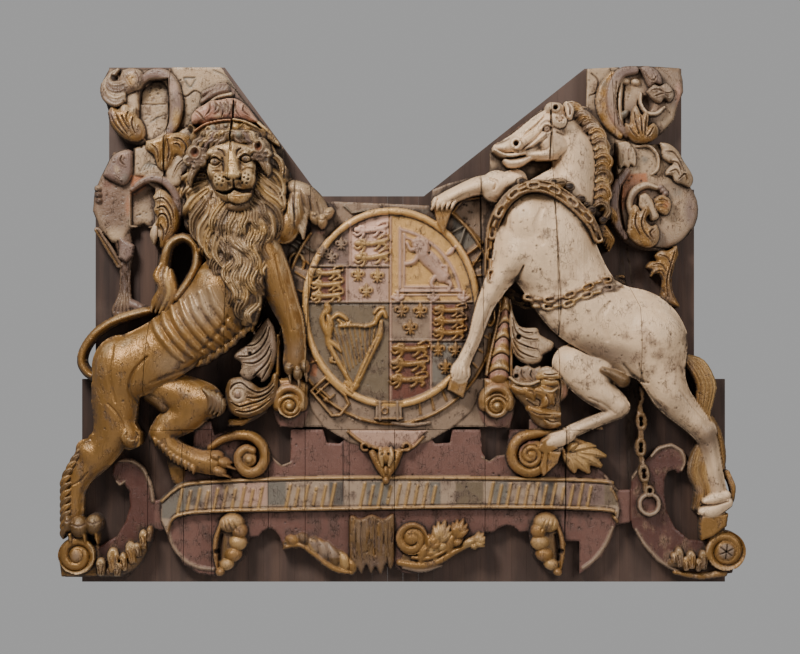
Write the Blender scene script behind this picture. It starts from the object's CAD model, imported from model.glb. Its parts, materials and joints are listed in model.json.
# %% Ship stern carving: royal arms with lion and unicorn
# %% [markdown]
# The object is a painted and gilded oak relief.  Its form was cut across timbers that stand side
# by side, so the whole front is worked out once, as one height field, and then parted at the
# joints.  Meshes could be sculpted timber by timber, but a limb would then break at every joint.
import json
import bpy
import numpy as np
from math import pi
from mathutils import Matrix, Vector
from mathutils.geometry import delaunay_2d_cdt

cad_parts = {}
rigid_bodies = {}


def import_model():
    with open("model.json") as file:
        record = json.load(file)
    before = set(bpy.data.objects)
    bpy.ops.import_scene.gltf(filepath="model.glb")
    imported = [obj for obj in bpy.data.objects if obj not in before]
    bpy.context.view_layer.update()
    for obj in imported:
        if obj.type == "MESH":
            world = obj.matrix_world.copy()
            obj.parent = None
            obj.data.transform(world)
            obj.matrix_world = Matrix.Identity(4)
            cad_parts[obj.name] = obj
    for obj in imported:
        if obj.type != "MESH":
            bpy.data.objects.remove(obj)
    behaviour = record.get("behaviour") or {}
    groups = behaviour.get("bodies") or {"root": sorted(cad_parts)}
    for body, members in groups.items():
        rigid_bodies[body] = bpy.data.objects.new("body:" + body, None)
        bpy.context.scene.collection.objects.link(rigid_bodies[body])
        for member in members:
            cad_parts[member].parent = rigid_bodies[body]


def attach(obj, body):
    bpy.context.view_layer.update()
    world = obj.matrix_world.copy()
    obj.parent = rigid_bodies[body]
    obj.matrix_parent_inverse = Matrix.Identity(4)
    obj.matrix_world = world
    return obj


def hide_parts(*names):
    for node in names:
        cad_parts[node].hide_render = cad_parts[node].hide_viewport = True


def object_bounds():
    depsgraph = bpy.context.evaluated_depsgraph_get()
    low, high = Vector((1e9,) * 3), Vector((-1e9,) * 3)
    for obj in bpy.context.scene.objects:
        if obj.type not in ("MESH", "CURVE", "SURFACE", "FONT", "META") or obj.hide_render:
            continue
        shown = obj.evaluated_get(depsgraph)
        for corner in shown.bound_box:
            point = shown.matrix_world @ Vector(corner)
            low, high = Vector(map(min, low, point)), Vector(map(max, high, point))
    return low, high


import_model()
cad_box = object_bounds()
CM = 0.01
HANG_HEIGHT = 140.0            # the origin lies this high over the bottom edge, in cm
BACK = -4.05                   # front of the boards, where the timbers are bedded
print("fixed frame:", cad_box)


# %% The drawing sheet
# %% [markdown]
# All drawing is in centimetres: x from the middle, z up from the bottom edge.  Every point of the
# sheet holds a height over the boards, a distance inside the outline, a paint and its metal
# share.  A polygon cage with subdivision could hold the same form, but a carved relief has one
# front surface only, and strokes on a sheet are far easier to lay over each other.
PITCH = 0.36
X = np.arange(-186.4, 192.6, PITCH, dtype=np.float32)
Z = np.arange(-1.0, 280.6, PITCH, dtype=np.float32)

# red, green, blue, metal share
PAINTS = {"gold": (0.240, 0.122, 0.033, 0.46), "pale_gold": (0.350, 0.205, 0.075, 0.34),
    "dull_gold": (0.125, 0.066, 0.022, 0.26), "white": (0.660, 0.455, 0.275, 0.0),
    "mane_gold": (0.330, 0.205, 0.095, 0.36), "mane_dark": (0.140, 0.080, 0.036, 0.20),
    "aged_gold": (0.330, 0.220, 0.125, 0.30), "cream": (0.350, 0.236, 0.138, 0.0),
    "dusty": (0.205, 0.132, 0.082, 0.0), "umber": (0.120, 0.070, 0.042, 0.0),
    "pink": (0.380, 0.205, 0.140, 0.0), "rose": (0.530, 0.320, 0.230, 0.0),
    "harp_gold": (0.335, 0.180, 0.050, 0.42), "red": (0.108, 0.030, 0.015, 0.0),
    "old_pink": (0.300, 0.145, 0.095, 0.0), "field_gold": (0.515, 0.290, 0.096, 0.36),
    "pale_dusty": (0.288, 0.200, 0.132, 0.0), "dark_slate": (0.078, 0.064, 0.050, 0.0),
    "dark_red": (0.076, 0.026, 0.017, 0.0), "mauve": (0.134, 0.058, 0.041, 0.0),
    "grey_mauve": (0.150, 0.092, 0.070, 0.0), "slate": (0.130, 0.108, 0.082, 0.0),
    "green_grey": (0.124, 0.084, 0.046, 0.0), "lilac": (0.360, 0.215, 0.150, 0.0),
    "bare": (0.075, 0.043, 0.030, 0.0), "dark": (0.022, 0.012, 0.008, 0.0),
    "black": (0.008, 0.005, 0.004, 0.0), "orange": (0.330, 0.120, 0.045, 0.0),}


def smooth(stations, steps=5):
    """Catmull-Rom: each span is the cubic whose end slopes are half the chord of its neighbours."""
    p = np.array(stations, float)
    if len(p) < 3:
        return p
    padded = np.vstack([2 * p[0] - p[1], p, 2 * p[-1] - p[-2]])
    a, b, c, d = (padded[k:len(p) - 1 + k, None, :] for k in range(4))
    t = np.linspace(0, 1, steps, endpoint=False)[None, :, None]
    spans = 0.5 * (2 * b + (c - a) * t + (2 * a - 5 * b + 4 * c - d) * t ** 2
                   + (3 * b - a - 3 * c + d) * t ** 3)
    return np.vstack([spans.reshape(-1, p.shape[1]), p[-1:]])


def arc(cx, cz, radius, start, end, count=8, stretch=1.0):
    """Points on a circle from start to end degrees; the height is stretched."""
    a = np.radians(np.linspace(start, end, count))
    return [tuple(p) for p in np.column_stack([cx + radius * np.cos(a),
                                               cz + radius * stretch * np.sin(a)])]


def box_blur(field, cells):
    """The mean over a square of 2 cells + 1 points, from running sums along both directions."""
    for axis in (0, 1):
        pad = [(0, 0)] * field.ndim
        pad[axis] = (cells + 1, cells)
        total = np.cumsum(np.pad(field, pad, mode="edge"), axis=axis, dtype=np.float64)
        n = field.shape[axis]
        span = 2 * cells + 1
        field = (np.take(total, range(span, span + n), axis=axis)
                 - np.take(total, range(0, n), axis=axis)) / span
    return field.astype(np.float32)


def spread(field, cells, pick):
    """The greatest (or least) value over a square of 2 cells + 1 points."""
    for axis in (0, 1):
        found = field
        for k in range(1, cells + 1):
            found = pick(pick(found, np.roll(field, k, axis)), np.roll(field, -k, axis))
        field = found
    return field


class Relief:
    """One layer of carving on the drawing sheet."""

    def __init__(self):
        shape = (len(Z), len(X))
        self.height = np.full(shape, -1.0, np.float32)
        self.inside = np.full(shape, -9.0, np.float32)
        self.colour = np.zeros(shape + (4,), np.float32)
        self.skin = self.height
        self.use("gold")

    def use(self, paint):
        """The paint of the strokes that follow."""
        self.brush = np.array(PAINTS[paint], np.float32)

    def window(self, points, reach):
        """The part of the sheet round some points, with its coordinates."""
        p = np.asarray(points, float)[:, :2]
        low, high = p.min(0) - reach, p.max(0) + reach
        i = np.searchsorted(Z, (low[1], high[1]))
        j = np.searchsorted(X, (low[0], high[0]))
        return (slice(*i), slice(*j)), X[None, slice(*j)], Z[slice(*i), None]

    def follow(self, path, soft=12.0):
        """Coordinates along a path: u is the distance over the half width at the nearest spot, a
        mean over segments weighted by exp(-soft u) so that no crease shows inside a bend; across is
        u with its side as sign, and the other columns are blended with the same weights."""
        part, x, z = self.window(path, path[:, 2].max() + PITCH)
        a, b = path[:-1, :, None, None], path[1:, :, None, None]
        dx, dz = b[:, 0] - a[:, 0], b[:, 1] - a[:, 1]
        square = np.maximum(dx ** 2 + dz ** 2, 1e-9)
        t = np.clip(((x - a[:, 0]) * dx + (z - a[:, 1]) * dz) / square, 0, 1)
        ox, oz = x - a[:, 0] - t * dx, z - a[:, 1] - t * dz
        u = np.hypot(ox, oz) / (a[:, 2] + (b[:, 2] - a[:, 2]) * t)
        nearest = u.argmin(0)[None]
        side = np.sign(np.take_along_axis(ox * dz - oz * dx, nearest, 0)[0])
        weight = np.exp(-soft * (u - np.take_along_axis(u, nearest, 0)))
        weight /= weight.sum(0)
        values = [(weight * (a[:, c] + (b[:, c] - a[:, c]) * t)).sum(0)
                  for c in range(2, path.shape[1])]
        u = (weight * u).sum(0)
        return part, u, side * u, values

    def raise_to(self, part, height, inside, melt=0.0):
        """Keeps the higher of two surfaces; melt fills the valley where they meet, in cm."""
        old = self.height[part]
        won = height > old
        self.colour[part][won] = self.brush
        top = np.maximum(old, height)
        if melt:
            close = np.clip(1 - np.abs(old - height) / melt, 0, 1) ** 2
            shared = (old > 0) & (height > 0)
            top = top + np.where(shared, melt / 4 * close * np.clip(inside / 2, 0, 1), 0)
        self.height[part] = top
        self.inside[part] = np.maximum(self.inside[part], inside)

    def limb(self, stations, edge=0.45, melt=0.0, steps=5, full=2.0):
        """A rounded form along stations (x, z, half width, crest).  Across it the height goes from
        edge times the crest up to the crest as (1 - u^full) ^ 1/2."""
        path = smooth(stations, steps)
        part, u, _, (half, crest) = self.follow(path)
        bulge = np.sqrt(np.clip(1 - u ** full, 0, 1))
        height = np.where(u < 1, crest * (edge + (1 - edge) * bulge), -1.0)
        self.raise_to(part, height, half * (1 - u), melt)

    def mass(self, x, z, rx, rz, crest, edge=0.45, turn=0.0, melt=0.0, full=2.0):
        """A rounded lump that is an oval in front view, turned by some degrees."""
        part, px, pz = self.window([(x, z)], max(rx, rz) + PITCH)
        c, s = np.cos(np.radians(turn)), np.sin(np.radians(turn))
        dx, dz = px - x, pz - z
        u = np.hypot((dx * c + dz * s) / rx, (dz * c - dx * s) / rz)
        bulge = np.sqrt(np.clip(1 - u ** full, 0, 1))
        height = np.where(u < 1, crest * (edge + (1 - edge) * bulge), -1.0)
        self.raise_to(part, height, min(rx, rz) * (1 - u), melt)

    def within(self, outline, reach=1.2):
        """Signed distance inside a closed outline: nearest side, positive after an odd number of
        sides crossed."""
        ring = np.array(outline, float)
        part, x, z = self.window(ring, reach)
        nearest = np.full(np.broadcast_shapes(x.shape, z.shape), 1e9)
        odd = np.zeros(nearest.shape, bool)
        for a, b in zip(ring, np.roll(ring, -1, axis=0)):
            dx, dz = b - a
            t = np.clip(((x - a[0]) * dx + (z - a[1]) * dz) / max(dx * dx + dz * dz, 1e-9), 0, 1)
            nearest = np.minimum(nearest, np.hypot(x - a[0] - t * dx, z - a[1] - t * dz))
            if dz != 0:
                odd ^= ((a[1] > z) != (b[1] > z)) & (x < dx * (z - a[1]) / dz + a[0])
        return part, np.where(odd, nearest, -nearest)

    def slab(self, outline, level, round_off=1.0, drop=0.8):
        """A flat form; its edge falls by drop over a quarter round."""
        part, d = self.within(outline)
        fall = drop * (1 - np.sqrt(np.clip(1 - (1 - np.clip(d / round_off, 0, 1)) ** 2, 0, 1)))
        self.raise_to(part, np.where(d > 0, level - fall, -1.0), d)

    def tint(self, part, weight, paint):
        """Brings the colour under a stroke towards a paint; the brush stays."""
        w = (np.clip(weight, 0, 1) * (self.height[part] > 0))[..., None]
        self.colour[part] += (np.array(PAINTS[paint], np.float32) - self.colour[part]) * w

    def carve(self, stations, rise, steps=5, paint=None, power=1.0):
        """A ridge (rise > 0) or groove (rise < 0) along (x, z, half width), (1 - u^2) high."""
        path = smooth(stations, steps)
        part, u, _, _ = self.follow(path)
        profile = np.clip(1 - u ** 2, 0, 1) ** power
        self.height[part] += rise * profile * (self.height[part] > 0)
        if paint:
            self.tint(part, profile * 2, paint)

    def dot(self, x, z, radius, rise, paint=None):
        """A small boss or pit."""
        part, px, pz = self.window([(x, z)], radius + PITCH)
        profile = np.clip(1 - ((px - x) ** 2 + (pz - z) ** 2) / radius ** 2, 0, 1)
        self.height[part] += rise * np.sqrt(profile) * (self.height[part] > 0)
        if paint:
            self.tint(part, profile * 2.5, paint)

    def sink(self, outline, depth, paint=None):
        """A flat-bottomed recess."""
        part, d = self.within(outline)
        share = np.clip(d / PITCH + 0.5, 0, 1)
        self.height[part] -= depth * share * (self.height[part] > 0)
        if paint:
            self.tint(part, share, paint)

    def field(self, outline, paint):
        """Flat colour inside an outline."""
        self.sink(outline, 0.0, paint)

    def keep_skin(self):
        """Remembers the surface that locks are laid on."""
        self.skin = self.height.copy()

    def lock(self, stations, rise=1.6, strands=2, depth=0.35, flat=0.15):
        """A lock of hair or a leaf lobe.  Stations (x, z, half width) lie on the kept skin; with a
        fourth column, the crest, the lock stands by itself.  Cosine furrows run along it."""
        path = smooth(stations, 4)
        part, u, across, values = self.follow(path)
        bulge = np.sqrt(np.clip(1 - u ** 2, 0, 1))
        phase = pi * ((strands + 1) % 2)
        furrow = 0.5 - 0.5 * np.cos(pi * strands * across + phase)
        swell = flat + (1 - flat) * bulge - depth * furrow * bulge
        if len(values) > 1:
            height = values[1] - rise * (1 - swell)
        else:
            height = self.skin[part] + rise * swell
            height = np.where(self.skin[part] > 0, height, -1.0)
        self.raise_to(part, np.where(u < 1, height, -1.0), values[0] * (1 - u))

    def volute(self, x, z, radius, level, hand=1, start=0.0, turns=1.7, rise=2.2, eye=0.30):
        """A scroll end.  The turn number at a point is (radius - distance) / pitch plus its angle;
        where that number is whole lies the furrow between two turns of the band."""
        part, px, pz = self.window([(x, z)], radius + PITCH)
        dx, dz = px - x, pz - z
        r = np.hypot(dx, dz)
        angle = np.arctan2(dz, dx) / (2 * pi) * hand - start / 360
        pitch = radius * (1 - eye) / turns
        turn = (radius - r) / pitch + angle
        band = turn - np.floor(turn)
        profile = np.sqrt(np.clip(1 - (2 * band - 1) ** 2, 0, 1))
        inner = r < radius * eye
        boss = np.sqrt(np.clip(1 - (r / (radius * eye)) ** 2, 0, 1))
        height = level + rise * (np.where(inner, 0.7 + 0.6 * boss, profile) - 1)
        self.raise_to(part, np.where(r < radius, height, -1.0), radius - r)

    def patch(self, x, z, rx, rz, paint, share=1.0, turn=0.0):
        """A soft oval stain."""
        part, px, pz = self.window([(x, z)], max(rx, rz) + PITCH)
        c, s = np.cos(np.radians(turn)), np.sin(np.radians(turn))
        dx, dz = px - x, pz - z
        u = np.hypot((dx * c + dz * s) / rx, (dz * c - dx * s) / rz)
        self.tint(part, share * np.clip(1.4 * (1 - u), 0, 1), paint)

    def tress(self, x, z, heading, long, half, crest, bend=0.0, sway=0.0, rise=2.2, strands=2, depth=0.4):
        """A lock that starts at a point with a heading in degrees, turns by bend on its way and
        swings by sway.  With crest None it lies on the kept skin."""
        s = np.linspace(0, 1, 7)
        a = np.radians(heading + bend * s + sway * np.sin(2 * pi * s))
        step = long / 6
        px = x + np.concatenate([[0], np.cumsum(np.cos(a[:-1]))]) * step
        pz = z + np.concatenate([[0], np.cumsum(np.sin(a[:-1]))]) * step
        width = half * np.array([0.62, 0.95, 1.08, 1.02, 0.86, 0.6, 0.22])
        columns = [px, pz, width]
        if crest is not None:
            columns.append(crest + np.array([-0.8, 0.2, 0.6, 0.4, 0.0, -0.7, -1.8]))
        self.lock(np.column_stack(columns), rise, strands, depth)

    def blade(self, stations, rise=2.8, strands=2, wide=1.25):
        """A leaf lobe along stations (x, z, half width, crest).  Across it the height falls as
        u^1.7, so that lobes meet in a crease; strands - 1 veins run along."""
        path = smooth(stations, 4) * (1, 1, wide, 1)
        part, u, across, (half, crest) = self.follow(path)
        vein = np.abs(np.cos(0.5 * pi * (strands * across + strands - 2))) ** 6 if strands > 1 else 0.0
        height = crest - rise * u ** 1.7 - 0.25 * rise * vein * (1 - u)
        self.raise_to(part, np.where(u < 1, height, -1.0), half * (1 - u))

    def petal(self, x0, z0, x1, z1, half, crest, bend=0.0, rise=2.8, strands=2):
        """One broad leaf lobe from its root to its tip, bowed sideways by bend."""
        s = np.array([0.0, 0.3, 0.65, 1.0])
        side = bend * np.sin(pi * s) / max(np.hypot(x1 - x0, z1 - z0), 1e-3)
        self.blade(np.column_stack([x0 + (x1 - x0) * s - (z1 - z0) * side,
            z0 + (z1 - z0) * s + (x1 - x0) * side, half * np.array([0.9, 1.25, 1.2, 0.5]),
            crest + np.array([-1.6, 0.2, 0.5, -1.2])]), rise, strands, 1.0)

    def sprig(self, x0, z0, x1, z1, size, crest, bend=0.0, lobes=5):
        """A stalk with a fan of lobes at its tip and small ones half way up."""
        long, a = np.hypot(x1 - x0, z1 - z0), np.arctan2(z1 - z0, x1 - x0)
        self.petal(x0, z0, x1, z1, size * 0.5, crest - 0.6, bend, 1.8, 1)
        for k in range(lobes):
            turn = a + (k - (lobes - 1) / 2) * 1.9 / max(lobes - 1, 1)
            reach = size * (1.5 - 0.35 * abs(k - (lobes - 1) / 2) / max(lobes - 1, 1) * 2)
            self.petal(x1 - 0.25 * long * np.cos(a), z1 - 0.25 * long * np.sin(a), x1 + reach * np.cos(turn),
                       z1 + reach * np.sin(turn), size * 0.36, crest + 0.6 - 0.3 * (k % 2), 0.0, 2.2, 2)
        for side in (-1, 1):
            self.petal(x0 + 0.4 * (x1 - x0), z0 + 0.4 * (z1 - z0),
                x0 + 0.55 * (x1 - x0) + size * np.cos(a + side * 0.9),
                z0 + 0.55 * (z1 - z0) + size * np.sin(a + side * 0.9), size * 0.34, crest - 0.4, 0.0, 2.0,
                2)

    def foliage(self, outline, level, grooves, paint, round_off=3.2, drop=3.0, depth=1.7, width=0.55):
        """A leaf as one swelling surface: a rounded edge, furrows (x, z) and a soft ridge beside each."""
        self.use(paint)
        ring = smooth([(*p, 0.0) for p in outline] + [(*outline[0], 0.0)], 4)[:-1, :2]
        self.slab([tuple(p) for p in ring], level, round_off, drop)
        for line in grooves:
            line = smooth([(*p, 0.0) for p in line], 4)[:, :2]
            size = np.interp(np.linspace(0, 1, len(line)), (0, 0.2, 0.7, 1), (0.5, 1, 1, 0.35)) * width
            self.carve(np.column_stack([line, size * 3.2]), 0.8, 1)
            self.carve(np.column_stack([line, size]), -depth, 1, "umber")

    def web(self, cells=4, drop=0.8, shade=0.6):
        """Fills clefts narrower than the square to just below their brims, as carved hair and
        leaves are cut from one surface; the fill takes the paint around it, darker."""
        own = (self.height > 0).astype(np.float32)
        closed = spread(spread(self.height, cells, np.maximum), cells, np.minimum) - drop
        new = (closed > self.height) & (closed > 0.5)
        near = np.maximum(box_blur(own, cells), 1e-3)[..., None]
        tone = box_blur(self.colour * own[..., None], cells) / near
        self.colour[new] = shade * tone[new]
        self.height = np.where(new, closed, self.height).astype(np.float32)
        self.inside = np.maximum(self.inside, spread(spread(self.inside, cells, np.maximum), cells,
            np.minimum))

    def tuft(self, path, half, rise=4.0, strands=3, depth=0.34):
        """A lock on the kept skin along (x, z): low at its root, highest before its tip, so that
        each one lies on the root of the next like a tile."""
        line = smooth([(*p, 0.0) for p in path], 2)[:, :2]
        s = np.linspace(0, 1, len(line))
        j = np.clip(np.searchsorted(X, line[:, 0]), 0, len(X) - 1)
        i = np.clip(np.searchsorted(Z, line[:, 1]), 0, len(Z) - 1)
        skin = np.maximum(self.skin[i, j], 8.0)
        crest = skin + rise * np.interp(s, (0, 0.35, 0.75, 1), (0.30, 0.75, 1.0, 0.55))
        width = half * np.interp(s, (0, 0.2, 0.5, 0.8, 1), (0.7, 1.0, 1.05, 0.75, 0.22))
        self.lock(np.column_stack([line, width, crest]), rise * 0.85, strands, depth)

    def specks(self, x0, z0, x1, z1, count, seed, paint="black", size=0.32):
        """Flaked spots scattered over a box."""
        for u, v, w in np.random.default_rng(seed).random((count, 3)):
            self.dot(x0 + (x1 - x0) * u, z0 + (z1 - z0) * v, size * (0.8 + w), -0.35, paint)

    def stream(self, x, z, flow, long, half, rise, strands=3, depth=0.45):
        """A lock on the kept skin that follows a field of headings."""
        points = [(x, z)]
        for _ in range(7):
            a = flow(*points[-1])
            points.append((points[-1][0] + np.cos(a) * long / 7, points[-1][1] + np.sin(a) * long / 7))
        width = half * np.array([0.5, 0.85, 1.0, 1.05, 1.0, 0.85, 0.55, 0.2])
        self.lock(np.column_stack([np.array(points), width]), rise, strands, depth)

    def whorl(self, x, z, radius, crest, hand=1, start=0.0, rise=1.8):
        """A tuft wound on itself: arcs of falling radius."""
        for k in range(3):
            ring = arc(x, z, radius * (1 - 0.3 * k), start + 50 * k * hand, start + hand * (290 - 30 * k), 7)
            stations = [(px, pz, radius * 0.24 * (1 - 0.12 * k) * (0.6 if i in (0, 6) else 1.0))
                        for i, (px, pz) in enumerate(ring)]
            if crest is not None:
                stations = [(*p, crest + 0.5 * k) for p in stations]
            self.lock(stations, rise, 1, 0.0)

    def ring(self, x, z, rx, rz, wire, level, turn=0.0, square=2.0):
        """A bar bent to an oval, or with a higher power to a rounded box; wire is half its
        thickness."""
        part, px, pz = self.window([(x, z)], max(rx, rz) + wire + PITCH)
        c, s = np.cos(np.radians(turn)), np.sin(np.radians(turn))
        dx, dz = (px - x) * c + (pz - z) * s, (pz - z) * c - (px - x) * s
        r = (np.abs(dx / rx) ** square + np.abs(dz / rz) ** square) ** (1 / square)
        away = np.abs(r - 1) * np.hypot(dx, dz) / np.maximum(r, 1e-3)
        bulge = np.sqrt(np.clip(1 - (away / wire) ** 2, 0, 1))
        height = np.where(away < wire, level - wire * (1 - bulge), -1.0)
        self.raise_to(part, height, wire - away)

    def soften(self, cells, rounds=1):
        """A mean over near points of the same layer only, which takes creases out of a body."""
        for _ in range(rounds):
            own = (self.height > 0).astype(np.float32)
            near = box_blur(own, cells)
            mean = box_blur(np.maximum(self.height, 0) * own, cells) / np.maximum(near, 1e-3)
            self.height = np.where(own > 0, mean, self.height).astype(np.float32)

    def lay(self, other):
        """Puts another layer on; the higher surface shows."""
        won = other.height > self.height
        self.colour[won] = other.colour[won]
        self.height = np.maximum(self.height, other.height)
        self.inside = np.maximum(self.inside, other.inside)


print("drawing sheet:", len(X), "x", len(Z), "points")


# %% The left mantling
# %% [markdown]
# Curled cloth with leaf edges fills the upper corner.  It is flat in its fields and deeply rolled
# at its rims, so each cloth is a slab with a sunk field, and leaves lie over its edges.  A cloth
# simulation would fold softly, but it wouldn't leave the crisp rims that a gouge cuts.


def left_upper_cloth(r):
    """The ground beside the crown and the worn curled cloth in the corner."""
    r.use("cream")
    r.slab([(-121, 235), (-121, 277.2), (-94, 277.2), (-83.5, 262), (-60.6, 234), (-60.4, 209), (-75, 205),
        (-110, 215)], 8.5)
    r.specks(-112, 240, -106, 258, 14, 21)
    r.use("dusty")
    upper = [(-154, 276.5), (-121, 276.5), (-116.4, 268), (-114.3, 258), (-115.4, 248), (-120.5, 241),
        (-128, 236.6), (-137, 235), (-145, 237), (-150.5, 243), (-154, 252), (-157.2, 263), (-157.6, 270)]
    r.slab(upper, 10.5, 3, 3)
    r.patch(-147, 260, 9, 10, "cream", 0.7)
    r.patch(-153, 262, 4, 9, "umber", 0.5)
    r.use("grey_mauve")
    r.limb([(-135, 268.6, 2, 13.6), (-132, 272.6, 2.8, 15), (-125.4, 273.2, 3.2, 15.4),
        (-120.2, 268.4, 3.4, 15.4), (-118, 260, 3.6, 15.4), (-117.8, 252, 3.3, 15),
        (-119.6, 245.4, 2.8, 14.6), (-124.6, 239.6, 2.3, 14), (-131.6, 236.4, 1.8, 13.4)], 0.8, full=3.5)
    for stain in ((-117.4, 248.6, 3.2, 8, "pale_gold", 0.9), (-119, 266, 3, 4, "lilac", 0.6),
            (-124, 240, 6, 2.6, "gold", 0.7)):
        r.patch(*stain)
    field = [(-136.9, 266.7), (-132.3, 270.3), (-122.2, 270.8), (-122.1, 246.3), (-124.7, 240.7),
        (-129.3, 237.1), (-134.4, 237.9), (-138, 244.3), (-138.3, 256.5)]
    r.sink(field, 4.2, "cream")
    r.patch(-130, 242, 7, 6, "white", 0.8)
    r.patch(-131, 262, 7, 7, "pale_gold", 0.25)
    for cut in (([(-122.3, 270.6, 0.55), (-122.1, 250, 0.55), (-124.4, 241.6, 0.5)], -1.6, 5, "black"),
            ([(-137.4, 257.6, 0.3), (-130, 257.3, 0.3), (-124, 257.6, 0.3)], -0.8, 5, "dark"),
            ([(-137.4, 258, 0.5), (-136.8, 264, 0.5), (-132.5, 269.2, 0.5), (-124, 270.2, 0.4)], -1, 5,
            "dark")):
        r.carve(*cut)
    for k in range(6):
        r.carve([(-132.6 + 1.2 * k, 247.6 + 0.7 * k, 0.3), (-130.6 + 1.1 * k, 249.2 + 0.5 * k, 0.4),
            (-129 + 0.9 * k, 250.6 + 0.2 * k, 0.3)], -0.3, 3, "slate")
    r.specks(-136, 258.6, -124, 269, 26, 22)
    r.specks(-136, 243, -124, 257, 18, 23)


def left_corner(r):
    """The ribbed curl at the corner, and the leaves over the upper cloth."""
    r.use("dusty")
    r.mass(-151.6, 267, 5.6, 8, 14.6, 0.6)
    curl = Relief()
    for k in range(4):
        curl.use(("dusty", "cream", "umber", "dusty")[k])
        curl.lock([(-145.2, 259 + 3 * k, 0.8, 17.4), (-150, 257.4 + 3.4 * k, 2, 18.2),
            (-155 + 0.9 * k, 260.6 + 2.8 * k, 2.3, 17), (-156 + 1.4 * k, 267 + 1.9 * k, 2, 16),
            (-152.6 + 1.2 * k, 273.6 + 0.6 * k, 1, 15.2)], 2.4, 2, 0.3)
    curl.web(3, 0.5)
    r.lay(curl)
    r.patch(-154.6, 262, 3.6, 8, "umber", 0.45)
    r.dot(-150.6, 270.6, 2, -2.4, "dark")
    r.foliage([(-146.4, 275.4), (-141.4, 276.6), (-136.6, 275), (-134.6, 270.6), (-136.6, 265.6),
        (-141.6, 263.4), (-144.6, 262.2), (-146.8, 265), (-148.2, 270)], 16.6,
        [[(-144.8, 273), (-142.6, 269), (-141, 266.2)], [(-147, 268.8), (-145, 266.4)],
        [(-139.6, 275), (-137.4, 270.6), (-138.4, 266.2)]], "dusty", 4, 4, 1.2, 0.45)
    r.patch(-141.4, 270, 3, 4.6, "pale_gold", 0.8)
    r.patch(-136.4, 270.6, 2.6, 4.6, "grey_mauve", 0.9)
    r.use("cream")
    r.slab([(-145.6, 263.6), (-138.4, 264.6), (-138, 254), (-144.6, 254.6), (-147, 259)], 12.6, 2.4, 2)
    r.foliage([(-154.4, 252.6), (-152, 256.6), (-149, 254.6), (-147.2, 257.4), (-144.2, 257),
        (-142.2, 255.4), (-139.4, 255.6), (-138.8, 250.6), (-136.6, 248), (-134.8, 243.6), (-135.6, 238.6),
        (-141, 237), (-147.4, 239.6), (-152.6, 245.4)], 16.8,
        [[(-152.4, 251.6), (-150, 246), (-144.6, 239.6)], [(-149.6, 252), (-147.4, 246.6), (-142.8, 240)],
        [(-146.6, 251), (-145, 247.4), (-142.4, 243)], [(-143, 253), (-144, 249), (-141.8, 244)],
        [(-140.6, 250), (-141, 245.6), (-139, 240.6)], [(-137.6, 245.6), (-138.2, 242.6)]], "gold", 4.4,
        4.4, 1.9, 0.5)
    for stain in ((-152.4, 251, 2.6, 5.6, "grey_mauve", 0.9, 20), (-146, 255.2, 3.6, 2.6, "cream", 1),
            (-140.8, 254.4, 2.6, 2.2, "cream", 1), (-138, 242.6, 3.4, 4.6, "umber", 0.8),
            (-143.4, 248.6, 1.6, 5, "pale_gold", 0.6, 10)):
        r.patch(*stain)


def left_neck(r):
    """The neck between the two cloths, with two leaves on it."""
    r.use("cream")
    r.slab([(-141, 233.5), (-127, 238.6), (-112, 245), (-104, 244), (-106, 224), (-113.5, 213), (-123, 216),
        (-141, 219)], 11, 2, 2)
    r.specks(-139, 218, -126, 228, 10, 24)
    for k in range(6):
        r.carve([(-137 + 1.8 * k, 221 + 0.6 * k, 0.3), (-135 + 1.6 * k, 224.6, 0.4),
            (-131.5 + 1.2 * k, 226.2 - 0.7 * k, 0.3)], -0.5, 4, "slate")
    r.carve([(-140.4, 233, 0.4), (-140.6, 219, 0.4)], -1.4, paint="dark")
    r.foliage([(-134, 237.4), (-126, 239.6), (-119.6, 241.6), (-112.4, 241), (-108.4, 236.6),
        (-109.4, 230.6), (-113.6, 227.6), (-117.6, 229.6), (-120, 224.4), (-123.6, 221.6), (-127.6, 223.6),
        (-129.6, 229.6), (-133.6, 233)], 15.6, [[(-131.4, 236), (-127.6, 232), (-127, 225.6)],
        [(-122.4, 238.6), (-121.2, 231.6), (-122.4, 225.6)],
        [(-118.8, 238.8), (-115, 238), (-112, 234), (-113.2, 230.2)],
        [(-118.8, 235.6), (-116.2, 235.2), (-114.8, 232.4)]], "gold", 3, 2.8, 1.7, 0.5)
    r.patch(-131, 235, 4, 2.4, "pale_gold", 0.7)
    r.patch(-121.6, 229, 2.2, 5, "umber", 0.6)
    r.carve([(-124.3, 240, 0.45), (-124.2, 217, 0.45)], -1.8, paint="black")
    r.foliage([(-123, 226), (-119, 229), (-114, 231.6), (-109.6, 229.6), (-109, 224), (-113, 219.6),
        (-115.6, 213.8), (-120, 213.2), (-122.8, 217)], 14.4,
        [[(-112, 228.6), (-116.6, 224.6), (-119.8, 217.6)], [(-118.8, 228), (-121, 223)],
        [(-111, 224), (-115, 219.6)]], "cream", 2.6, 2.4, 1.2, 0.4)


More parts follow.
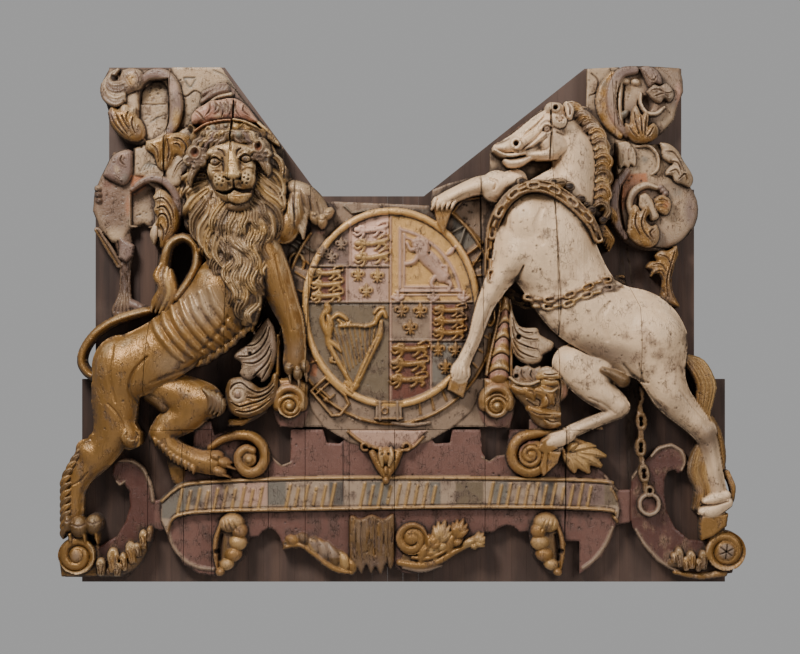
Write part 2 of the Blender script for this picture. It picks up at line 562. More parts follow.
def left_lower_cloth(r):
    """The lower cloth, with knots at its rim and leaves over its edges."""
    r.use("dusty")
    lower = [(-152, 231.5), (-145, 233.8), (-139, 229), (-124, 222), (-117, 213), (-115, 202),
        (-116.4, 190), (-122.6, 181), (-129.5, 182), (-130.8, 190), (-135.8, 192.6), (-142.5, 190.8),
        (-144.8, 186), (-146, 182), (-153, 183.2), (-159.5, 191), (-163, 200), (-162.2, 210), (-158.5, 219),
        (-155, 226)]
    r.slab(lower, 9.5, 3, 3)
    for stain in ((-152, 203, 10, 16, "umber", 0.6), (-156, 208, 5, 10, "pink", 0.35),
            (-152, 187, 8, 6, "cream", 1), (-154.6, 214.8, 4, 3.2, "red", 0.8),
            (-159, 197, 4, 8, "cream", 0.5)):
        r.patch(*stain)
    r.specks(-158, 192, -146, 212, 40, 25, "black", 0.36)
    r.foliage([(-156, 222.4), (-152, 229.4), (-146, 232.6), (-141.6, 232), (-141.2, 226), (-141.8, 218.6),
        (-145.6, 213.8), (-149.6, 214.6), (-156.6, 218.6)], 14,
        [[(-146.6, 230), (-147.4, 226.6), (-144.8, 223.8)], [(-150.6, 219), (-147.4, 216.6)]], "grey_mauve",
        3.4, 3.4, 1.6, 0.55)
    for stain in ((-149.4, 222, 1.8, 3.4, "cream", 0.8, 25), (-146, 230, 4, 3, "lilac", 0.5),
            (-145, 217, 3, 4, "slate", 0.7)):
        r.patch(*stain)
    r.use("dusty")
    for k in range(3):
        r.mass(-160 + 0.3 * k, 212 - 3.2 * k, 2, 1.8, 12.6 - 0.3 * k, 0.7)
        r.carve([(-161.2 + 0.3 * k, 212.4 - 3.2 * k, 0.3), (-159.4 + 0.3 * k, 211.4 - 3.2 * k, 0.4)], -0.8,
            1, "dark")
        r.use("dark")
    r.sink([(-142.4, 209.5), (-139, 213.5), (-134.5, 215.6), (-129.4, 212), (-129.4, 192), (-135.8, 191.2),
        (-142.4, 192.4)], 4.4, "dusty")
    r.patch(-136, 198, 7, 8, "cream", 0.9)
    r.specks(-141, 194, -134, 201, 9, 26)
    r.field([(-142.2, 219), (-131, 218.4), (-135, 212.6), (-142.4, 207.6)], "orange")
    r.patch(-144, 202.6, 1.8, 7, "orange", 0.9)
    r.use("grey_mauve")
    r.limb([(-141.6, 211.6, 1.2, 12.6), (-136.4, 215.6, 1.7, 13.4), (-130.6, 217.4, 2, 14),
        (-124, 215.6, 2.3, 14.4), (-118.8, 209.6, 2.3, 14.4), (-116.4, 201.6, 2, 13.8),
        (-117, 192.6, 1.6, 13)], 0.8, full=3.5)
    r.foliage([(-130.4, 207.4), (-126.6, 211.6), (-121.4, 208.6), (-117.2, 201.6), (-115.8, 193.6),
        (-118.6, 186.6), (-124.6, 179.6), (-126.6, 182.4), (-126, 189.6), (-128.8, 192.6), (-127.8, 196.6),
        (-129.8, 200), (-128.8, 203.6)], 16.8, [[(-129, 205.6), (-124.4, 206.4), (-119.8, 200.6),
        (-118.4, 194)], [(-128.4, 201), (-124, 202), (-120.6, 196.6), (-119.8, 190.6)],
        [(-128, 195.6), (-125.4, 198.2), (-122.6, 196.6), (-121.6, 191.6), (-123.2, 186.6)],
        [(-126, 192.6), (-124.2, 188.6), (-124.4, 183.6)]], "gold", 3.6, 3.4, 2, 0.55)
    for stain in ((-125.6, 206.6, 4.6, 3, "cream", 0.75, -20), (-122.6, 187.6, 3.6, 6, "umber", 0.5),
            (-118.6, 203.6, 2.4, 4.6, "grey_mauve", 0.6)):
        r.patch(*stain)
    r.use("cream")
    r.petal(-127.6, 193.6, -129.6, 182.6, 1.9, 14.6, -0.6, 2, 1)
    r.petal(-125.6, 191, -126.2, 184.4, 1.3, 15.4, 0.4, 1.8, 1)


def tassel(r):
    """The fallen tassel and its cord."""
    r.use("umber")
    r.limb([(-147.5, 186, 5, 9), (-145.8, 178, 4.3, 8.5), (-146, 168, 3.2, 7.5), (-146, 158, 3.2, 7.5),
        (-146.5, 150, 5, 9), (-147, 146, 6.6, 9)], 0.6)
    for k in range(-2, 3):
        r.carve([(-147 + 1.3 * k, 184, 0.45), (-145.8 + 0.9 * k, 172, 0.4), (-146 + 0.9 * k, 158, 0.4),
                 (-147 + 2.2 * k, 146, 0.6)], -0.9, paint="bare")
    r.patch(-146, 152, 6, 6, "dusty", 0.7)
    r.use("dusty")
    r.limb([(-161, 190, 1.4, 8), (-154.5, 180, 1.8, 8), (-149, 171, 1.6, 8)], 0.85)
    for shift, paint in ((-0.8, "gold"), (0, "black"), (0.8, "umber")):
        r.carve([(-161 + shift, 190, 0.4), (-154.5 + shift, 180, 0.5), (-149 + shift, 171, 0.4)],
                -0.8 if paint == "black" else 0.6, 5, paint)
    r.use("grey_mauve")
    r.slab([(-148.6, 186), (-143.6, 183.6), (-140.6, 181.6), (-141.6, 175.6), (-145, 172.6), (-149, 174.6)],
        10.6, 2, 2)
    r.limb([(-143, 150, 3, 8), (-136, 147.5, 2.4, 9)], 0.6)


# %% The lion
# %% [markdown]
# Bodies are drawn as rounded limbs on a layer of their own, melted into each other and softened,
# because living forms have no creases where muscles meet.  Hair, ribs, claws and the face are cut
# into that body afterwards, as a carver would, and so stay sharp.  Sculpting by hand could do the
# same, but a stroke that is written down can be moved or thickened by itself.


def lion_far_legs(r):
    """The far legs, which lie deeper, with curls at the knee."""
    far = Relief()
    far.limb([(-126, 105, 9, 19), (-113, 101, 11, 21), (-103, 98.5, 10, 21)], melt=6)
    far.limb([(-103, 98, 9, 21), (-112, 90.5, 9.3, 20), (-121, 85.5, 8.4, 18), (-126.5, 81, 6.2, 17)],
        melt=6)
    far.mass(-98.6, 96.5, 5.4, 7.6, 21.5, 0.6, melt=4)
    far.limb([(-126.5, 80, 6.2, 17), (-119, 72, 5.6, 17), (-108, 66.4, 6.2, 17), (-99, 64.6, 6.6, 17)],
        melt=4)
    far.soften(2, 2)
    for x, z in ((-96.5, 68.6), (-92.6, 65), (-95, 60.6)):
        far.mass(x, z, 4.2, 3, 17.5, 0.6, -12, melt=1.5)
    for x, z in ((-90.3, 66.6), (-88.6, 63.2), (-91.3, 58.8)):
        far.limb([(x - 1.6, z, 1.2, 16), (x + 2.2, z - 1.8, 0.5, 13.5)], 0.7)
    far.use("dull_gold")
    for k in range(4):                                   # curls of hair on the knee
        far.lock([(-102.6 + 2.6 * k, 104.6 - 0.9 * k, 0.8, 23),
            (-99.4 + 2.3 * k, 101.4 - 1.4 * k, 1.5, 24.6), (-98.8 + 1.9 * k, 96.6 - 1.2 * k, 1.4, 24),
            (-101 + 2 * k, 92.8 - 0.8 * k, 0.6, 21.6)], 2.6, 1, 0)
    far.patch(-96, 97, 6, 8, "umber", 0.45)
    far.use("gold")
    for k in range(11):                                  # hair along the far shank
        x = -130.4 + 2 * k
        z = np.interp(x, (-130, -121.6, -109.4), (78, 69.6, 62.4))
        far.use(("gold", "dull_gold")[k % 2])
        far.tress(x + 1, z + 1.4, -70, 5.6, 1.35, 17, -30, 10, 1.6, 1, 0)
    far.limb([(-119, 65, 4, 7), (-117, 57, 4, 7)], 0.8)
    r.lay(far)


def lion_body(r):
    """Trunk, near legs and paws."""
    near = Relief()
    near.limb([(-84, 165, 18.5, 28), (-95, 151, 20.5, 29), (-107, 138.5, 19.5, 28.4),
        (-119, 129, 17.5, 27.4), (-131, 121.5, 17.6, 27), (-144, 115.5, 17.6, 27)], edge=0.5, melt=6)
    near.mass(-146.5, 116, 15.8, 17.5, 27.5, 0.5, melt=6)
    near.limb([(-147.5, 116, 14.8, 27), (-150, 101, 13.2, 26), (-150.4, 88, 11.4, 24.5),
        (-153.6, 77.5, 9.8, 22), (-161, 68.4, 9.4, 19), (-168.6, 60, 7.8, 17), (-172.2, 50, 6, 15.6),
        (-173.2, 38, 5.8, 15)], edge=0.5, melt=5)
    near.mass(-143.5, 80.5, 6.4, 8.6, 23.4, 0.55, 20, melt=5)
    near.mass(-164, 70, 6.5, 8.5, 19.5, 0.55, 40, melt=4)
    near.limb([(-71, 180, 9.5, 29.5), (-66, 167, 9.6, 29.5), (-60.6, 153, 8, 26.5), (-55.6, 140, 6.5, 24),
        (-54, 128, 6, 22), (-54.2, 119, 6.4, 21)], edge=0.5, melt=4)
    near.limb([(-60, 190, 8, 24), (-54.5, 199, 7.6, 23), (-52.5, 207, 7, 21.5)], melt=4)
    near.mass(-97, 159, 12, 13, 29.5, 0.5, 30, melt=6)
    near.soften(3, 2)
    for stain in ((-103, 149, 17, 14, "aged_gold", 0.9, 30), (-100, 152, 9, 8, "cream", 0.25, 30),
            (-120, 118, 12, 9, "aged_gold", 0.5)):
        near.patch(*stain)
    near.keep_skin()
    for i in range(7):                                   # ribs under the hide
        x, z = -129.5 + 5.3 * i, 141.5 + 2.1 * i
        near.carve([(x - 1, z + 4, 1.4), (x + 1.6, z - 3.5, 2.4), (x + 6.5, z - 11, 2.7),
                    (x + 12.5, z - 18, 2.4), (x + 17, z - 22, 1.2)], 1.9, 4, None, 1.3)
    for x, z, rx, rz, turn in ((-169.8, 30.6, 5.4, 6, 6), (-161.9, 32, 4.9, 5.8, -10),
            (-175.6, 33, 3, 5.4, 0)):
        near.use("dull_gold")
        near.mass(x, z, rx, rz, 18.4, 0.62, turn, melt=0.8)
        near.use("gold")
        near.carve([(x - rx * 0.7, z + 1.6, 0.4), (x, z + 0.6, 0.5), (x + rx * 0.7, z + 1.8, 0.4)], -0.7, 3,
            "umber")
    for x, z in ((-166.9, 26.6), (-160.6, 27), (-174.6, 26.6)):
        near.limb([(x, z, 1.4, 16), (x + 0.4, z - 3, 1.1, 15.6), (x + 0.8, z - 5.4, 0.5, 14)], 0.7)
    for x, z, rx, rz, turn in ((-57, 116, 2.9, 4, -8), (-52.6, 113.8, 3, 4.8, 0),
            (-48.8, 116.8, 2.5, 4, 10)):
        near.use("dull_gold")
        near.mass(x, z, rx, rz, 21.6, 0.62, turn, melt=0.8)
        near.carve([(x - rx * 0.7, z + 1.4, 0.35), (x, z + 0.5, 0.45), (x + rx * 0.7, z + 1.4, 0.35)], -0.6,
            3, "umber")
    near.use("aged_gold")
    for x, z in ((-56.8, 112), (-52.3, 109.8), (-48.5, 112.8)):
        near.limb([(x, z, 1, 18), (x + 0.3, z - 2.2, 0.8, 17), (x + 0.4, z - 4.2, 0.4, 15)], 0.7)
    near.patch(-54.4, 124, 7.5, 9, "umber", 0.55)
    near.patch(-54, 204, 9, 14, "aged_gold", 0.9)
    for k in range(5):                                   # fur on the raised paw
        x = -58 + 2.9 * k
        near.carve([(x + 1.6, 194 + 0.6 * k, 0.3), (x + 0.6, 201, 0.8), (x, 208, 0.4)], (1, -1.2)[k % 2], 3,
            ("pale_gold", "umber")[k % 2])
    near.use("aged_gold")
    near.limb([(-55, 212, 4.8, 20), (-50, 209.6, 5.8, 21), (-45, 204.4, 6.6, 20.4), (-42, 199.6, 6.2, 19)],
        0.6)
    near.patch(-45, 204, 8, 9, "dull_gold", 0.7)
    for k in range(6):
        near.carve([(-51 + 2.2 * k, 210.6 - 1.6 * k, 0.3), (-50 + 2.2 * k, 205.4 - 1.2 * k, 0.6),
            (-49.2 + 2.2 * k, 200 - 0.6 * k, 0.3)], (-1, 0.7)[k % 2], 3, ("umber", "dusty")[k % 2])
    for x, z, rx, rz, turn in ((-43.8, 196.8, 2.9, 4.4, 20), (-39.6, 194.8, 2.9, 4.4, 0),
            (-36.4, 198.4, 2.7, 4.2, -40)):
        near.use("mane_gold")
        near.mass(x, z, rx, rz, 19.4, 0.62, turn, melt=1.6)
        near.carve([(x - 1.8, z + 0.6, 0.3), (x, z - 0.2, 0.45), (x + 1.8, z + 0.8, 0.3)], -0.6, 3, "umber")
    near.use("aged_gold")
    for k in range(5):                                   # hair at the back of the raised leg
        z = 206 - 3.6 * k
        near.lock([(-49.5 - 0.6 * k, z, 1.4, 19), (-47 - 0.8 * k, z - 3.2, 1.5, 18),
            (-46.6 - 0.8 * k, z - 6.6, 0.6, 16)], 1.6, 1, 0)
    for k in range(14):                                  # the same along the near hind leg
        z = 79 - 3.8 * k
        x = np.interp(z, (28, 58, 70, 80), (-177, -177, -170.4, -161.4))
        near.use(("gold", "dull_gold")[k % 2])
        near.lock([(x + 2.2, z + 1.6, 1, 17), (x, z, 1.7, 17), (x - 1.6, z - 2.6, 1.4, 15.6),
            (x - 1.2, z - 5.2, 0.5, 14)], 1.8, 2, 0.35)
    for k in range(17):                                  # short hair under the belly
        x = -103 + 1.6 * k
        z = np.interp(x, (-104, -88, -78), (118.6, 128.6, 138))
        near.use(("gold", "dull_gold")[k % 2])
        near.tress(x, z + 2, -118 + 9 * (k % 3), 6.4, 1.2, 20.6, -30, 10, 1.6, 1, 0)
    near.carve([(-137, 96, 0.8), (-141.5, 104, 1.2), (-139, 114, 1.2), (-132, 122, 0.8)], -1.3)
    near.carve([(-131, 108, 0.7), (-122, 111.5, 1.2), (-112, 115.5, 1), (-103, 122, 0.6)], -0.8)
    near.whorl(-140.6, 78.6, 4.6, None, -1, 60, 1.5)
    for cut in (([(-104, 125, 0.8), (-96, 133, 1.6), (-89, 143, 1.2)], -1),
            ([(-150, 128, 1), (-152, 112, 1.6), (-149, 98, 1)], -0.6),
            ([(-64, 176, 0.6), (-61.4, 164, 0.9), (-58, 150, 0.8), (-55.6, 136, 0.5)], -0.8),
            ([(-153, 97, 0.6), (-147.6, 91, 0.9), (-144.6, 84, 0.7)], -0.9),
            ([(-176, 52, 0.5), (-169.6, 55, 0.8), (-165, 60, 0.5)], -0.8)):
        near.carve(*cut)
    r.lay(near)
    r.use("dull_gold")                                   # the sheath
    r.limb([(-133, 101, 3.6, 16), (-128, 99, 4.6, 17.4), (-124.4, 94.6, 3.4, 16)], 0.6)
    r.lock([(-133, 103, 0.8, 16.6), (-128, 101.4, 1.2, 18), (-124.6, 97.6, 0.6, 17)], 1.6, 1, 0)


def lion_tail(r):
    """The tail leaves the rump, runs behind the back and ends in a tuft over a long loop."""
    tail = Relief()
    tail.limb([(-161, 110.4, 2.6, 14), (-166, 113.6, 2.6, 13), (-168.8, 119, 2.6, 12.6),
        (-167, 126.5, 2.6, 12), (-160.4, 135, 2.6, 13), (-150, 141.4, 2.6, 14), (-138, 145.2, 2.5, 15),
        (-128, 147, 2.3, 16)], 0.5)
    tail.limb([(-117, 153, 3, 24), (-110.5, 162, 2.9, 24), (-106.4, 171, 2.8, 24), (-107, 180.5, 2.7, 23),
        (-113.3, 185.4, 2.6, 22), (-120.3, 182.2, 2.6, 22), (-123.4, 174, 3, 22), (-124.3, 166, 3.6, 21)],
        0.5)
    tail.soften(1)
    for k in range(4):                                   # the tuft in long locks
        tail.use(("gold", "dull_gold", "pale_gold", "gold")[k])
        tail.lock([(-125 + 1.6 * k, 171.6 - 1.2 * k, 0.9, 21.4), (-127.4 + 2.6 * k, 165 - 0.8 * k, 2, 23.4),
            (-124.6 + 2 * k, 158 - 0.8 * k, 2.2, 23.8), (-128.6 + 2.6 * k, 151.2 - 0.6 * k, 1.8, 22.4),
            (-130.6 + 2.2 * k, 146 - 0.4 * k, 0.7, 20)], 2.8, 1, 0)
    r.lay(tail)


# %% The lion's mane
# %% [markdown]
# A mane is a mass of overlapping locks.  Hair particles would give thousands of strands, but a
# carver cuts broad locks with a few furrows, so each lock is one stroke.  Fine locks that follow
# a field of headings fill the ground, the large ones lie over them, and clefts are filled last.


def lion_mane(r):
    """Long locks roll outward from the face, then down, and waving ones cover the breast."""
    mane = Relief()
    mane.use("mane_gold")
    mane.limb([(-87, 226, 24, 27), (-86, 213, 27, 28.5), (-85, 197, 26, 30.5), (-83, 181, 20.5, 31.5),
        (-82, 166, 15, 31.5), (-81, 153, 9.5, 30.5), (-79.6, 143, 5, 29)], 0.55, melt=4)
    mane.soften(3)
    mane.keep_skin()
    rng = np.random.default_rng(3)

    def flow(x, z):
        """Headings: outward near the face, then down, with waves."""
        dx, dz = x + 86.6, z - 220
        away = max(np.hypot(dx, dz), 1)
        near = np.exp(-max(away - 13, 0) / 8)
        wave = np.sin(2 * pi * (z / 13.5 + x / 47)) * (1 - 0.5 * near)
        return np.arctan2(near * 0.9 * dz / away - (1.15 - near), near * 1.5 * dx / away) + 0.62 * wave

    paints = ("mane_dark", "mane_gold", "mane_dark", "umber", "mane_gold")
    number = 0
    for z in np.arange(146, 206, 6):                     # the fine hair underneath
        half = np.interp(z, (143, 153, 166, 181, 197, 206), (3, 7, 12, 17, 21, 22))
        middle = np.interp(z, (143, 197), (-80, -85.5))
        for share in np.linspace(-1, 1, max(int(half / 2.1), 3)):
            mane.use(paints[number % 5])
            x = middle + half * share + rng.uniform(-0.8, 0.8)
            mane.stream(x, z + rng.uniform(0, 3), flow, rng.uniform(12, 16), rng.uniform(1.4, 1.9), 1.6, 2,
                0.5)
            number += 1
    for radius in (26, 21, 16.5):
        for a in np.arange(-217, 40, 330 / radius):
            mane.use(paints[number % 5])
            x, z = -86.6 + radius * np.cos(np.radians(a)) * 0.93, 220 + radius * np.sin(np.radians(a)) * 0.95
            if radius < 25 or z < 222:
                mane.stream(x, z, flow, rng.uniform(15, 20), rng.uniform(1.5, 2), 1.8, 2, 0.5)
            number += 1
    # the large locks, each by its own sweep
    locks = [[(-101, 222), (-108, 223), (-114.6, 219.6), (-116.4, 213.5), (-113.4, 208.6)],
        [(-101.5, 218), (-108.5, 218), (-114.5, 214.5), (-116, 207.6), (-112, 202)],
        [(-101, 214), (-107.6, 211.5), (-113, 206.6), (-113.8, 199), (-109.4, 193)],
        [(-100.4, 210.5), (-106, 206), (-110.6, 199.8), (-110.8, 192), (-106, 185.4)],
        [(-99, 207), (-102.6, 201), (-107, 195), (-107.4, 187.6), (-102.6, 181)],
        [(-97.4, 203.6), (-98.6, 196.6), (-102.6, 190), (-103, 182.6), (-98.4, 175.6)],
        [(-95.6, 201), (-95, 193), (-98.6, 186), (-99.4, 178), (-94.6, 171)],
        [(-92.6, 199.6), (-90.6, 192), (-94, 184.6), (-95.6, 176), (-91, 168.6)],
        [(-102, 181), (-103.6, 173.6), (-100.6, 166), (-95.4, 160)],
        [(-98.4, 172), (-99.4, 164), (-95.6, 156), (-90, 150.6)],
        [(-73.4, 228.6), (-67.6, 229), (-62.6, 225), (-61.8, 219), (-64.6, 215.4)],
        [(-73, 223.4), (-68, 220.6), (-63, 216.6), (-60.8, 209.6), (-64, 204.6)],
        [(-73, 218.6), (-68.6, 213.8), (-63.2, 209.4), (-60.8, 202.4), (-63.4, 196.6)],
        [(-73.4, 213.6), (-69.2, 208), (-63.2, 203.6), (-59.4, 197.2), (-61, 190)],
        [(-74.6, 209), (-70, 204), (-64.4, 199.4), (-61.6, 192), (-63.8, 185)],
        [(-76.4, 205.4), (-71.8, 200.4), (-67.4, 195.4), (-66.2, 188), (-69.4, 182)],
        [(-79, 202), (-74.6, 197.4), (-71.4, 191.6), (-72.4, 184.6), (-76.4, 180.4)],
        [(-66.4, 184), (-64.6, 177), (-67.8, 170.6), (-66, 163.6)],
        [(-71.4, 181), (-68.6, 174.6), (-71.6, 168), (-69, 160.6)]]
    for k in range(len(locks) - 1, -1, -1):
        size = (3.2, 2.8, 3)[k % 3]
        mane.use(("mane_gold", "pale_gold", "mane_gold", "pale_gold", "mane_dark")[k % 5])
        mane.tuft(locks[k], size, 5 + 0.5 * (k % 3), (3, 2)[k % 2], 0.36)

    def fall(x, z, length):
        """A path downward that waves in step with its neighbours, so that the locks nest."""
        path = [(x, z)]
        for _ in range(int(length / 2.4)):
            turn = -pi / 2 + 0.62 * np.sin(2 * pi * (z / 19 + x / 70)) + 0.20 * np.sin(z / 5 + x / 3)
            turn += 0.45 * np.exp(-((x + 82) / 9) ** 2 - ((z - 188) / 9) ** 2)
            x, z = x + 2.4 * np.cos(turn), z + 2.4 * np.sin(turn)
            path.append((x, z))
        return path

    number = 0
    for z in (158, 163, 169, 175, 181, 187, 193, 199):   # the breast in long waving locks
        half = np.interp(z, (156, 163, 175, 199), (5, 8, 11.5, 12.5))
        middle = np.interp(z, (150, 199), (-80, -84.6))
        for share in np.linspace(-1, 1, int(half / 2.5) + 1) + 0.22 * (number % 2):
            number += 1
            mane.use(("pale_gold", "mane_gold", "mane_dark", "mane_gold", "mane_dark")[number * 2 % 5])
            mane.tuft(fall(middle + half * share + rng.uniform(-0.7, 0.7), z + rng.uniform(-1.6, 1.6),
                rng.uniform(15, 21)), rng.uniform(2.2, 3), rng.uniform(4.6, 6.4), 3, 0.38)
    for k, path in enumerate(([(-84.6, 201.6), (-85.4, 196), (-88, 190.6), (-87, 184.6)],
            [(-81.6, 201.8), (-79.4, 197), (-81.4, 191), (-79.4, 185.6)],
            [(-87.6, 202), (-90, 197), (-92.4, 191), (-91.4, 185)],
            [(-78.8, 203), (-75, 199.2), (-74.6, 193.4), (-71, 188.6)],
            [(-90.5, 203.5), (-94, 199), (-97, 193), (-96.6, 187)],
            [(-76.4, 205), (-71.6, 202), (-69.8, 196.8), (-65.8, 192.2)])):
        mane.use(("mane_gold", "pale_gold", "mane_dark")[k % 3])    # the beard, parted under the lip
        mane.tuft(path, 2.7, 7.2, 3, 0.42)
    mane.web(3, 1, 0.5)
    mane.patch(-74, 197, 9, 9, "dusty", 0.4)
    mane.patch(-84, 180, 10, 14, "dusty", 0.35)
    r.lay(mane)


# %% The lion's head
# %% [markdown]
# The face looks out of the carving and stands highest.  One half could be mirrored, but the head
# is tilted and was cut by eye.  Its masses are melted and softened first; nose, eyes, mouth and
# whisker holes are cut afterwards, because softening would blur them.


def lion_head(r):
    """Broad face, straight nose, heavy muzzle with whisker dots, and an open mouth."""
    face = Relief()
    hair = Relief()
    for x, z, hand in ((-105.8, 229.2, -1), (-72.4, 232.6, 1)):   # ears in curls of hair
        hair.use("mane_dark")
        hair.mass(x, z, 5.6, 5.8, 35, 0.8)
        for k in range(6):
            a = np.radians(90 + hand * (10 + 44 * k))
            hair.use(("mane_dark", "umber", "mane_gold")[k % 3])
            hair.whorl(x + 5 * np.cos(a), z + 5.2 * np.sin(a), 2.3, 36.6, hand * (1 if k % 2 else -1),
                60 * k, 2)
        hair.mass(x, z, 4.1, 4.3, 38.8, 0.9)
    for k in range(3):                                   # tufts under the ears
        hair.use(("mane_dark", "dull_gold", "mane_dark")[k])
        hair.tress(-102.6 - 1.8 * k, 224 - 1.8 * k, 196 + 14 * k, 8.6, 1.7, 34.6, 70, 0, 2.2, 2, 0.35)
        hair.tress(-73.4 + 2.2 * k, 227.6 - 1.4 * k, -40 - 8 * k, 7.8, 1.6, 34.6, -60, 0, 2.2, 2, 0.35)
    hair.web(4, 0.8, 0.5)
    hair.patch(-106, 226, 10, 13, "umber", 0.95)
    hair.patch(-71.6, 229.6, 9, 12, "umber", 0.8)
    for x, z, rx, rz in ((-105.8, 229.4, 2.5, 2.9), (-72.4, 232.8, 2.1, 2.8)):
        part, px, pz = hair.window([(x, z)], 4)
        u = np.hypot((px - x) / rx, (pz - z) / rz)
        hair.height[part] -= 4.6 * np.clip(1 - u ** 2, 0, 1)
        hair.patch(x, z, rx * 1.15, rz * 1.1, "red", 1)
        hair.patch(x, z - 0.4, rx * 0.7, rz * 0.7, "orange", 0.45)
    r.lay(hair)
    face.use("mane_gold")
    face.limb([(-87.4, 231.5, 12, 37.6), (-87.2, 225, 13.9, 38.6), (-86.6, 218, 12.4, 38.6),
        (-85.6, 211, 10, 37.8)], 0.66, melt=3, full=2.4)
    for lump in ((-87.4, 230.2, 12.4, 5.6, 39.8, 0.86, 0, 3), (-94.8, 229.6, 5.4, 2.3, 39.6, 0.93, 10, 3),
            (-79.2, 230.8, 5.4, 2.3, 39.6, 0.93, -10, 3), (-96.2, 220, 3.4, 4.6, 38.4, 0.88, 10, 6),
            (-77.6, 221, 3.2, 4.6, 38.4, 0.88, -10, 6)):
        face.mass(*lump)
    face.limb([(-86.6, 231.6, 3.2, 40.2), (-86.1, 225, 3.9, 41.6), (-85.6, 219.4, 4.3, 43.2),
        (-85.4, 216.4, 3.8, 43.4)], 0.9, melt=1.2, full=3.6)
    face.mass(-91.6, 214.6, 4.9, 4.9, 42.2, 0.80, melt=2)
    face.mass(-78.8, 215.8, 4.7, 4.9, 42.2, 0.80, melt=2)
    face.soften(2)
    face.use("pale_gold")
    face.limb([(-86.5, 230, 1.4, 41.2), (-86, 224.6, 2.3, 42.8), (-85.5, 219.6, 2.9, 44.2)], 0.96, melt=1,
        full=4)
    face.mass(-85.3, 217.4, 4.4, 2.5, 44.8, 0.93, melt=1)
    for x, z, hand in ((-88.5, 215.3, -1), (-82.3, 215.7, 1)):
        face.carve([(x + hand * 0.9, z + 0.9, 0.5), (x, z, 0.9), (x - hand * 1.2, z - 0.3, 0.6)], -2.6, 3,
            "black")
    for x, z, turn in ((-95.3, 224.7, 1), (-79, 226.2, -1)):
        face.carve([(x - 3.4, z, 0.4), (x - 0.2, z + 1.9, 0.8), (x + 3.4, z, 0.4), (x, z - 1.8, 0.8),
            (x - 3.4, z, 0.4)], -0.8, 4, "dark")
        face.use("pale_gold")
        face.mass(x, z, 2.3, 1.8, 39.9, 0.93)
        face.carve([(p, q, 0.46) for p, q in arc(x + 0.2 * turn, z, 1.35, 0, 345, 11)], -0.4, 1, "umber")
        face.patch(x + 0.2 * turn, z, 1.5, 1.5, "umber", 0.5)
        face.dot(x + 0.2 * turn, z, 0.9, -0.8, "black")
        face.carve([(x - 4, z + 0.3, 0.35), (x - 0.2, z + 3.1, 0.65), (x + 3.9, z + 0.5, 0.35)], 1.4, 4,
            "mane_gold")
        face.carve([(x - 3.6, z - 0.9, 0.35), (x, z - 3, 0.55), (x + 3.6, z - 0.9, 0.35)], 1, 4,
            "mane_gold")
        face.patch(x + 2 * turn, z + 5, 3.6, 1.5, "umber", 0.6)
    for path, deep in (([(-91.3, 226.4, 0.7), (-90.7, 222.6, 0.9), (-90.6, 219.4, 0.6)], -1.1),
            ([(-81.6, 227.4, 0.7), (-82, 223.4, 0.9), (-81.8, 220.4, 0.6)], -1.1),
            ([(-96.6, 219.4, 0.5), (-93.6, 219.6, 0.6), (-91, 218.4, 0.5)], -0.8),
            ([(-75.4, 220.9, 0.5), (-78, 221.2, 0.6), (-80.6, 220, 0.5)], -0.8),
            ([(-86.9, 235, 0.5), (-86.6, 230.4, 0.6)], -1.2),
            ([(-93.4, 231, 0.5), (-91, 229.8, 0.8), (-89.8, 227.4, 0.5)], -1.6),
            ([(-81.4, 231.6, 0.5), (-83.4, 230, 0.8), (-83.6, 227.6, 0.5)], -1.6)):
        face.carve(path, deep, 4, "mane_dark" if deep > -1.5 else "umber")
    for z in (224.2, 222.8, 221.5):                      # wrinkles across the nose
        face.carve([(-88.6, z, 0.25), (-86.2, z + 0.4, 0.3), (-83.6, z + 0.1, 0.25)], -0.45, 3)
    face.use("black")
    face.slab([(-93, 209.6), (-76, 210.4), (-76.6, 205.6), (-87, 203), (-92, 205.4)], 31)
    face.use("mane_dark")
    face.mass(-83.6, 201.4, 7, 3.2, 35.6, 0.82, 4)
    face.carve([(-94.6, 209.8, 0.5), (-91.4, 208.6, 0.9), (-88.2, 208.6, 1.1), (-85.2, 210.4, 0.8),
        (-82.6, 209.6, 0.9), (-79.4, 209.4, 1), (-76.2, 210.6, 0.5)], -5, 4, "black", 0.6)
    face.carve([(-85.2, 215, 0.45), (-85.2, 211.4, 0.7)], -2.4, 1, "dark")
    face.use("gold")
    tongue = ((-88.6, 208), (-84, 207.6), (-76.4, 208.4), (-76.8, 206), (-79.6, 203.4),
        (-83.4, 202.6), (-87, 203.6), (-88.8, 205.6), (-88.6, 208))
    face.slab([tuple(p[:2]) for p in smooth([(*p, 0) for p in tongue], 4)], 39, 2.6, 2)
    face.carve([(-87.6, 207, 0.5), (-82.4, 206.7, 0.6), (-77.4, 207.4, 0.5)], 0.6, 4)
    face.patch(-75.8, 208.6, 2, 1.4, "red", 0.9)
    for cx, cz in ((-92, 214.9), (-78.8, 216)):          # whisker holes
        face.patch(cx, cz, 6, 6, "pale_gold", 0.7)
        for dx, dz in ((-2.6, 1.6), (-0.4, 2.4), (1.6, 1.4), (-3, -0.6), (-0.9, 0.1), (1.3, -0.8),
                (-1.9, -2.5), (0.4, -2.8)):
            face.dot(cx + dx, cz + dz, 1.1, 0.4)
            face.dot(cx + dx, cz + dz, 0.72, -1.7, "black")
    r.lay(face)


# %% The crown
# %% [markdown]
# Little is left of the crown: the circlet with its jewels, a crumpled cap and part of an arch.  A
# turned profile would give a whole crown, but this one is flattened and broken, so it is drawn
# as it lies on the head.


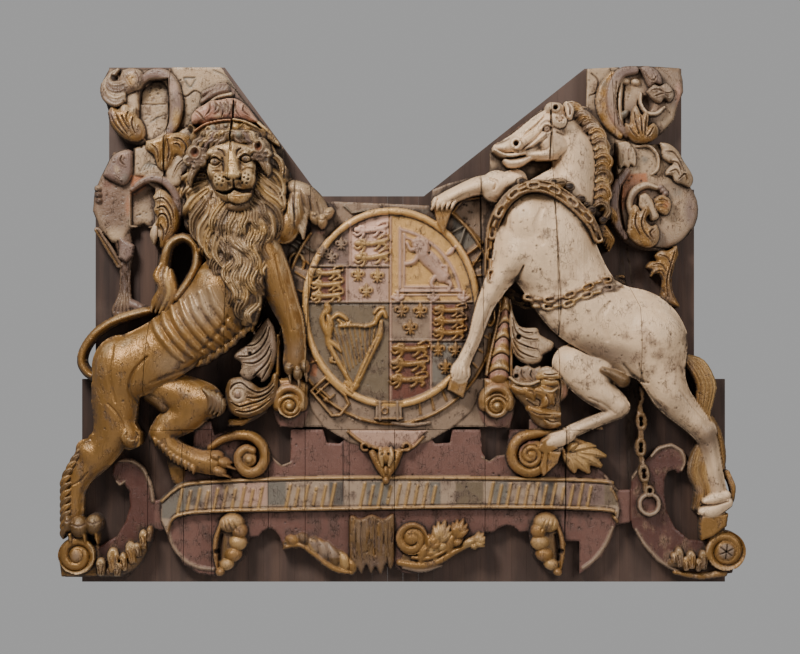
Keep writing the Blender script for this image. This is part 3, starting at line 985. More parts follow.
def crown(r):
    """What is left of the crown: a jewelled circlet, and the worn cap and arch over it."""
    c = Relief()
    c.use("grey_mauve")
    c.slab([(-108, 238), (-109.5, 246), (-107.6, 252), (-102.5, 257.6), (-99.6, 262.6), (-96.4, 268.4),
        (-91.5, 268.8), (-86.4, 265), (-81.4, 258.4), (-74, 250.4), (-66.6, 240.6), (-72, 236), (-90, 233)],
        13.5, 2, 3)
    for k in range(7):                                   # scalloped edge of the fallen arch
        x, z = -102.6 + 2 * k, 262.6 + 1.15 * k - 0.12 * k * k
        c.mass(x, z, 1.7, 2.2, 18.6, 0.7, -30)
    c.limb([(-103.2, 258.4, 1.8, 18), (-97, 262.4, 2.6, 19.4), (-90.4, 264.4, 2, 18.4)], 0.7)
    c.patch(-96, 262, 9, 5, "umber", 0.6, 20)
    c.use("cream")
    c.limb([(-101, 256.6, 1, 18), (-95.4, 260.2, 1.2, 19), (-88.4, 261.9, 1.4, 18.6)], 0.75)
    c.foliage([(-109, 246), (-108.6, 250.6), (-105.6, 254), (-102, 256), (-98.6, 258), (-94, 258.6),
        (-88, 259.6), (-83.6, 258.6), (-79, 255), (-75.6, 250.6), (-73.4, 246.6), (-80, 247), (-87, 247.6),
        (-96, 247), (-103, 245.6)], 26.6, [[(-106.8, 252.6), (-104, 250.6), (-101.6, 247)],
        [(-99, 257), (-98.6, 253), (-101, 249.6)], [(-96.4, 258.4), (-95, 254.4), (-96.6, 251.4)],
        [(-93.4, 257), (-91.6, 253), (-92.4, 249)], [(-90, 258.6), (-88.6, 254.4), (-89.4, 250.6)],
        [(-84.6, 258.4), (-85.2, 253.6), (-83, 249.4)], [(-80.4, 256), (-81, 252.4), (-78, 249.6)]],
        "old_pink", 3.4, 4, 1.5, 0.6)
    c.patch(-91.6, 254, 6, 4.6, "grey_mauve", 1)
    for k in range(6):                                   # crumpled folds between the two puffs
        x = -97 + 1.9 * k
        c.carve([(x, 256.6 - 0.5 * (k % 3), 0.4), (x + 1.4, 253.8, 1), (x + 0.8, 251, 0.4)],
            (0.9, -0.7)[k % 2], 2, ("grey_mauve", "dusty")[k % 2])
    for stain in ((-80, 252, 5, 4, "mauve", 0.4), (-103, 247.6, 6, 2, "umber", 0.6),
            (-94, 249.4, 3.6, 1.8, "cream", 0.9), (-98, 247.8, 2.6, 1.6, "dark_red", 0.8)):
        c.patch(*stain)
    c.use("dull_gold")
    c.limb([(-109.6, 244.6, 1.7, 21), (-107, 242, 2.4, 22), (-105.8, 238.6, 2.2, 23)], 0.65)
    c.dot(-109.8, 243, 1.9, -5, "black")
    c.dot(-104.4, 245.4, 1.5, -2.4, "dark_red")
    c.limb([(-106.6, 238.6, 3.2, 27), (-101, 240.6, 4.6, 32), (-94, 241.8, 5.2, 34.4),
        (-86, 241.8, 5.2, 35), (-78.6, 240.8, 4.9, 32), (-72.4, 239.6, 3.6, 27)], 0.86)
    fringe = Relief()                                    # waved hair under the circlet
    fringe.use("dull_gold")
    fringe.limb([(-104.6, 231.6, 2.4, 35), (-101.6, 236.4, 3.2, 37.6), (-94, 238, 3.2, 39.4),
        (-86.6, 238.4, 3, 40), (-79.4, 238.4, 3.2, 39.2), (-74.6, 236.4, 3, 37.6)], 0.86)
    for side, shape, starts in ((-1, ((0, 240.2), (2.6, 239.4), (3.6, 236.6), (6, 235.4), (7.4, 232.4)),
            (-87.4, -90.2, -93, -95.8, -98.6)), (1, ((0, 240.2), (2.4, 239.2), (3, 236.6), (5.2, 235)),
            (-86.4, -83.6, -80.8, -78.2))):
        for k, x in enumerate(starts):                   # locks of the forelock, combed to both sides
            line = np.array([(x + side * u, z) for u, z in shape])
            s = np.linspace(0, 1, len(line))
            fringe.use(("dusty", "mane_dark", "grey_mauve", "mane_gold", "umber")[k % 5])
            width = 1.75 * np.interp(s, (0, 0.3, 0.7, 1), (0.7, 1, 1, 0.35))
            fringe.lock(np.column_stack([line, width, 40.8 - 0.3 * k - 2.2 * s ** 2]), 2.2, 2, 0.4)
    fringe.web(3, 1.5, 0.4)
    c.lay(fringe)
    c.use("orange")
    c.limb([(-106.6, 241.2, 0.6, 31), (-101, 244.6, 0.7, 34), (-94, 246.4, 0.7, 35.6), (-87, 247, 0.7, 36)],
        0.95)
    c.use("pale_gold")
    c.limb([(-85.6, 247.2, 0.8, 35.8), (-80, 246.2, 0.8, 33.6), (-74, 243.6, 0.8, 30)], 0.95)
    for x, z, size, paint in ((-101.6, 239.4, 1.6, "dull_gold"), (-96.8, 242.6, 2.1, "slate"),
            (-91.6, 240, 1.8, "gold"), (-89.6, 244, 1.2, "slate"), (-84.2, 243.4, 1.9, "pale_gold"),
            (-82.6, 238.6, 1.8, "slate"), (-78.4, 242, 1.9, "gold"), (-86.4, 238.2, 1.1, "dull_gold")):
        c.dot(x, z, size, 1.7, paint)
    for x, z in ((-99.2, 243), (-94, 238.8), (-87.6, 241.4), (-80.6, 244.8)):
        c.carve([(x - 1.4, z - 1.2, 0.5), (x, z + 0.6, 0.5), (x + 1.5, z - 0.8, 0.4)], 1.1,
                paint="pale_gold")
    for path in ([(-73.6, 246.4, 0.9, 24), (-69.6, 243, 1.2, 24), (-65.6, 238.6, 1.2, 22),
            (-62.6, 234.6, 0.6, 19)], [(-77, 248.6, 0.8, 24), (-73.4, 246.6, 1, 23),
            (-69.2, 242.4, 0.7, 21)], [(-72.6, 240, 1.2, 24), (-67.6, 238.6, 1.8, 23),
            (-63.2, 235.6, 1, 20)]):
        c.lock(path, 2.2, 1, 0)
    c.carve([(-86.2, 257.6, 0.45), (-86.6, 246, 0.5), (-87.4, 234, 0.4)], -3.5, paint="black")
    r.lay(c)
    for cut in (([(-104, 262.4, 0.35), (-108, 264.6, 0.5), (-112.6, 261.6, 0.55), (-116, 262.6, 0.35)],
            -0.9, 5, "dark"), ([(-114, 271.4, 0.7), (-108, 271.6, 0.5)], -0.8, 1, "slate"),
            ([(-113.6, 270.6, 0.6), (-110.6, 266.4, 0.6), (-107.8, 270.6, 0.4)], -0.6, 3, "slate"),
            ([(-98, 275.6, 0.4), (-92, 272.6, 0.5), (-87, 266, 0.5)], -0.7, 5, "slate")):
        r.carve(*cut)


# %% The shield
# %% [markdown]
# The arms are low relief on a nearly flat ground.  Small figures are built from the same few
# strokes as the large ones and repeated with their place, size and tilt, so that the three lions
# of a quarter are alike but none is a copied mesh.  Copies laid on top would be easy too, but
# worn low relief has no gap or edge under its figures.


SHIELD = (-2.6, 148)           # the middle of the oval


def small_lion(r, x, z, size=1, turn=8):
    """A walking lion seen from the side, facing left."""
    c, s = np.cos(np.radians(turn)) * size, np.sin(np.radians(turn)) * size
    strokes = [([(-5, 0.9, 1.5), (-1, 0.2, 1.3), (3, 0.2, 1.35), (5.6, 0.2, 1.5)], 2),
        ([(-7.4, 1.6, 1.5), (-6.4, 1.5, 1.7)], 2.5), ([(-5.6, 2.9, 0.8), (-3.9, 2.2, 1.1), (-4, 0.4, 1)],
        2.3), ([(-5.4, -0.2, 0.9), (-7.8, -1.1, 0.75), (-9, 0.1, 0.6)], 1.7),
        ([(-4.2, -0.6, 0.9), (-5.2, -2.3, 0.7), (-6.6, -3, 0.65)], 1.6),
        ([(4.8, -0.6, 1.1), (6.4, -2, 0.75), (5.4, -3, 0.7)], 1.7),
        ([(3.6, -0.6, 1), (2.2, -2.2, 0.75), (0.6, -3, 0.65)], 1.6),
        ([(6.2, 0.8, 0.6), (8.2, 0.9, 0.55), (8, 3, 0.5), (5.2, 2.9, 0.5), (3.4, 2.2, 0.75)], 1.5)]
    for path, rise in strokes:
        placed = [(x + u * c - v * s, z + u * s + v * c, w * size) for u, v, w in path]
        r.lock(placed, rise, 1, 0)


def lily(r, x, z, size=1):
    """A heraldic lily: a pointed middle petal, two curled ones, a band and a foot."""
    for path, rise in (([(0, -3.2, 0.45), (0, -0.4, 0.95), (0, 1.8, 1.15), (0, 3.4, 0.4)], 1.9),
            ([(-0.5, -0.8, 0.6), (-1.7, 1.1, 0.8), (-2.9, 0.7, 0.75), (-2.9, -0.7, 0.5)], 1.5),
            ([(0.5, -0.8, 0.6), (1.7, 1.1, 0.8), (2.9, 0.7, 0.75), (2.9, -0.7, 0.5)], 1.5),
            ([(-1.9, -1.1, 0.5), (1.9, -1.1, 0.5)], 1.9), ([(-0.4, -1.4, 0.5), (-1.6, -3, 0.55)], 1.3),
            ([(0.4, -1.4, 0.5), (1.6, -3, 0.55)], 1.3)):
        r.lock([(x + u * size, z + v * size, w * size) for u, v, w in path], rise, 1, 0)


def harp(r):
    """A harp with a winged figure for its pillar."""
    r.use("harp_gold")
    for path, rise in (([(-37, 149.6, 1.6), (-36.6, 147.4, 2), (-37.4, 145.4, 1.6)], 2.6),
            ([(-38.4, 146, 1), (-39.6, 142, 1.6), (-38.4, 137.6, 1.7), (-36, 133, 1.9)], 2.2),
            ([(-36.4, 143.6, 1.2), (-35.4, 139.6, 2.1), (-36.4, 134, 2)], 2.8),
            ([(-36.6, 134, 1.7), (-35.8, 128, 1.6), (-33, 122.4, 1.5), (-29, 115.6, 1.3), (-25, 108.6, 1.2),
            (-22.6, 105, 1.1)], 2), ([(-35.6, 130, 1.3), (-32, 127.4, 1.4), (-29.6, 124.6, 0.8)], 2),
            ([(-33.6, 121.8, 0.9), (-34.8, 119.6, 1.1), (-32.8, 118.6, 0.7)], 1.7),
            ([(-34.6, 142, 1), (-31.4, 144.4, 1.3), (-28.6, 143.4, 1.3), (-26.4, 141.6, 0.9)], 2),
            ([(-31, 141.4, 0.8), (-28.4, 139.4, 0.9), (-24.6, 140.2, 0.8)], 1.5),
            ([(-30, 138.2, 1), (-22.6, 138.6, 1), (-16, 138.2, 1.1), (-11.6, 139.8, 1.3),
            (-9.6, 143.4, 1.5), (-7, 145.8, 1.5), (-5.4, 143, 1)], 2.2),
            ([(-11.6, 145.2, 0.8), (-9.6, 147.6, 1), (-6.8, 148, 0.8)], 1.6),
            ([(-8, 140.6, 1.1), (-8.6, 134, 1.7), (-12, 126.6, 1.9), (-16.6, 117.6, 1.9), (-20, 110, 1.8),
            (-22.6, 105, 1.3)], 2.6), ([(-26.6, 107.6, 1.5), (-23.6, 104.6, 1.8), (-20.6, 106.4, 1.2)],
            2.4)):
        r.lock(path, rise, 1, 0)
    r.carve([(-9.4, 133, 0.4), (-13.4, 124, 0.5), (-19.4, 111, 0.4)], -0.7, paint="dull_gold")
    for k in range(9):
        s = k / 8
        x0 = -33.4 + 22 * s
        foot = (-26.4 + 13.6 * s, 112.6 + 13 * s)
        r.carve([(x0, 137.6, 0.34), (*foot, 0.34)], 1, 1, "harp_gold")
    for k in range(11):
        r.dot(-29 + 1.85 * k, 139.2, 0.55, 0.8, "pale_gold")


def quarters(r):
    """The fields, their dividing bars and what stands in them."""
    r.field(arc(*SHIELD, 44.2, 0, 351, 40, 1.13), "slate")

    def inside_oval(x0, z0, x1, z1, paint):
        """A box of colour whose points beyond the oval are drawn back onto it."""
        steps = np.linspace(0, 1, 12)
        edge = [(x0 + (x1 - x0) * s, z0) for s in steps] + [(x1, z0 + (z1 - z0) * s) for s in steps[1:]]
        edge += [(x1 + (x0 - x1) * s, z1) for s in steps[1:]]
        edge += [(x0, z1 + (z0 - z1) * s) for s in steps[1:-1]]
        clipped = []
        for x, z in edge:
            dx, dz = x - SHIELD[0], z - SHIELD[1]
            share = min(1, 1 / max(np.hypot(dx / 43.8, dz / 49.6), 1e-6))
            clipped.append((SHIELD[0] + dx * share, SHIELD[1] + dz * share))
        r.field(clipped, paint)

    inside_oval(-47, 170.6, -24.6, 199, "grey_mauve")
    inside_oval(-24.6, 170.6, -3.8, 199, "rose")
    inside_oval(-47, 151, -26.4, 170.6, "red")
    inside_oval(-26.4, 151, -3.8, 170.6, "lilac")
    inside_oval(-3.8, 151, 42, 199, "field_gold")
    inside_oval(-47, 97, -3.8, 151, "green_grey")
    inside_oval(-3.8, 130.6, 18.8, 151, "dusty")
    inside_oval(18.8, 130.6, 42, 151, "red")
    inside_oval(-3.8, 97, 18.8, 130.6, "red")
    inside_oval(18.8, 97, 42, 130.6, "slate")
    for x0, z0, x1, z1 in ((-45.6, 170.6, -4, 170.4), (-46.6, 151.2, 41.4, 151.2),
            (-3.2, 130.6, 38.4, 130.6)):
        r.carve([(x0, z0, 0.8), (x1, z1, 0.8)], 0.9, 1, "dusty")
        r.carve([(x0, z0 - 1.1, 0.35), (x1, z1 - 1.1, 0.35)], -0.5, 1, "dark")
    for x, z0, z1 in ((-2.8, 98.6, 197), (-24.6, 171, 193), (-26.4, 151, 170), (18.8, 104, 151)):
        r.carve([(x, z0, 0.7), (x, z1, 0.7)], 0.9, 1, "lilac")
    r.keep_skin()
    for k, z in enumerate((189.6, 182.4, 175)):
        r.use(("rose", "pale_gold", "pale_gold")[k])
        small_lion(r, -13 + 0.5 * k, z, 1.12 - 0.03 * (2 - k), 10)
    for k, z in enumerate((166.4, 160.2, 154.2)):
        small_lion(r, -36.6, z, 1, 6)
    r.use("gold")
    for k, z in enumerate((146.4, 140.4, 134.4)):
        small_lion(r, 29.4, z, 1.04, 4)
    for k, z in enumerate((125.6, 117.6, 109.2)):
        small_lion(r, 8.4 - 0.6 * k, z, 1.18, 5)
    r.use("dusty")
    for x, z in ((-29.4, 182.6), (-34.6, 175.6), (-39.4, 178.4)):
        lily(r, x, z, 0.95)
    r.use("pale_gold")
    for x, z in ((-20.5, 166), (-10, 165.4), (-16, 157.4)):
        lily(r, x, z, 1.05)
    r.use("gold")
    for x, z in ((3, 147), (13, 146.6), (7.6, 137.6), (22.6, 126), (32, 125.6), (26.6, 116.4)):
        lily(r, x, z, 1.1)
    harp(r)


def lion_quarter(r):
    """The gold quarter: a lilac lion inside a double border line that follows its rim."""
    r.use("lilac")
    inner = [(2.2, 157.4), (2.2, 190.6)] + arc(-5.2, 150, 40.2, 78, 9, 12, 1.015) + [(34.6, 157.4)]
    outer = [(4.4, 159.2), (4.4, 187.6)] + arc(-5.4, 150, 36.8, 73, 14, 12, 1.015) + [(30.6, 159.2)]
    for line, half in ((inner, 1.15), (outer, 0.85)):
        r.carve([(x, z, half) for x, z in line] + [(line[0][0], line[0][1], half)], 1, 1, "lilac")
    for x0, x1, z in ((-1, 38, 154.9), (0, 37, 156.8)):
        r.carve([(x0, z, 0.6), (x1, z, 0.6)], 0.8, 1, "lilac")
    for x in (1, 20, 36.4):
        r.lock([(x - 2.6, 153.6, 0.9), (x, 152.6, 1.3), (x + 2.6, 153.6, 0.9)], 1.3, 1, 0)
        r.lock([(x, 152, 0.7), (x, 156, 0.8)], 1.4, 1, 0)
    r.lock([(31.6, 180.4, 0.9), (29.4, 178, 1.3), (27.6, 176.6, 0.8)], 1.3, 1, 0)
    for path, rise in (([(13.6, 176.8, 3), (17, 173, 3), (21.6, 168.6, 2.9), (25.8, 164.6, 3.2)], 2.6),
            ([(11.6, 182, 3.2), (13, 179.8, 3.4), (14.6, 176.4, 3)], 3),
            ([(9.6, 183.6, 1.4), (12.6, 184.4, 1.7), (15.6, 182.6, 1.4), (16.6, 178.6, 1.2)], 2.9),
            ([(24, 163.6, 2), (21.4, 165, 1.5), (19, 161.6, 1.2), (19.6, 159.4, 1)], 1.9),
            ([(27, 163, 1.8), (29.4, 160.6, 1.2), (28.4, 157.6, 1)], 2),
            ([(27.4, 167.4, 0.7), (27, 170.4, 0.8), (23.4, 170.6, 0.7), (21.6, 173.4, 1),
            (18.6, 176.6, 0.8)], 1.4)):
        r.lock(path, rise, 1, 0)
    for k in range(5):
        a = 2.6 + 0.55 * k
        r.carve([(13 + 3 * np.cos(a), 180.6 + 3.2 * np.sin(a), 0.3),
            (13 + 1.2 * np.cos(a), 180.6 + 1.2 * np.sin(a), 0.35)], -0.6, 1, "lilac")
    for path in ([(12.4, 177, 1.5), (9.6, 172.8, 1.3), (5.8, 171.6, 1.2)],
            [(11, 180, 1.2), (8, 179.2, 1.1), (6, 182.8, 0.9)],
            [(13.6, 185.4, 0.8), (16.4, 184, 1.2), (17.4, 180, 0.9)]):
        r.lock(path, 1.9, 1, 0)
    r.patch(17, 174, 9, 4, "umber", 0.35, -42)


# %% The strap and the plate behind it
# %% [markdown]
# A buckled strap runs round the oval, and a plate with framed fields lies behind both.  Letters
# could be bent round the oval, but the words are left out, and shallow strokes stand in their
# place.  Each stroke is placed by its angle, so they keep even steps round the band.


def strap(r):
    """The buckled strap round the shield, with rows of shallow strokes where words would be."""
    r.use("dusty")
    band = arc(*SHIELD, 57.5, 158, 382, 40, 1.10) + arc(*SHIELD, 44, 382, 158, 40, 1.12)
    for board in ((band, 8.6, 1.4, 1.4), (arc(*SHIELD, 47, 0, 351, 40, 1.125), 8.6, 1.4, 1.4),
            ([(-39, 84), (-25, 75.5), (-9, 71.5), (5, 71.8), (18, 76.5), (31, 84), (40, 92), (50, 110),
            (-52, 110), (-45, 92)], 7.5)):
        r.slab(*board)
    r.field([(-34, 90), (-20, 83), (0, 82), (20, 84), (36, 96), (44, 112), (34, 108), (16, 100), (-2, 96.4),
        (-22, 99), (-34, 106), (-46, 118), (-45, 96)], "dusty")
    r.field([(-46, 122), (-41.6, 120), (-43, 111), (-47, 112)], "orange")
    r.use("gold")
    for start, end in ((196, 344), (14, 62), (140, 168)):
        r.limb([(x, z, 0.9, 10) for x, z in arc(*SHIELD, 56.6, start, end, 22, 1.10)], 0.78, steps=1)
    r.use("field_gold")
    r.limb([(x, z, 1.9, 11.8) for x, z in arc(*SHIELD, 46.3, 0, 360, 49, 1.125)], 0.80, steps=1, full=2.4)
    r.keep_skin()
    for k in range(13):                                  # strokes on the strap, left and right
        for side in (-1, 1):
            a = np.radians(90 + side * (64 + 8.2 * k))
            if side > 0 and 7 < k:
                continue
            x, z = SHIELD[0] + 51.2 * np.cos(a), SHIELD[1] + 57 * np.sin(a)
            lean = 1.6 if k % 2 else 1
            tilt = a + pi / 2
            reach = 3.2 if k % 2 else 2.5
            path = [(x - reach * np.cos(a) + lean * 0.5 * np.cos(tilt),
                z - reach * np.sin(a) + lean * 0.5 * np.sin(tilt), 0.75),
                (x + reach * np.cos(a) - lean * 0.5 * np.cos(tilt),
                z + reach * np.sin(a) - lean * 0.5 * np.sin(tilt), 0.75)]
            r.carve(path, 1.1, 1, "gold")


def buckle(r):
    """The buckle with its two prongs, and the keeper of the strap."""
    r.use("gold")
    for a, b in (((-45.6, 103.4), (-38, 110.6)), ((-38, 110.6), (-27.4, 101)),
            ((-27.4, 101), (-25.4, 96.4)), ((-25.4, 96.4), (-30, 90.6)), ((-30, 90.6), (-34.4, 90.2)),
            ((-34.4, 90.2), (-45.6, 103.4))):
        r.limb([(*a, 0.8, 11.4), (*b, 0.8, 11.4)], 0.85)
    for a, b in (((-42.6, 102), (-36.4, 107.4)), ((-41, 104.6), (-35.4, 99.4)),
            ((-35.4, 99.4), (-33.4, 101.2)), ((-37.6, 99.4), (-36.4, 97.6))):
        r.limb([(*a, 0.6, 11.6), (*b, 0.6, 11.4)], 0.85)
    r.mass(-37.4, 98.8, 1.6, 1.1, 11.4, 0.8, 30)
    r.use("dusty")                                       # keeper of the strap
    r.slab([(-11, 97.6), (3, 97.6), (3.2, 88.4), (-11, 88.2)], 11.6, 0.8, 0.8)
    for x in (-8.6, 0.8):
        r.limb([(x, 97.6, 0.9, 13), (x, 88.2, 0.9, 13)], 0.8)
    r.use("gold")
    for z in (97.4, 88.6):
        r.limb([(-11, z, 0.55, 12.6), (3.2, z, 0.55, 12.6)], 0.85)
    r.ring(-6, 92.8, 1.6, 1.6, 0.4, 12.6)
    for k in range(4):
        r.dot(-25 + 1.9 * k, 88.6 - 0.9 * (k % 2), 0.8, 0.8, "dusty")
    r.use("dusty")
    r.limb([(-2, 86.4, 1, 10.6), (8, 85.2, 1.1, 10.8), (18, 86.2, 0.8, 10.2)], 0.85)


def strapwork(r):
    """The plate behind the shield, with framed fields in its corners."""
    r.use("dusty")
    r.slab([(-59, 172), (-56.5, 185), (-52, 197), (-44.5, 204.5), (-33, 205.2), (-3.8, 204), (18.9, 203),
        (19.5, 211.5), (28, 215), (46, 219.5), (53, 222), (53, 84), (-59, 84)], 6.5)
    r.slab([(-70, 98), (-64, 130), (-57, 143), (-56.3, 160), (-62, 166), (-62, 205), (-52, 190)], 6)
    for area in (([(-46, 203), (-33, 204.6), (-33, 196), (-42, 189), (-48, 186)], "grey_mauve"),
            ([(-32, 203.4), (-4, 202.6), (-4, 199.6), (-20, 197), (-32, 191)], "dusty"),
            ([(-2, 201.6), (18, 201), (15, 196), (0, 199.4)], "slate"),
            ([(-59, 182), (-50, 183), (-49.6, 163), (-53, 140), (-60, 150)], "slate")):
        r.field(*area)
    r.use("slate")
    for a, b, w in (((-50.6, 196), (-57.6, 186.6), 0.7), ((-57.6, 186.6), (-44.6, 178.6), 0.7),
            ((-50.6, 196), (-44.6, 203), 0.6), ((-57, 183), (-49.6, 177.6), 0.6),
            ((-59.6, 161), (-51.6, 163.6), 0.7), ((-55, 160.6), (-54.6, 149), 0.7),
            ((-27.6, 202.6), (-23.6, 199), 0.6), ((-23.6, 199), (-14.6, 200.6), 0.6)):
        r.limb([(*a, w, 8.2), (*b, w, 8.2)], 0.82)
    r.use("gold")
    r.ring(-53.6, 172, 4, 5.2, 0.8, 8.6)
    r.field([(-42.6, 192.6), (-37.4, 194.6), (-38.6, 187.6), (-42.6, 188)], "pink")
    for a, b, w in (((30.6, 199.6), (46.6, 183), 0.8), ((46.6, 183), (35.6, 175), 0.8),
            ((28, 187.6), (35.6, 175), 0.6), ((28, 187.6), (38, 192.6), 0.6),
            ((37.6, 192), (33.6, 179.6), 0.7), ((30.6, 199.6), (36, 206), 0.7),
            ((36, 206), (46.6, 207.6), 0.7), ((40.6, 169.6), (46.6, 178.6), 0.6),
            ((41.6, 165.6), (47.6, 163), 0.6), ((45.6, 170), (47.6, 163), 0.6),
            ((42.6, 121), (48.6, 118.6), 0.6), ((43.6, 114), (49, 121), 0.6),
            ((41.6, 128), (48.6, 127), 0.6), ((47.6, 133), (48.6, 118.6), 0.6)):
        r.limb([(*a, w, 8.6), (*b, w, 8.6)], 0.82)
    for area in (([(31, 197.6), (37.6, 192.4), (44.6, 184.6), (36.4, 178.4), (30, 186.4)], "slate"),
            ([(33, 203.6), (45.8, 206.6), (46, 185.6), (36, 194.6)], "dusty"),
            ([(35.8, 179.6), (39.6, 176.6), (38, 173), (34.8, 175)], "orange")):
        r.field(*area)
    for k in range(7):
        r.dot(36.5 + 1.4 * (k % 4), 203.6 - 2.9 * (k // 2) - 0.4 * k, 0.55, -0.8, "dark")


def side_volutes(r):
    """The rolled ends that stand beside the foot of the strap."""
    for x, hand in ((-57, 1), (54, -1)):
        r.use("mauve")
        r.slab([(x - 11, 97), (x - 8, 88), (x - 5.5, 84), (x + 7, 83.4), (x + 9.6, 92), (x + 9.6, 104),
                (x - 9, 104)], 7.5, 1.2, 1.2)
        r.use("gold")
        r.slab([(x - 6.6, 101), (x - 6.6, 110), (x + 5.8, 111), (x + 9.8, 105.6), (x + 9, 98)], 13, 3, 3)
        r.limb([(a, b, 3, 15.4) for a, b in arc(x, 97.8, 6.9, 200, -20, 12, 1.06)], 0.6)
        r.volute(x, 95.4, 6.5, 15.6, hand, 90, 1.6, 2.6, 0.34)
        r.dot(x, 95.4, 1.8, 1.6, "pale_gold")
        r.patch(x, 106.5, 7, 3, "old_pink", 0.45)


# %% The right mantling
# %% [markdown]
# It mirrors the left one in plan only: its cloths are rounder and better kept, and a leaf falls
# from the lower one onto the rump.  A mirrored copy would be quicker, but no two sides cut by
# hand are alike, so it is drawn anew with the same strokes.


def right_upper_cloth(r):
    """The round upper cloth, with leaves over its edge."""
    r.use("cream")
    r.slab([(102.4, 256), (102.8, 276.5), (120, 277.4), (120, 232), (110, 226), (103, 240)], 8.5)
    r.carve([(104, 262, 0.4), (107.6, 264, 0.5), (108.6, 270, 0.5), (105, 274, 0.4)], -0.8, 4, "dark")
    r.specks(103.6, 250, 110, 274, 12, 31)
    r.use("dusty")
    upper = arc(131.8, 257.4, 22.2, 100, 262, 12, 0.95) + [(134, 237), (143, 241.5), (149.4, 249),
        (152, 258), (154.4, 264), (154.2, 270), (152.6, 276.8), (141, 277.6)]
    r.slab(upper, 10, 3.5, 3)
    for stain in ((146, 250, 7, 10, "cream", 0.9), (127, 264, 8, 8, "cream", 0.8),
            (128, 269, 4, 4, "gold", 0.6)):
        r.patch(*stain)
    r.use("gold")
    r.limb([(116, 273, 2, 12.6), (111.2, 265.6, 2.8, 13.6), (110.4, 256, 3, 13.8), (113.6, 247, 2.6, 13.4),
        (120, 240.4, 1.8, 13)], 0.84, full=4)
    r.patch(111.6, 268, 3, 4, "green_grey", 0.8)
    r.use("grey_mauve")
    r.limb([(128, 275.4, 2.2, 14.6), (120.6, 273.6, 2.9, 15), (116.2, 266.4, 3, 15.4),
        (115.4, 256.6, 2.8, 15), (118.2, 247.6, 2.3, 14.4), (123.6, 241, 1.6, 13.6)], 0.84, full=4)
    r.patch(115.6, 250.6, 2.4, 6, "pink", 0.6)
    r.use("cream")
    r.limb([(121, 270.6, 1.1, 12.8), (119.8, 260, 1.3, 13.2), (120.4, 250, 1.1, 12.8),
        (122, 243.6, 0.8, 12.4)], 0.7)
    r.carve([(122.8, 269, 0.5), (121.8, 257, 0.6), (123, 246, 0.5)], -2, paint="dark")
    r.carve([(118, 269, 0.4), (117.4, 257, 0.4), (119.6, 246, 0.4)], -1.4, paint="dark")
    r.use("slate")
    r.petal(121.4, 250, 124.4, 253.6, 1.4, 13, 0.4, 1.8, 1)
    r.patch(151.6, 262.6, 2.4, 8, "pink", 1)
    for x, z in ((123, 269.6), (128.6, 269)):
        r.use("cream")
        r.mass(x, z, 2.8, 2, 12.8, 0.75, -15)
    r.patch(124.4, 265.2, 3, 2.6, "dull_gold", 0.8)
    r.foliage([(130.4, 276.6), (134.6, 277.6), (139.6, 275.4), (142.2, 271), (142, 267.6), (138.4, 268),
        (135.6, 266.4), (133.4, 270.6)], 16.6, [[(132.4, 274.6), (135.4, 270.4), (138, 269.6),
        (138.8, 272)], [(136.6, 275.6), (139.6, 272.6)]], "grey_mauve", 2.8, 2.6, 1.5, 0.45)
    r.dot(134, 257.4, 4.6, -3.4, "umber")
    r.use("cream")
    r.limb([(131.2, 263, 0.8, 13), (131.4, 257, 1, 14.4), (134.6, 252.4, 1.2, 15.2),
        (139.8, 252.2, 1.1, 15), (143.8, 255.6, 0.7, 14)], 0.8)
    r.foliage([(134.4, 263.6), (137.6, 267.4), (141, 266.6), (144.6, 268.2), (147.6, 265.6), (148.8, 261.6),
        (146.6, 258.4), (143.8, 260.4), (141.4, 257.8), (137.4, 259.6)], 16.8,
        [[(136, 264), (140, 264.6), (144.4, 262.6), (147.4, 263.4)],
        [(138, 260.8), (142.6, 262.4), (146, 260.2)], [(140.6, 266), (143, 264.6)]], "dusty", 2.2, 2.2, 1.6,
        0.5)
    r.patch(138.4, 262, 2.2, 1.6, "dull_gold", 0.8)
    r.foliage([(122.6, 241.6), (122.8, 247), (125.2, 246.6), (126, 252.4), (128.6, 256.6), (130.8, 252.6),
        (132, 251.2), (134, 254), (135.4, 250.6), (135, 245.6), (138, 247), (140.6, 243.4), (139.4, 238.8),
        (134, 236.6), (127.6, 236.8)], 17, [[(124.6, 245), (126.6, 241.6), (129.4, 238.6)],
        [(127.4, 252.6), (128.4, 246), (130.4, 239.6)], [(130.8, 251), (131.2, 245.6), (131.6, 240)],
        [(134, 251.6), (133.4, 245.6), (132.8, 240)], [(137.6, 244.6), (136, 241.6), (134.2, 239.4)]],
        "gold", 3.4, 3.6, 1.8, 0.5)
    for stain in ((123.8, 243, 2.2, 3.6, "umber", 0.7), (128.6, 253.6, 1.8, 3.2, "cream", 0.8),
            (138.4, 241.6, 2.8, 3, "dull_gold", 0.8)):
        r.patch(*stain)


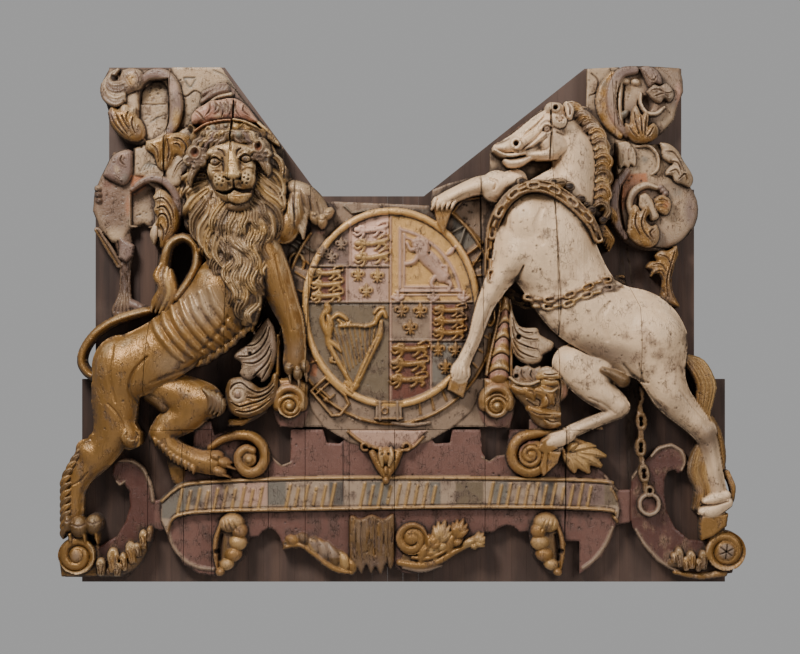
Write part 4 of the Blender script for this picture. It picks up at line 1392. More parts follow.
def right_folds(r):
    """The folds between the cloths, and a curled leaf."""
    r.use("cream")
    r.slab([(117, 238.5), (123, 240), (131, 236), (141, 236), (150, 230.5), (156, 222), (157, 216),
        (142, 211), (118, 217)], 9.5, 2.5, 2.5)
    r.carve([(117.6, 236, 0.4), (118, 218, 0.5)], -1.8, paint="dark")
    r.foliage([(119, 236.6), (124, 237), (127.6, 233), (128.8, 227.6), (128, 223.8), (125.8, 225),
        (124.6, 222.8), (122.2, 224.2), (120.4, 223), (119, 226.6)], 13.4,
        [[(122, 234.6), (121.4, 229.6), (121.6, 225)], [(124.6, 233.6), (124.4, 229.6), (124.6, 226)],
        [(126.6, 231), (126.8, 227.4)]], "cream", 1.6, 1.6, 1, 0.34)
    r.limb([(129.6, 234.6, 0.7, 12), (136, 234.6, 0.9, 12.8), (140.4, 229.6, 0.9, 13),
        (140.4, 222.6, 0.8, 12.6), (137.4, 219.6, 0.6, 12)], 0.8)
    r.patch(133.6, 227.6, 3, 2.6, "slate", 0.8)
    r.specks(129, 221, 139, 233, 8, 32)
    r.foliage([(141.2, 236.4), (146, 235.6), (150.6, 232), (154, 226.2), (157.4, 221), (159, 216.6),
        (157.4, 212.8), (153.4, 214.4), (149.8, 215.4), (147.6, 218.8), (144.8, 219.2), (145.4, 222.4),
        (148.2, 225), (145.6, 226.2), (143, 228.8), (142.4, 232.6)], 16.8,
        [[(143.6, 231.4), (148, 231), (151.6, 226.6), (153.8, 221.6)],
        [(146.6, 226.4), (150.8, 225), (152.8, 219.6)], [(145.8, 220.4), (149.8, 221.6), (152, 217.6)],
        [(151, 216.4), (154.4, 219.6), (155.8, 215)]], "cream", 2.8, 2.8, 1.6, 0.5)
    r.patch(156, 217, 3, 4.6, "dull_gold", 0.85, 20)
    r.patch(152, 216.6, 2.4, 2.4, "umber", 0.6)


def right_lower_cloth(r):
    """The lower cloth, its leaves, and the leaf that falls onto the rump."""
    r.use("dusty")
    lower = arc(138.3, 200.5, 24.3, 118, 398, 24, 0.9) + [(157.5, 217)]
    r.slab(lower, 9.5, 3.5, 3)
    for stain in ((149, 199, 12, 18, "cream", 0.9), (158, 200, 4.5, 11, "grey_mauve", 0.8),
            (150.6, 210, 4.6, 4, "slate", 0.6)):
        r.patch(*stain)
    r.specks(142, 186, 158, 208, 26, 33)
    r.field([(120, 219.6), (134.6, 220.4), (135.6, 212), (128.6, 205), (120.6, 200)], "orange")
    r.patch(127, 214, 8, 8, "umber", 0.45)
    r.use("grey_mauve")
    r.limb([(124, 221.6, 1.8, 12.6), (118.6, 213.6, 2.4, 13.6), (116.6, 204, 2.6, 14),
        (118.4, 193.6, 2.3, 13.4), (123, 186, 1.6, 12.4)], 0.84, full=4)
    r.patch(116.6, 197, 2.6, 7, "dull_gold", 0.7)
    r.carve([(121.2, 214, 0.6), (120.4, 203, 0.8), (122.6, 190, 0.6)], -2.6, paint="dark_red")
    r.use("dusty")
    r.slab([(126, 207), (130.6, 213), (137, 214), (141, 208.6), (139, 200), (133, 195), (127.6, 199)], 8.4,
        1, 1)
    r.patch(133, 204.6, 6, 6, "cream", 0.6)
    r.use("cream")
    r.limb([(126.2, 196.6, 1.3, 13), (125.2, 204, 1.9, 14.6), (128, 210.6, 2.1, 15.4),
        (134, 213.8, 1.9, 15.4), (139.6, 212.4, 1.3, 14.4)], 0.66)
    r.patch(127, 207.6, 2.6, 6, "grey_mauve", 0.6, -20)
    r.foliage([(130, 208.6), (134, 209.6), (137.4, 206), (139.6, 201.6), (141, 196.6), (137, 194.6),
        (134.6, 198.6), (130.6, 201.6)], 13.6, [[(132.6, 206.6), (135.4, 202.4)]], "cream", 2.6, 2.6, 0.8,
        0.4)
    r.use("grey_mauve")
    for k in range(3):
        r.mass(141.6 + 1.4 * k, 212.6 - 1.6 * k, 1.9, 1.6, 14, 0.8, 30)
    r.foliage([(138.6, 206.4), (142, 208.4), (146.2, 206.6), (147.4, 202.6), (145.6, 198.2), (141.6, 198.8),
        (139, 202)], 15.4, [[(139.8, 205.4), (143.4, 205.8), (146.4, 203.8)],
        [(139.8, 202.8), (143.4, 203), (146, 201)], [(141.4, 200.4), (144.8, 200.2)]], "gold", 1.8, 1.8,
        1.2, 0.4)
    r.patch(144.6, 203, 2.6, 3, "orange", 0.6)
    r.foliage([(123.8, 188.4), (124.8, 196), (127, 203), (129.6, 202.2), (131.2, 199.6), (133.6, 203),
        (136, 199.6), (133.8, 195.4), (136.6, 191.8), (139.6, 192.4), (141.2, 187.6), (139.8, 182.6),
        (135.8, 180.2), (130.2, 181.4), (126, 184.6)], 16.8,
        [[(128.8, 199.6), (127.8, 193), (131.2, 185.6)], [(133.4, 200.6), (131.2, 194.4), (132.4, 189),
        (136.6, 183.6)], [(138, 190.4), (135.6, 188), (137.8, 184.4)], [(126, 194.6), (125.8, 190)]],
        "gold", 3.2, 3.2, 1.9, 0.55)
    r.patch(130.8, 198.4, 2.2, 3, "cream", 0.7)
    r.patch(137.6, 187, 3, 4.4, "umber", 0.55)
    r.carve([(138, 180.6, 0.4), (146.6, 179.8, 0.6), (154, 184, 0.6), (158.6, 190, 0.4)], -1.5,
        paint="dark")
    r.foliage([(150.6, 181.4), (151.2, 176), (149.2, 169.6), (147.6, 163.6), (148.6, 156), (152.2, 148.4),
        (147.4, 149.2), (141.2, 150), (142.4, 157), (142.6, 163.4), (139.6, 166.6), (136.6, 164.6),
        (137, 168), (134.4, 169.6), (136.4, 172.8), (140, 173.2), (138.8, 176), (141.6, 178.6),
        (146, 178.8)], 13.6, [[(149.4, 178.6), (147, 170.6), (145, 162.6), (145.8, 152)],
        [(140.8, 176.6), (145.4, 174.8), (147.4, 170)], [(136.6, 170.8), (141.8, 171.4), (145.4, 166.6)],
        [(138.6, 167.2), (142.4, 167.6), (144.4, 163.2)], [(148.4, 172), (146.8, 163), (148.6, 153)],
        [(143.6, 160), (144, 152)]], "gold", 2.6, 2.8, 1.6, 0.45)
    for stain in ((137.6, 168.6, 3.4, 3.6, "pale_gold", 0.7), (142, 177, 3, 1.8, "cream", 0.7),
            (146.6, 154, 4.6, 7, "umber", 0.6)):
        r.patch(*stain)


# %% The unicorn
# %% [markdown]
# The second beast is worked like the first.  Its coat is smooth, so its muscles are broad melted
# masses with shallow furrows between, and only mane, beard, tail and chains are cut sharp.  One
# layer could hold all four legs, but near and far legs would melt together where they cross.


def unicorn_ground(r):
    """The plate behind head and neck, and the far foreleg that rests on the shield."""
    r.use("cream")
    r.slab([(50.6, 229), (50.4, 232.6), (62, 242.4), (76, 253), (82.6, 257.2), (90, 257.4), (104, 256),
        (106, 248), (106, 206), (50.6, 203)], 8)
    r.field([(58, 237.6), (59, 240), (70, 248.6), (72, 244.8), (64, 239.6)], "orange")
    r.field([(60, 239), (70.6, 247.4), (72.4, 244.6), (65, 240.4)], "rose")
    arm = Relief()
    arm.use("white")
    arm.limb([(64, 216, 6.5, 24), (55, 214, 5.8, 24), (45, 213.6, 5.2, 22), (36, 210.6, 4.4, 20),
        (28.4, 207, 4.2, 18.6), (22.6, 203.8, 3.9, 17)], 0.5, melt=3)
    arm.mass(54, 213, 9, 8.6, 24, 0.55, melt=4)
    arm.soften(2)
    arm.carve([(50, 216.6, 0.7), (53.6, 214.6, 1.3), (52, 211, 0.8)], -1.3)
    arm.carve([(30, 205.6, 0.6), (38, 208.8, 0.9), (46, 209.6, 0.6)], -0.9)
    r.lay(arm)
    r.use("gold")
    r.slab([(19.8, 202.6), (30.4, 202.2), (28.5, 196), (25.5, 187.3), (22.2, 193)], 14, 1.2, 1.4)
    r.use("white")
    for k in range(5):
        x = 19.6 + 2.6 * k
        r.lock([(x + 1.6, 206.6 - 0.5 * k, 1, 17), (x + 0.4, 203, 1, 17.6), (x - 0.4, 200.6, 0.5, 16)], 1.4,
            1, 0)


def unicorn_far_legs(r):
    """The far hind leg with its hoof, and what is left of a broken one."""
    far = Relief()
    far.use("white")
    far.limb([(114, 120, 10, 20), (103, 114, 13, 21), (96, 117, 9.5, 21)], 0.5, melt=5)
    far.limb([(94, 118, 10.5, 21), (104, 107.6, 9.8, 21), (111.5, 101, 8.2, 20.4), (118, 96.5, 6.6, 18.4)],
        0.5, melt=5)
    far.mass(119, 95, 6.4, 5.4, 18.6, 0.55, melt=3)
    far.limb([(119, 92.6, 4.4, 17), (110, 88.4, 3.5, 16), (99, 83.8, 3.5, 16), (92, 80.5, 4, 16.4)], 0.5,
        melt=3)
    far.soften(2, 2)
    far.limb([(92.6, 80, 4.4, 16.6), (86.6, 77.6, 4.8, 17.4), (81.6, 75.6, 3.6, 16)], 0.6)
    far.carve([(90.6, 84.6, 0.6), (92.4, 80, 0.7), (92.6, 76, 0.5)], -1)
    far.carve([(103, 100, 0.6), (111, 96.4, 0.9), (117, 91.6, 0.6)], -0.8)
    far.patch(104, 92, 22, 12, "dusty", 0.5)
    far.use("gold")
    far.slab([(82.6, 80), (86.6, 72.6), (79.6, 69.6), (75.6, 72.6), (78, 77.6)], 15.6, 1.2, 1.4)
    r.lay(far)
    r.use("white")                                       # the broken far hoof below
    r.limb([(87.5, 73, 2.6, 12), (83.5, 68.6, 2.4, 12.6), (81.6, 62.5, 1.2, 11.6)], 0.7)


def unicorn_body(r):
    """Neck, chest, barrel, near legs and hooves."""
    body = Relief()
    body.use("white")
    for bar in (([(90, 243, 10, 29), (95, 231, 12.6, 29), (95, 217, 13.6, 29.4), (88, 204, 19.5, 31.4),
            (80.4, 192, 25.5, 33), (80, 180, 25, 33)], 0.5, 7),
            ([(81, 181, 24.5, 33), (88.4, 167, 23.4, 31.4), (99, 151, 22.4, 29.6), (113, 141, 21.5, 29.4),
            (127, 135.4, 23.4, 30), (134, 130.5, 22, 30)], 0.5, 7),
            ([(137, 129, 19.5, 30.4), (142, 113, 12.6, 28), (147, 101.6, 10.3, 26),
            (153.6, 93.8, 8.6, 22.6), (161.5, 85.5, 6.8, 19.6), (167, 77, 5.4, 17.4), (170, 65, 4.6, 16.4),
            (172, 54, 4.5, 15.6), (173.5, 46, 5, 15.4)], 0.5, 6),
            ([(64, 185, 11.6, 31.4), (60, 172, 9.4, 30), (54.5, 162.5, 7.2, 27.4), (49, 152, 5.3, 24),
            (45.5, 143, 4.5, 22), (42, 131.5, 3.7, 20), (37.4, 121.5, 3.7, 19.4), (34.4, 115, 4.6, 19.4)],
            0.5, 4)):
        body.limb(*bar)
    for lump in ((70, 196, 13, 12, 34.5, 0.6, 30, 8), (64, 176, 8, 12, 33, 0.55, -20, 6),
            (137, 134, 16, 15, 31.6, 0.5, 0, 8), (166, 81, 5.6, 6.6, 19, 0.55, -30, 4),
            (34.6, 113.6, 5.4, 6.2, 20, 0.55, 0, 3)):
        body.mass(*lump)
    body.soften(3, 2)
    for cut in (([(67.4, 170, 0.7), (64.2, 163, 1.2), (60.4, 155, 0.9)], -1.8),
            ([(83.6, 224, 0.8), (86, 214, 1.3), (84, 208, 0.9)], -0.9),
            ([(77, 200, 1.4), (74, 191, 2.4), (77, 182, 1.6)], -0.8),
            ([(93, 178, 1.6), (99, 170, 2.8), (108, 163, 1.8)], -0.7),
            ([(113, 150, 1.6), (108, 142, 2.6), (112, 131, 1.8)], -0.8),
            ([(121, 118, 0.9), (128, 110.6, 1.5), (134, 108, 0.9)], -1.5),
            ([(129, 118, 0.7), (133.6, 104, 1.2), (141, 95.6, 0.8)], -1.1),
            ([(150.6, 104, 0.6), (157.4, 96, 0.9), (164.4, 88.6, 0.6)], -0.8),
            ([(50.6, 149, 0.5), (46.4, 138, 0.8), (43, 127, 0.5)], -0.8),
            ([(46.6, 151, 0.4), (43, 138, 0.6), (39.2, 126, 0.4)], -0.6)):
        body.carve(*cut)
    for k in range(4):
        body.carve([(31.4 + 2.2 * k, 116.4, 0.4), (30.8 + 2.4 * k, 111, 0.7)], -0.8, 1)
    for x, z, rx, rz, turn, share in ((106, 125, 26, 9, -12, 0.95), (166, 76, 11, 20, -30, 0.95),
            (150, 95, 12, 16, -50, 0.4), (172, 54, 7, 14, 0, 0.5), (66, 160, 12, 12, 0, 0.35),
            (45, 136, 6, 24, -18, 0.35), (99, 222, 9, 20, 0, 0.35), (84, 226, 5, 9, 0, 0.7),
            (120, 122, 14, 8, 0, 0.6), (58, 205, 8, 8, 0, 0.3)):
        body.patch(x, z, rx, rz, "dusty", share, turn)
    r.lay(body)
    r.use("gold")                                        # hooves
    r.slab([(29.4, 110.2), (38.6, 108.6), (36, 99.6), (30.6, 102.6), (27.6, 104)], 15.5, 1.2, 1.6)
    r.slab([(163.6, 37), (178, 38), (177, 31), (170, 25.6), (163.6, 23.4), (162.6, 30)], 15, 1.6, 2.4)
    r.use("white")
    r.limb([(177, 43.6, 3.6, 16.6), (169.6, 39.6, 4.4, 17.4), (164.4, 38.6, 2.8, 16)], 0.7)
    r.limb([(176.6, 47.6, 2.6, 16.8), (170, 45.8, 3, 17.8), (165.6, 44.6, 1.8, 16.4)], 0.8)
    r.carve([(178, 44.6, 0.4), (170.6, 42.6, 0.5), (163.6, 41.6, 0.4)], -1.2, 4, "umber")
    r.use("dull_gold")                                   # the sheath
    r.limb([(110, 115, 2.6, 23), (116, 112.6, 3.2, 23.4), (121, 109.6, 4.4, 23)], 0.6)


def unicorn_head(r):
    """A straight face with a flared nostril, a slightly open mouth and the socket of the lost horn."""
    h = Relief()
    h.use("white")
    h.limb([(86.4, 248.4, 7.6, 30), (80, 243.4, 9.4, 31.6), (72.6, 238.8, 8.4, 31.6),
        (65.2, 235.2, 6.6, 31), (59, 233.4, 4.7, 30), (54.2, 232.6, 2.9, 28.6)], 0.62, melt=3)
    for lump in ((83.8, 236.2, 9, 9.6, 31.8, 0.64, 0, 6), (86, 248.6, 7, 8, 31.4, 0.6, 20, 5),
            (63.6, 234.6, 4.4, 4.2, 32.2, 0.75, 0, 3)):
        h.mass(*lump)
    h.limb([(88.6, 233, 4.4, 29.4), (82, 229.8, 3.6, 29), (75, 229.4, 3, 28.4), (68, 229.2, 2.4, 28)], 0.7,
        melt=3)
    h.soften(2, 2)
    h.limb([(71, 227.6, 1.6, 27.4), (65.8, 225.4, 2.5, 28.4), (61, 224.9, 2.4, 28.4),
        (58.2, 226, 1.4, 27.4)], 0.75)
    h.limb([(51.9, 231.8, 0.7, 29), (54.8, 229.9, 0.9, 29.8), (58.6, 228.7, 0.9, 30.2),
        (63.6, 229, 0.9, 30.4), (68, 230, 0.6, 30)], 0.94)
    h.carve([(52.4, 230.8, 0.3), (55.4, 228.7, 0.5), (59.2, 227.6, 0.55), (64, 227.6, 0.55),
        (68.6, 228.6, 0.35)], -3.6, 4, "black")
    for stain in ((56, 231.2, 5, 1.8, "dusty", 0.7, -25), (84, 240, 7, 12, "dusty", 0.4),
            (72, 240.6, 9, 3, "pale_gold", 0.3, 40), (60.6, 226, 4.6, 1.6, "dusty", 0.5)):
        h.patch(*stain)
    h.ring(63.4, 234.7, 2, 2.2, 0.9, 33.8)
    h.dot(63.4, 234.7, 1.6, -3, "dark")
    for k in range(3):                                   # folds round the nostril and the lip
        h.carve([(53 + 1.4 * k, 234.8 + 0.7 * k, 0.35), (56.6 + 1 * k, 235.6 + 0.6 * k, 0.5),
            (60.2, 237.4 + 0.5 * k, 0.35)], -0.7, 4, "dusty")
    for k in range(3):                                   # long folds of the cheek
        h.carve([(67 + 1 * k, 232 - 0.2 * k, 0.6), (72.6 + 0.8 * k, 236.4 - 1.4 * k, 1.1),
            (77.6 + 1 * k, 241.6 - 2 * k, 0.7)], (-1.2, 0.9, -0.9)[k], 4)
    for cut in (([(80, 252.6, 0.8), (73.6, 246.2, 1.3), (67.6, 240.8, 0.9)], 1.3),
            ([(78.6, 249, 0.6), (72.4, 242.6, 0.9), (67.6, 238.4, 0.6)], -0.9),
            ([(66.6, 237.4, 0.7), (62.4, 231.6, 0.5), (66.6, 231.4, 0.6)], -0.7),
            ([(85, 240.6, 0.6), (90, 238, 1), (91.4, 233.6, 0.6)], -1.2),
            ([(76.6, 231, 0.6), (81, 232.6, 0.8), (81.6, 238, 0.5)], -0.7)):
        h.carve(*cut)
    for spot in ((79.6, 242.4, 2.5, -1.8, "dusty"), (79.6, 242.4, 1.7, 1.9, "dusty"),
            (79.6, 242.4, 0.5, -0.6, "black")):
        h.dot(*spot)
    for cut in (([(76.2, 242.2, 0.5), (79.2, 244.8, 0.8), (82.8, 243.6, 0.5)], 1.7, 4, "white"),
            ([(77, 240.8, 0.4), (79.8, 240, 0.5), (82.4, 241.2, 0.4)], 1.1, 4, "white"),
            ([(76.4, 244.6, 0.4), (79.4, 246.6, 0.6), (83.4, 245.4, 0.4)], -0.8, 4, "dusty")):
        h.carve(*cut)
    h.use("cream")
    h.mass(84.2, 253.4, 5.2, 3.6, 32.2, 0.86, -8, melt=2)
    h.ring(84.2, 253.6, 1.9, 1.6, 0.8, 34)
    h.dot(84.2, 253.6, 1.3, -4.5, "black")
    h.whorl(86.4, 246.6, 3.2, 33.4, -1, 60, 1.6)
    h.use("white")
    h.limb([(90.2, 256.6, 0.9, 32), (91.8, 253.2, 2.7, 34.6), (91.6, 249, 2.2, 33.8)], 0.7)
    h.carve([(90.8, 255.4, 0.5), (92, 252.8, 1.1), (91.8, 250, 0.6)], -2.2, 4, "umber")
    h.carve([(81.9, 252.4, 0.4), (82.1, 240, 0.4), (81.5, 226.6, 0.4)], -2, paint="black")
    r.lay(h)


def unicorn_mane(r):
    """Waved locks swept back from the crest of the neck, and the long end of the mane."""
    front, r = r, Relief()
    r.use("dull_gold")
    r.limb([(91, 256.4, 2, 24), (98, 251.4, 4, 24), (105, 244, 5, 24), (109, 233, 5.2, 23),
        (109.4, 220, 5.2, 22), (109, 208, 4.8, 21), (107.6, 199, 3.8, 19)], 0.6)
    inner = smooth([(89.6, 255), (94.4, 250.6), (99.6, 245.6), (103.6, 240), (106, 232), (106.6, 222),
        (106.2, 212), (105.6, 202)], 7)
    count = 18
    for k in range(count):
        x, z = inner[int(k * (len(inner) - 1) / (count - 1))]
        s = k / (count - 1)
        reach = 1 if k % 2 else 0.82
        if s < 0.5:
            r.use(("cream", "gold", "pale_gold", "dusty", "gold", "dull_gold")[k % 6])
        else:
            r.use(("gold", "dull_gold", "pale_gold", "gold")[k % 4])
        sweep = np.array([(0, 0), (2.8, 1.7), (6, 0.8), (7.6, -2.8), (5.6, -6.2), (3.4, -8)]) * reach
        height = 28.4 - 4.2 * s + np.array([0, 0.6, 0.2, -0.8, -1.8, -2.8])
        r.lock(np.column_stack([x + sweep[:, 0], z + sweep[:, 1],
            (1.55 if k % 2 else 1.25) * np.array([0.7, 1, 1.1, 1.05, 0.85, 0.4]), height]), 2.8, 2, 0.4)
    r.use("gold")
    for k in range(3):
        r.tress(111.6 + 1 * k, 206 - k, -80, 14, 1.3, 14.6, 20, 30, 2, 2, 0.35)
    for k in range(4):
        r.tress(103.6 + 1 * k, 194 - 1.5 * k, -50, 17, 1.5, 20.6, -20, 50, 2.2, 2, 0.35)
    r.web(3, 0.9, 0.6)
    front.lay(r)


def unicorn_tail(r):
    """A tail that falls behind the hind leg in two waves and frays at its end."""
    for k in range(6):
        s = k / 5
        r.use(("gold", "dull_gold", "pale_gold")[k % 3])
        r.lock([(152 + 2 * s, 124 - 1.5 * s, 1.3, 16), (157.6 + 6 * s, 117 + 1.6 * s, 1.8, 17),
            (162.6 + 6.6 * s, 107.4, 2, 17.4), (162.2 + 6.2 * s, 98.6, 1.8, 16.6),
            (162 + 5 * s, 90.6, 1.4, 15), (165 + 5.6 * s, 84, 1.1, 14)], 2.4, 2, 0.35)
    r.use("gold")
    r.limb([(168.5, 88, 2.8, 13), (172.8, 80, 2.6, 12), (175, 70, 2.3, 12), (175.6, 62, 1.6, 11)], 0.6)
    for k in range(6):
        s = k / 5
        r.use(("dull_gold", "gold", "pale_gold")[k % 3])
        r.lock([(164.4 + 3 * s, 77 + s, 1.1, 12), (160 + 6 * s, 69, 1.6, 13),
            (158.2 + 7 * s, 59.6, 1.7, 13.4), (161.6 + 6 * s, 51, 1.5, 13), (161 + 6.2 * s, 44.4, 1.2, 12),
            (159.6 + 5 * s, 39.6, 0.5, 11)], 2, 2, 0.35)
    r.use("gold")
    for k in range(2):
        r.lock([(177 + 1.2 * k, 60, 0.9, 10), (180.4 + 0.8 * k, 52, 1.1, 11),
            (181 - 0.4 * k, 46, 0.9, 10.6), (179.6 + 0.6 * k, 41.6, 0.4, 9.6)], 1.5, 1, 0)


# %% The chains
# %% [markdown]
# A link is a bar bent to an oval.  A curve could carry copies of one link, but as strokes the
# links become one solid with the wood that they are carved from.


def chain(r, path, link, wire, level, bulge=0):
    """Links along a path, in turn flat to the front and edge on."""
    p = smooth(path, 12)
    length = np.concatenate([[0], np.cumsum(np.hypot(*np.diff(p[:, :2], axis=0).T))])
    count = max(int(length[-1] / link), 1)
    for k in range(count + 1):
        s = k * length[-1] / count
        x, z = np.interp(s, length, p[:, 0]), np.interp(s, length, p[:, 1])
        ahead = (np.interp(min(s + 1, length[-1]), length, p[:, 0])
            - np.interp(max(s - 1, 0), length, p[:, 0]), np.interp(min(s + 1, length[-1]), length, p[:, 1])
            - np.interp(max(s - 1, 0), length, p[:, 1]))
        turn = np.degrees(np.arctan2(ahead[1], ahead[0]))
        i, j = np.searchsorted(Z, z), np.searchsorted(X, x)
        height = level + bulge * np.sin(pi * s / length[-1]) if level else r.height[i, j] + 1.2
        if k % 2:
            c, n = np.cos(np.radians(turn)) * link * 0.44, np.sin(np.radians(turn)) * link * 0.44
            r.limb([(x - c, z - n, wire * 1.1, height), (x + c, z + n, wire * 1.1, height)], 0.93, steps=1)
        else:
            r.ring(x, z, link * 0.56, link * 0.26, wire, height + wire * 0.5, turn, 3.2)


def chains(r):
    """Collar with its leaves, waist chain, and the chain that hangs to a ring."""
    collar = [(50.5, 165, 2.3, 14), (50.6, 176, 2.4, 16), (51.6, 190, 2.4, 22), (55, 199, 2.4, 30),
        (60, 206, 2.5, 34), (67, 211, 2.6, 36), (75, 212.2, 2.6, 37), (84, 209.6, 2.6, 37),
        (94, 202.6, 2.6, 36), (103, 193.5, 2.4, 32), (107, 186, 2, 26)]
    r.limb([(x, z, w + 0.7, h - 1.2) for x, z, w, h in collar], 0.92)
    r.use("umber")
    r.limb([(x, z, w * 0.8, h - 0.6) for x, z, w, h in collar], 0.96)
    r.patch(76, 208, 20, 8, "dull_gold", 0.6)
    r.use("gold")
    for shift in (-2.7, 2.8):
        r.limb([(x + shift * (0.9 if x < 56 else 0.35), z + (0 if x < 56 else shift * 0.9), 0.62, h + 0.2)
                for x, z, w, h in collar], 0.95)
    chain(r, [(x, z, 1) for x, z, w, h in collar[:4]], 5.6, 0.8, 0)
    chain(r, [(x, z, 1) for x, z, w, h in collar[3:]], 5.6, 0.8, 0)
    r.use("dull_gold")
    for x, z, size in ((87, 213.6, 3), (91.6, 212, 2.6), (83.4, 214.2, 2.2), (98, 205.6, 2.4),
            (103.6, 199.6, 2.6), (109.6, 194.4, 2.2), (66.4, 214.8, 2.2), (100.8, 203, 1.6)):
        r.mass(x, z, size, size * 0.85, 37 if x < 95 else 34, 0.86)
        r.carve([(x - size * 0.5, z, 0.4), (x + size * 0.5, z + 0.3, 0.4)], -1.2, 1, "dark")
        r.use("dark")
    for k, (x, z) in enumerate(((68.4, 217.6), (72.6, 219.6), (76.6, 217.4), (80.4, 215.6))):
        r.use(("cream", "dusty")[k % 2])                 # curls under the jaw
        r.whorl(x, z, 2.3, None, 1 if k % 2 else -1, 70 * k, 1.8)
    for path, level, colour in (([(101, 154.4), (109, 157.6), (118, 159.4)], 0, "umber"),
            ([(61, 156.6), (70, 153.6), (80, 152.2), (90, 154.2), (100, 158.4), (110, 162.4), (121, 163.8),
            (126.6, 161)], 0, "gold"), ([(61, 153.2), (66, 150.3), (78, 148.6), (90, 149.8), (98, 153.6),
            (106, 156)], 0, "pale_gold")):
        r.carve([(x, z - 0.8, 2.2) for x, z in path], -0.5, 4, "dusty")
        r.use(colour)
        chain(r, [(x, z, 1) for x, z in path], 5, 0.80, level)
    r.use("dull_gold")
    chain(r, [(130.3, 101, 1), (131, 94, 1), (131.8, 86, 1), (131.5, 78, 1), (131.6, 70, 1), (133, 61, 1),
        (134, 52, 1)], 6.8, 1.2, 10.6)
    r.limb([(130.3, 101, 1, 6), (131.5, 78, 1, 6), (134.4, 48, 1, 6)], 0.8)
    r.use("dusty")
    r.ring(136, 42.5, 5.2, 5.4, 1.1, 12.5)
    r.use("dull_gold")
    r.ring(136, 49.6, 2, 2.4, 0.8, 12.5)
    r.use("mauve")
    r.mass(136, 42.5, 4.4, 4.6, 8.6, 0.97)


# %% Leaves beside the shield, and the lower board
# %% [markdown]
# An acanthus leaf is one swelling surface with furrows that run to its tips, or broad lobes laid
# over each other.  Scroll ends are one formula for a wound band.  Outlines, furrows, sizes and
# turns change from place to place.  Each leaf could be a mesh of its own, but as strokes on the
# sheet the lobes melt into the board behind them.


def left_leaves(r):
    """A cream leaf in soft lobes, and the rolled leaf it grows from, between belly and foreleg."""
    leaf = Relief()
    leaf.foliage([(-91.4, 104), (-89.4, 109.2), (-85.4, 110.8), (-80.6, 110.4), (-76.6, 107.6),
        (-72.5, 105), (-67.7, 107.4), (-66.1, 112.4), (-63.4, 112.4), (-63.2, 105.2), (-64.5, 98.8),
        (-68.5, 94.2), (-73.3, 91.2), (-80.6, 89), (-87, 90.8), (-90.4, 95.6)], 16.4,
        [[(-88.6, 101), (-87.6, 106), (-83, 107.8), (-78.6, 104.6), (-73.4, 102.6), (-67.4, 105.6),
        (-64.8, 110)], [(-80, 100), (-74.4, 99.8), (-68.4, 102.4), (-64.8, 106.6)],
        [(-88.4, 97.6), (-84, 95.2), (-78, 96.6), (-71, 99), (-65.4, 103.6)],
        [(-86, 93), (-80, 92.2), (-73, 94.6), (-66.6, 99.4)]], "dull_gold", 3.4, 3.4, 2, 0.6)
    leaf.patch(-76, 96, 15, 6, "gold", 0.9, 12)
    leaf.patch(-82, 107, 7, 4, "pale_dusty", 0.9, -10)
    leaf.use("cream")
    leaf.volute(-84.4, 101.6, 4.6, 17.4, -1, 100, 1.1, 1.6, 0.4)
    leaf.patch(-84.4, 101.6, 2.6, 2.6, "mauve", 0.7)
    leaf.foliage([(-68.5, 143), (-72, 138.4), (-75.6, 133.4), (-79, 128.6), (-85.6, 124.4), (-86.4, 121),
        (-83.6, 119.2), (-82.6, 116.4), (-83.4, 112.6), (-81, 109.6), (-77.6, 109.4), (-74.6, 111.4),
        (-72.6, 108.4), (-69.4, 109.4), (-66.4, 114.6), (-64.2, 122), (-64, 130), (-65.6, 138)], 17.6,
        [[(-84.6, 122), (-78.6, 122.2), (-73, 125.4), (-69, 131.6), (-67.4, 138)],
        [(-81.6, 118.6), (-75.6, 118.4), (-70, 122.4), (-66.8, 129)],
        [(-76.4, 111.4), (-73, 114.4), (-68.8, 119), (-66, 126)],
        [(-71.6, 109.8), (-69.6, 113.6), (-66.8, 119)], [(-80, 127.4), (-75, 128.4), (-70.6, 133.6),
        (-68.6, 139)]], "dusty", 3.6, 3.6, 2, 0.6)
    for stain in ((-74, 130, 4, 8, "cream", 0.6, -30), (-80, 115, 4, 5, "cream", 0.6),
            (-78, 124, 7, 3, "pale_dusty", 0.7, 20), (-66, 114, 2.6, 9, "gold", 0.8, 8)):
        leaf.patch(*stain)
    leaf.dot(-73.6, 109.4, 1.6, -5, "dark")
    leaf.dot(-78, 123.4, 1.2, -2, "dark")
    r.lay(leaf)
    r.use("gold")
    r.limb([(-63.4, 133, 1, 13), (-63.4, 122, 1.4, 14), (-63.4, 112, 1.3, 14)], 0.75)
    r.slab([(-90.4, 88), (-81.4, 89.2), (-74.2, 91.2), (-68.5, 96), (-69.6, 91.6), (-76.6, 87.4),
        (-82.2, 84.8), (-90.2, 84.2)], 11, 1.5, 2)
    r.carve([(-88, 87, 0.5), (-79, 88.2, 0.7), (-71, 92.6, 0.4)], 0.9)


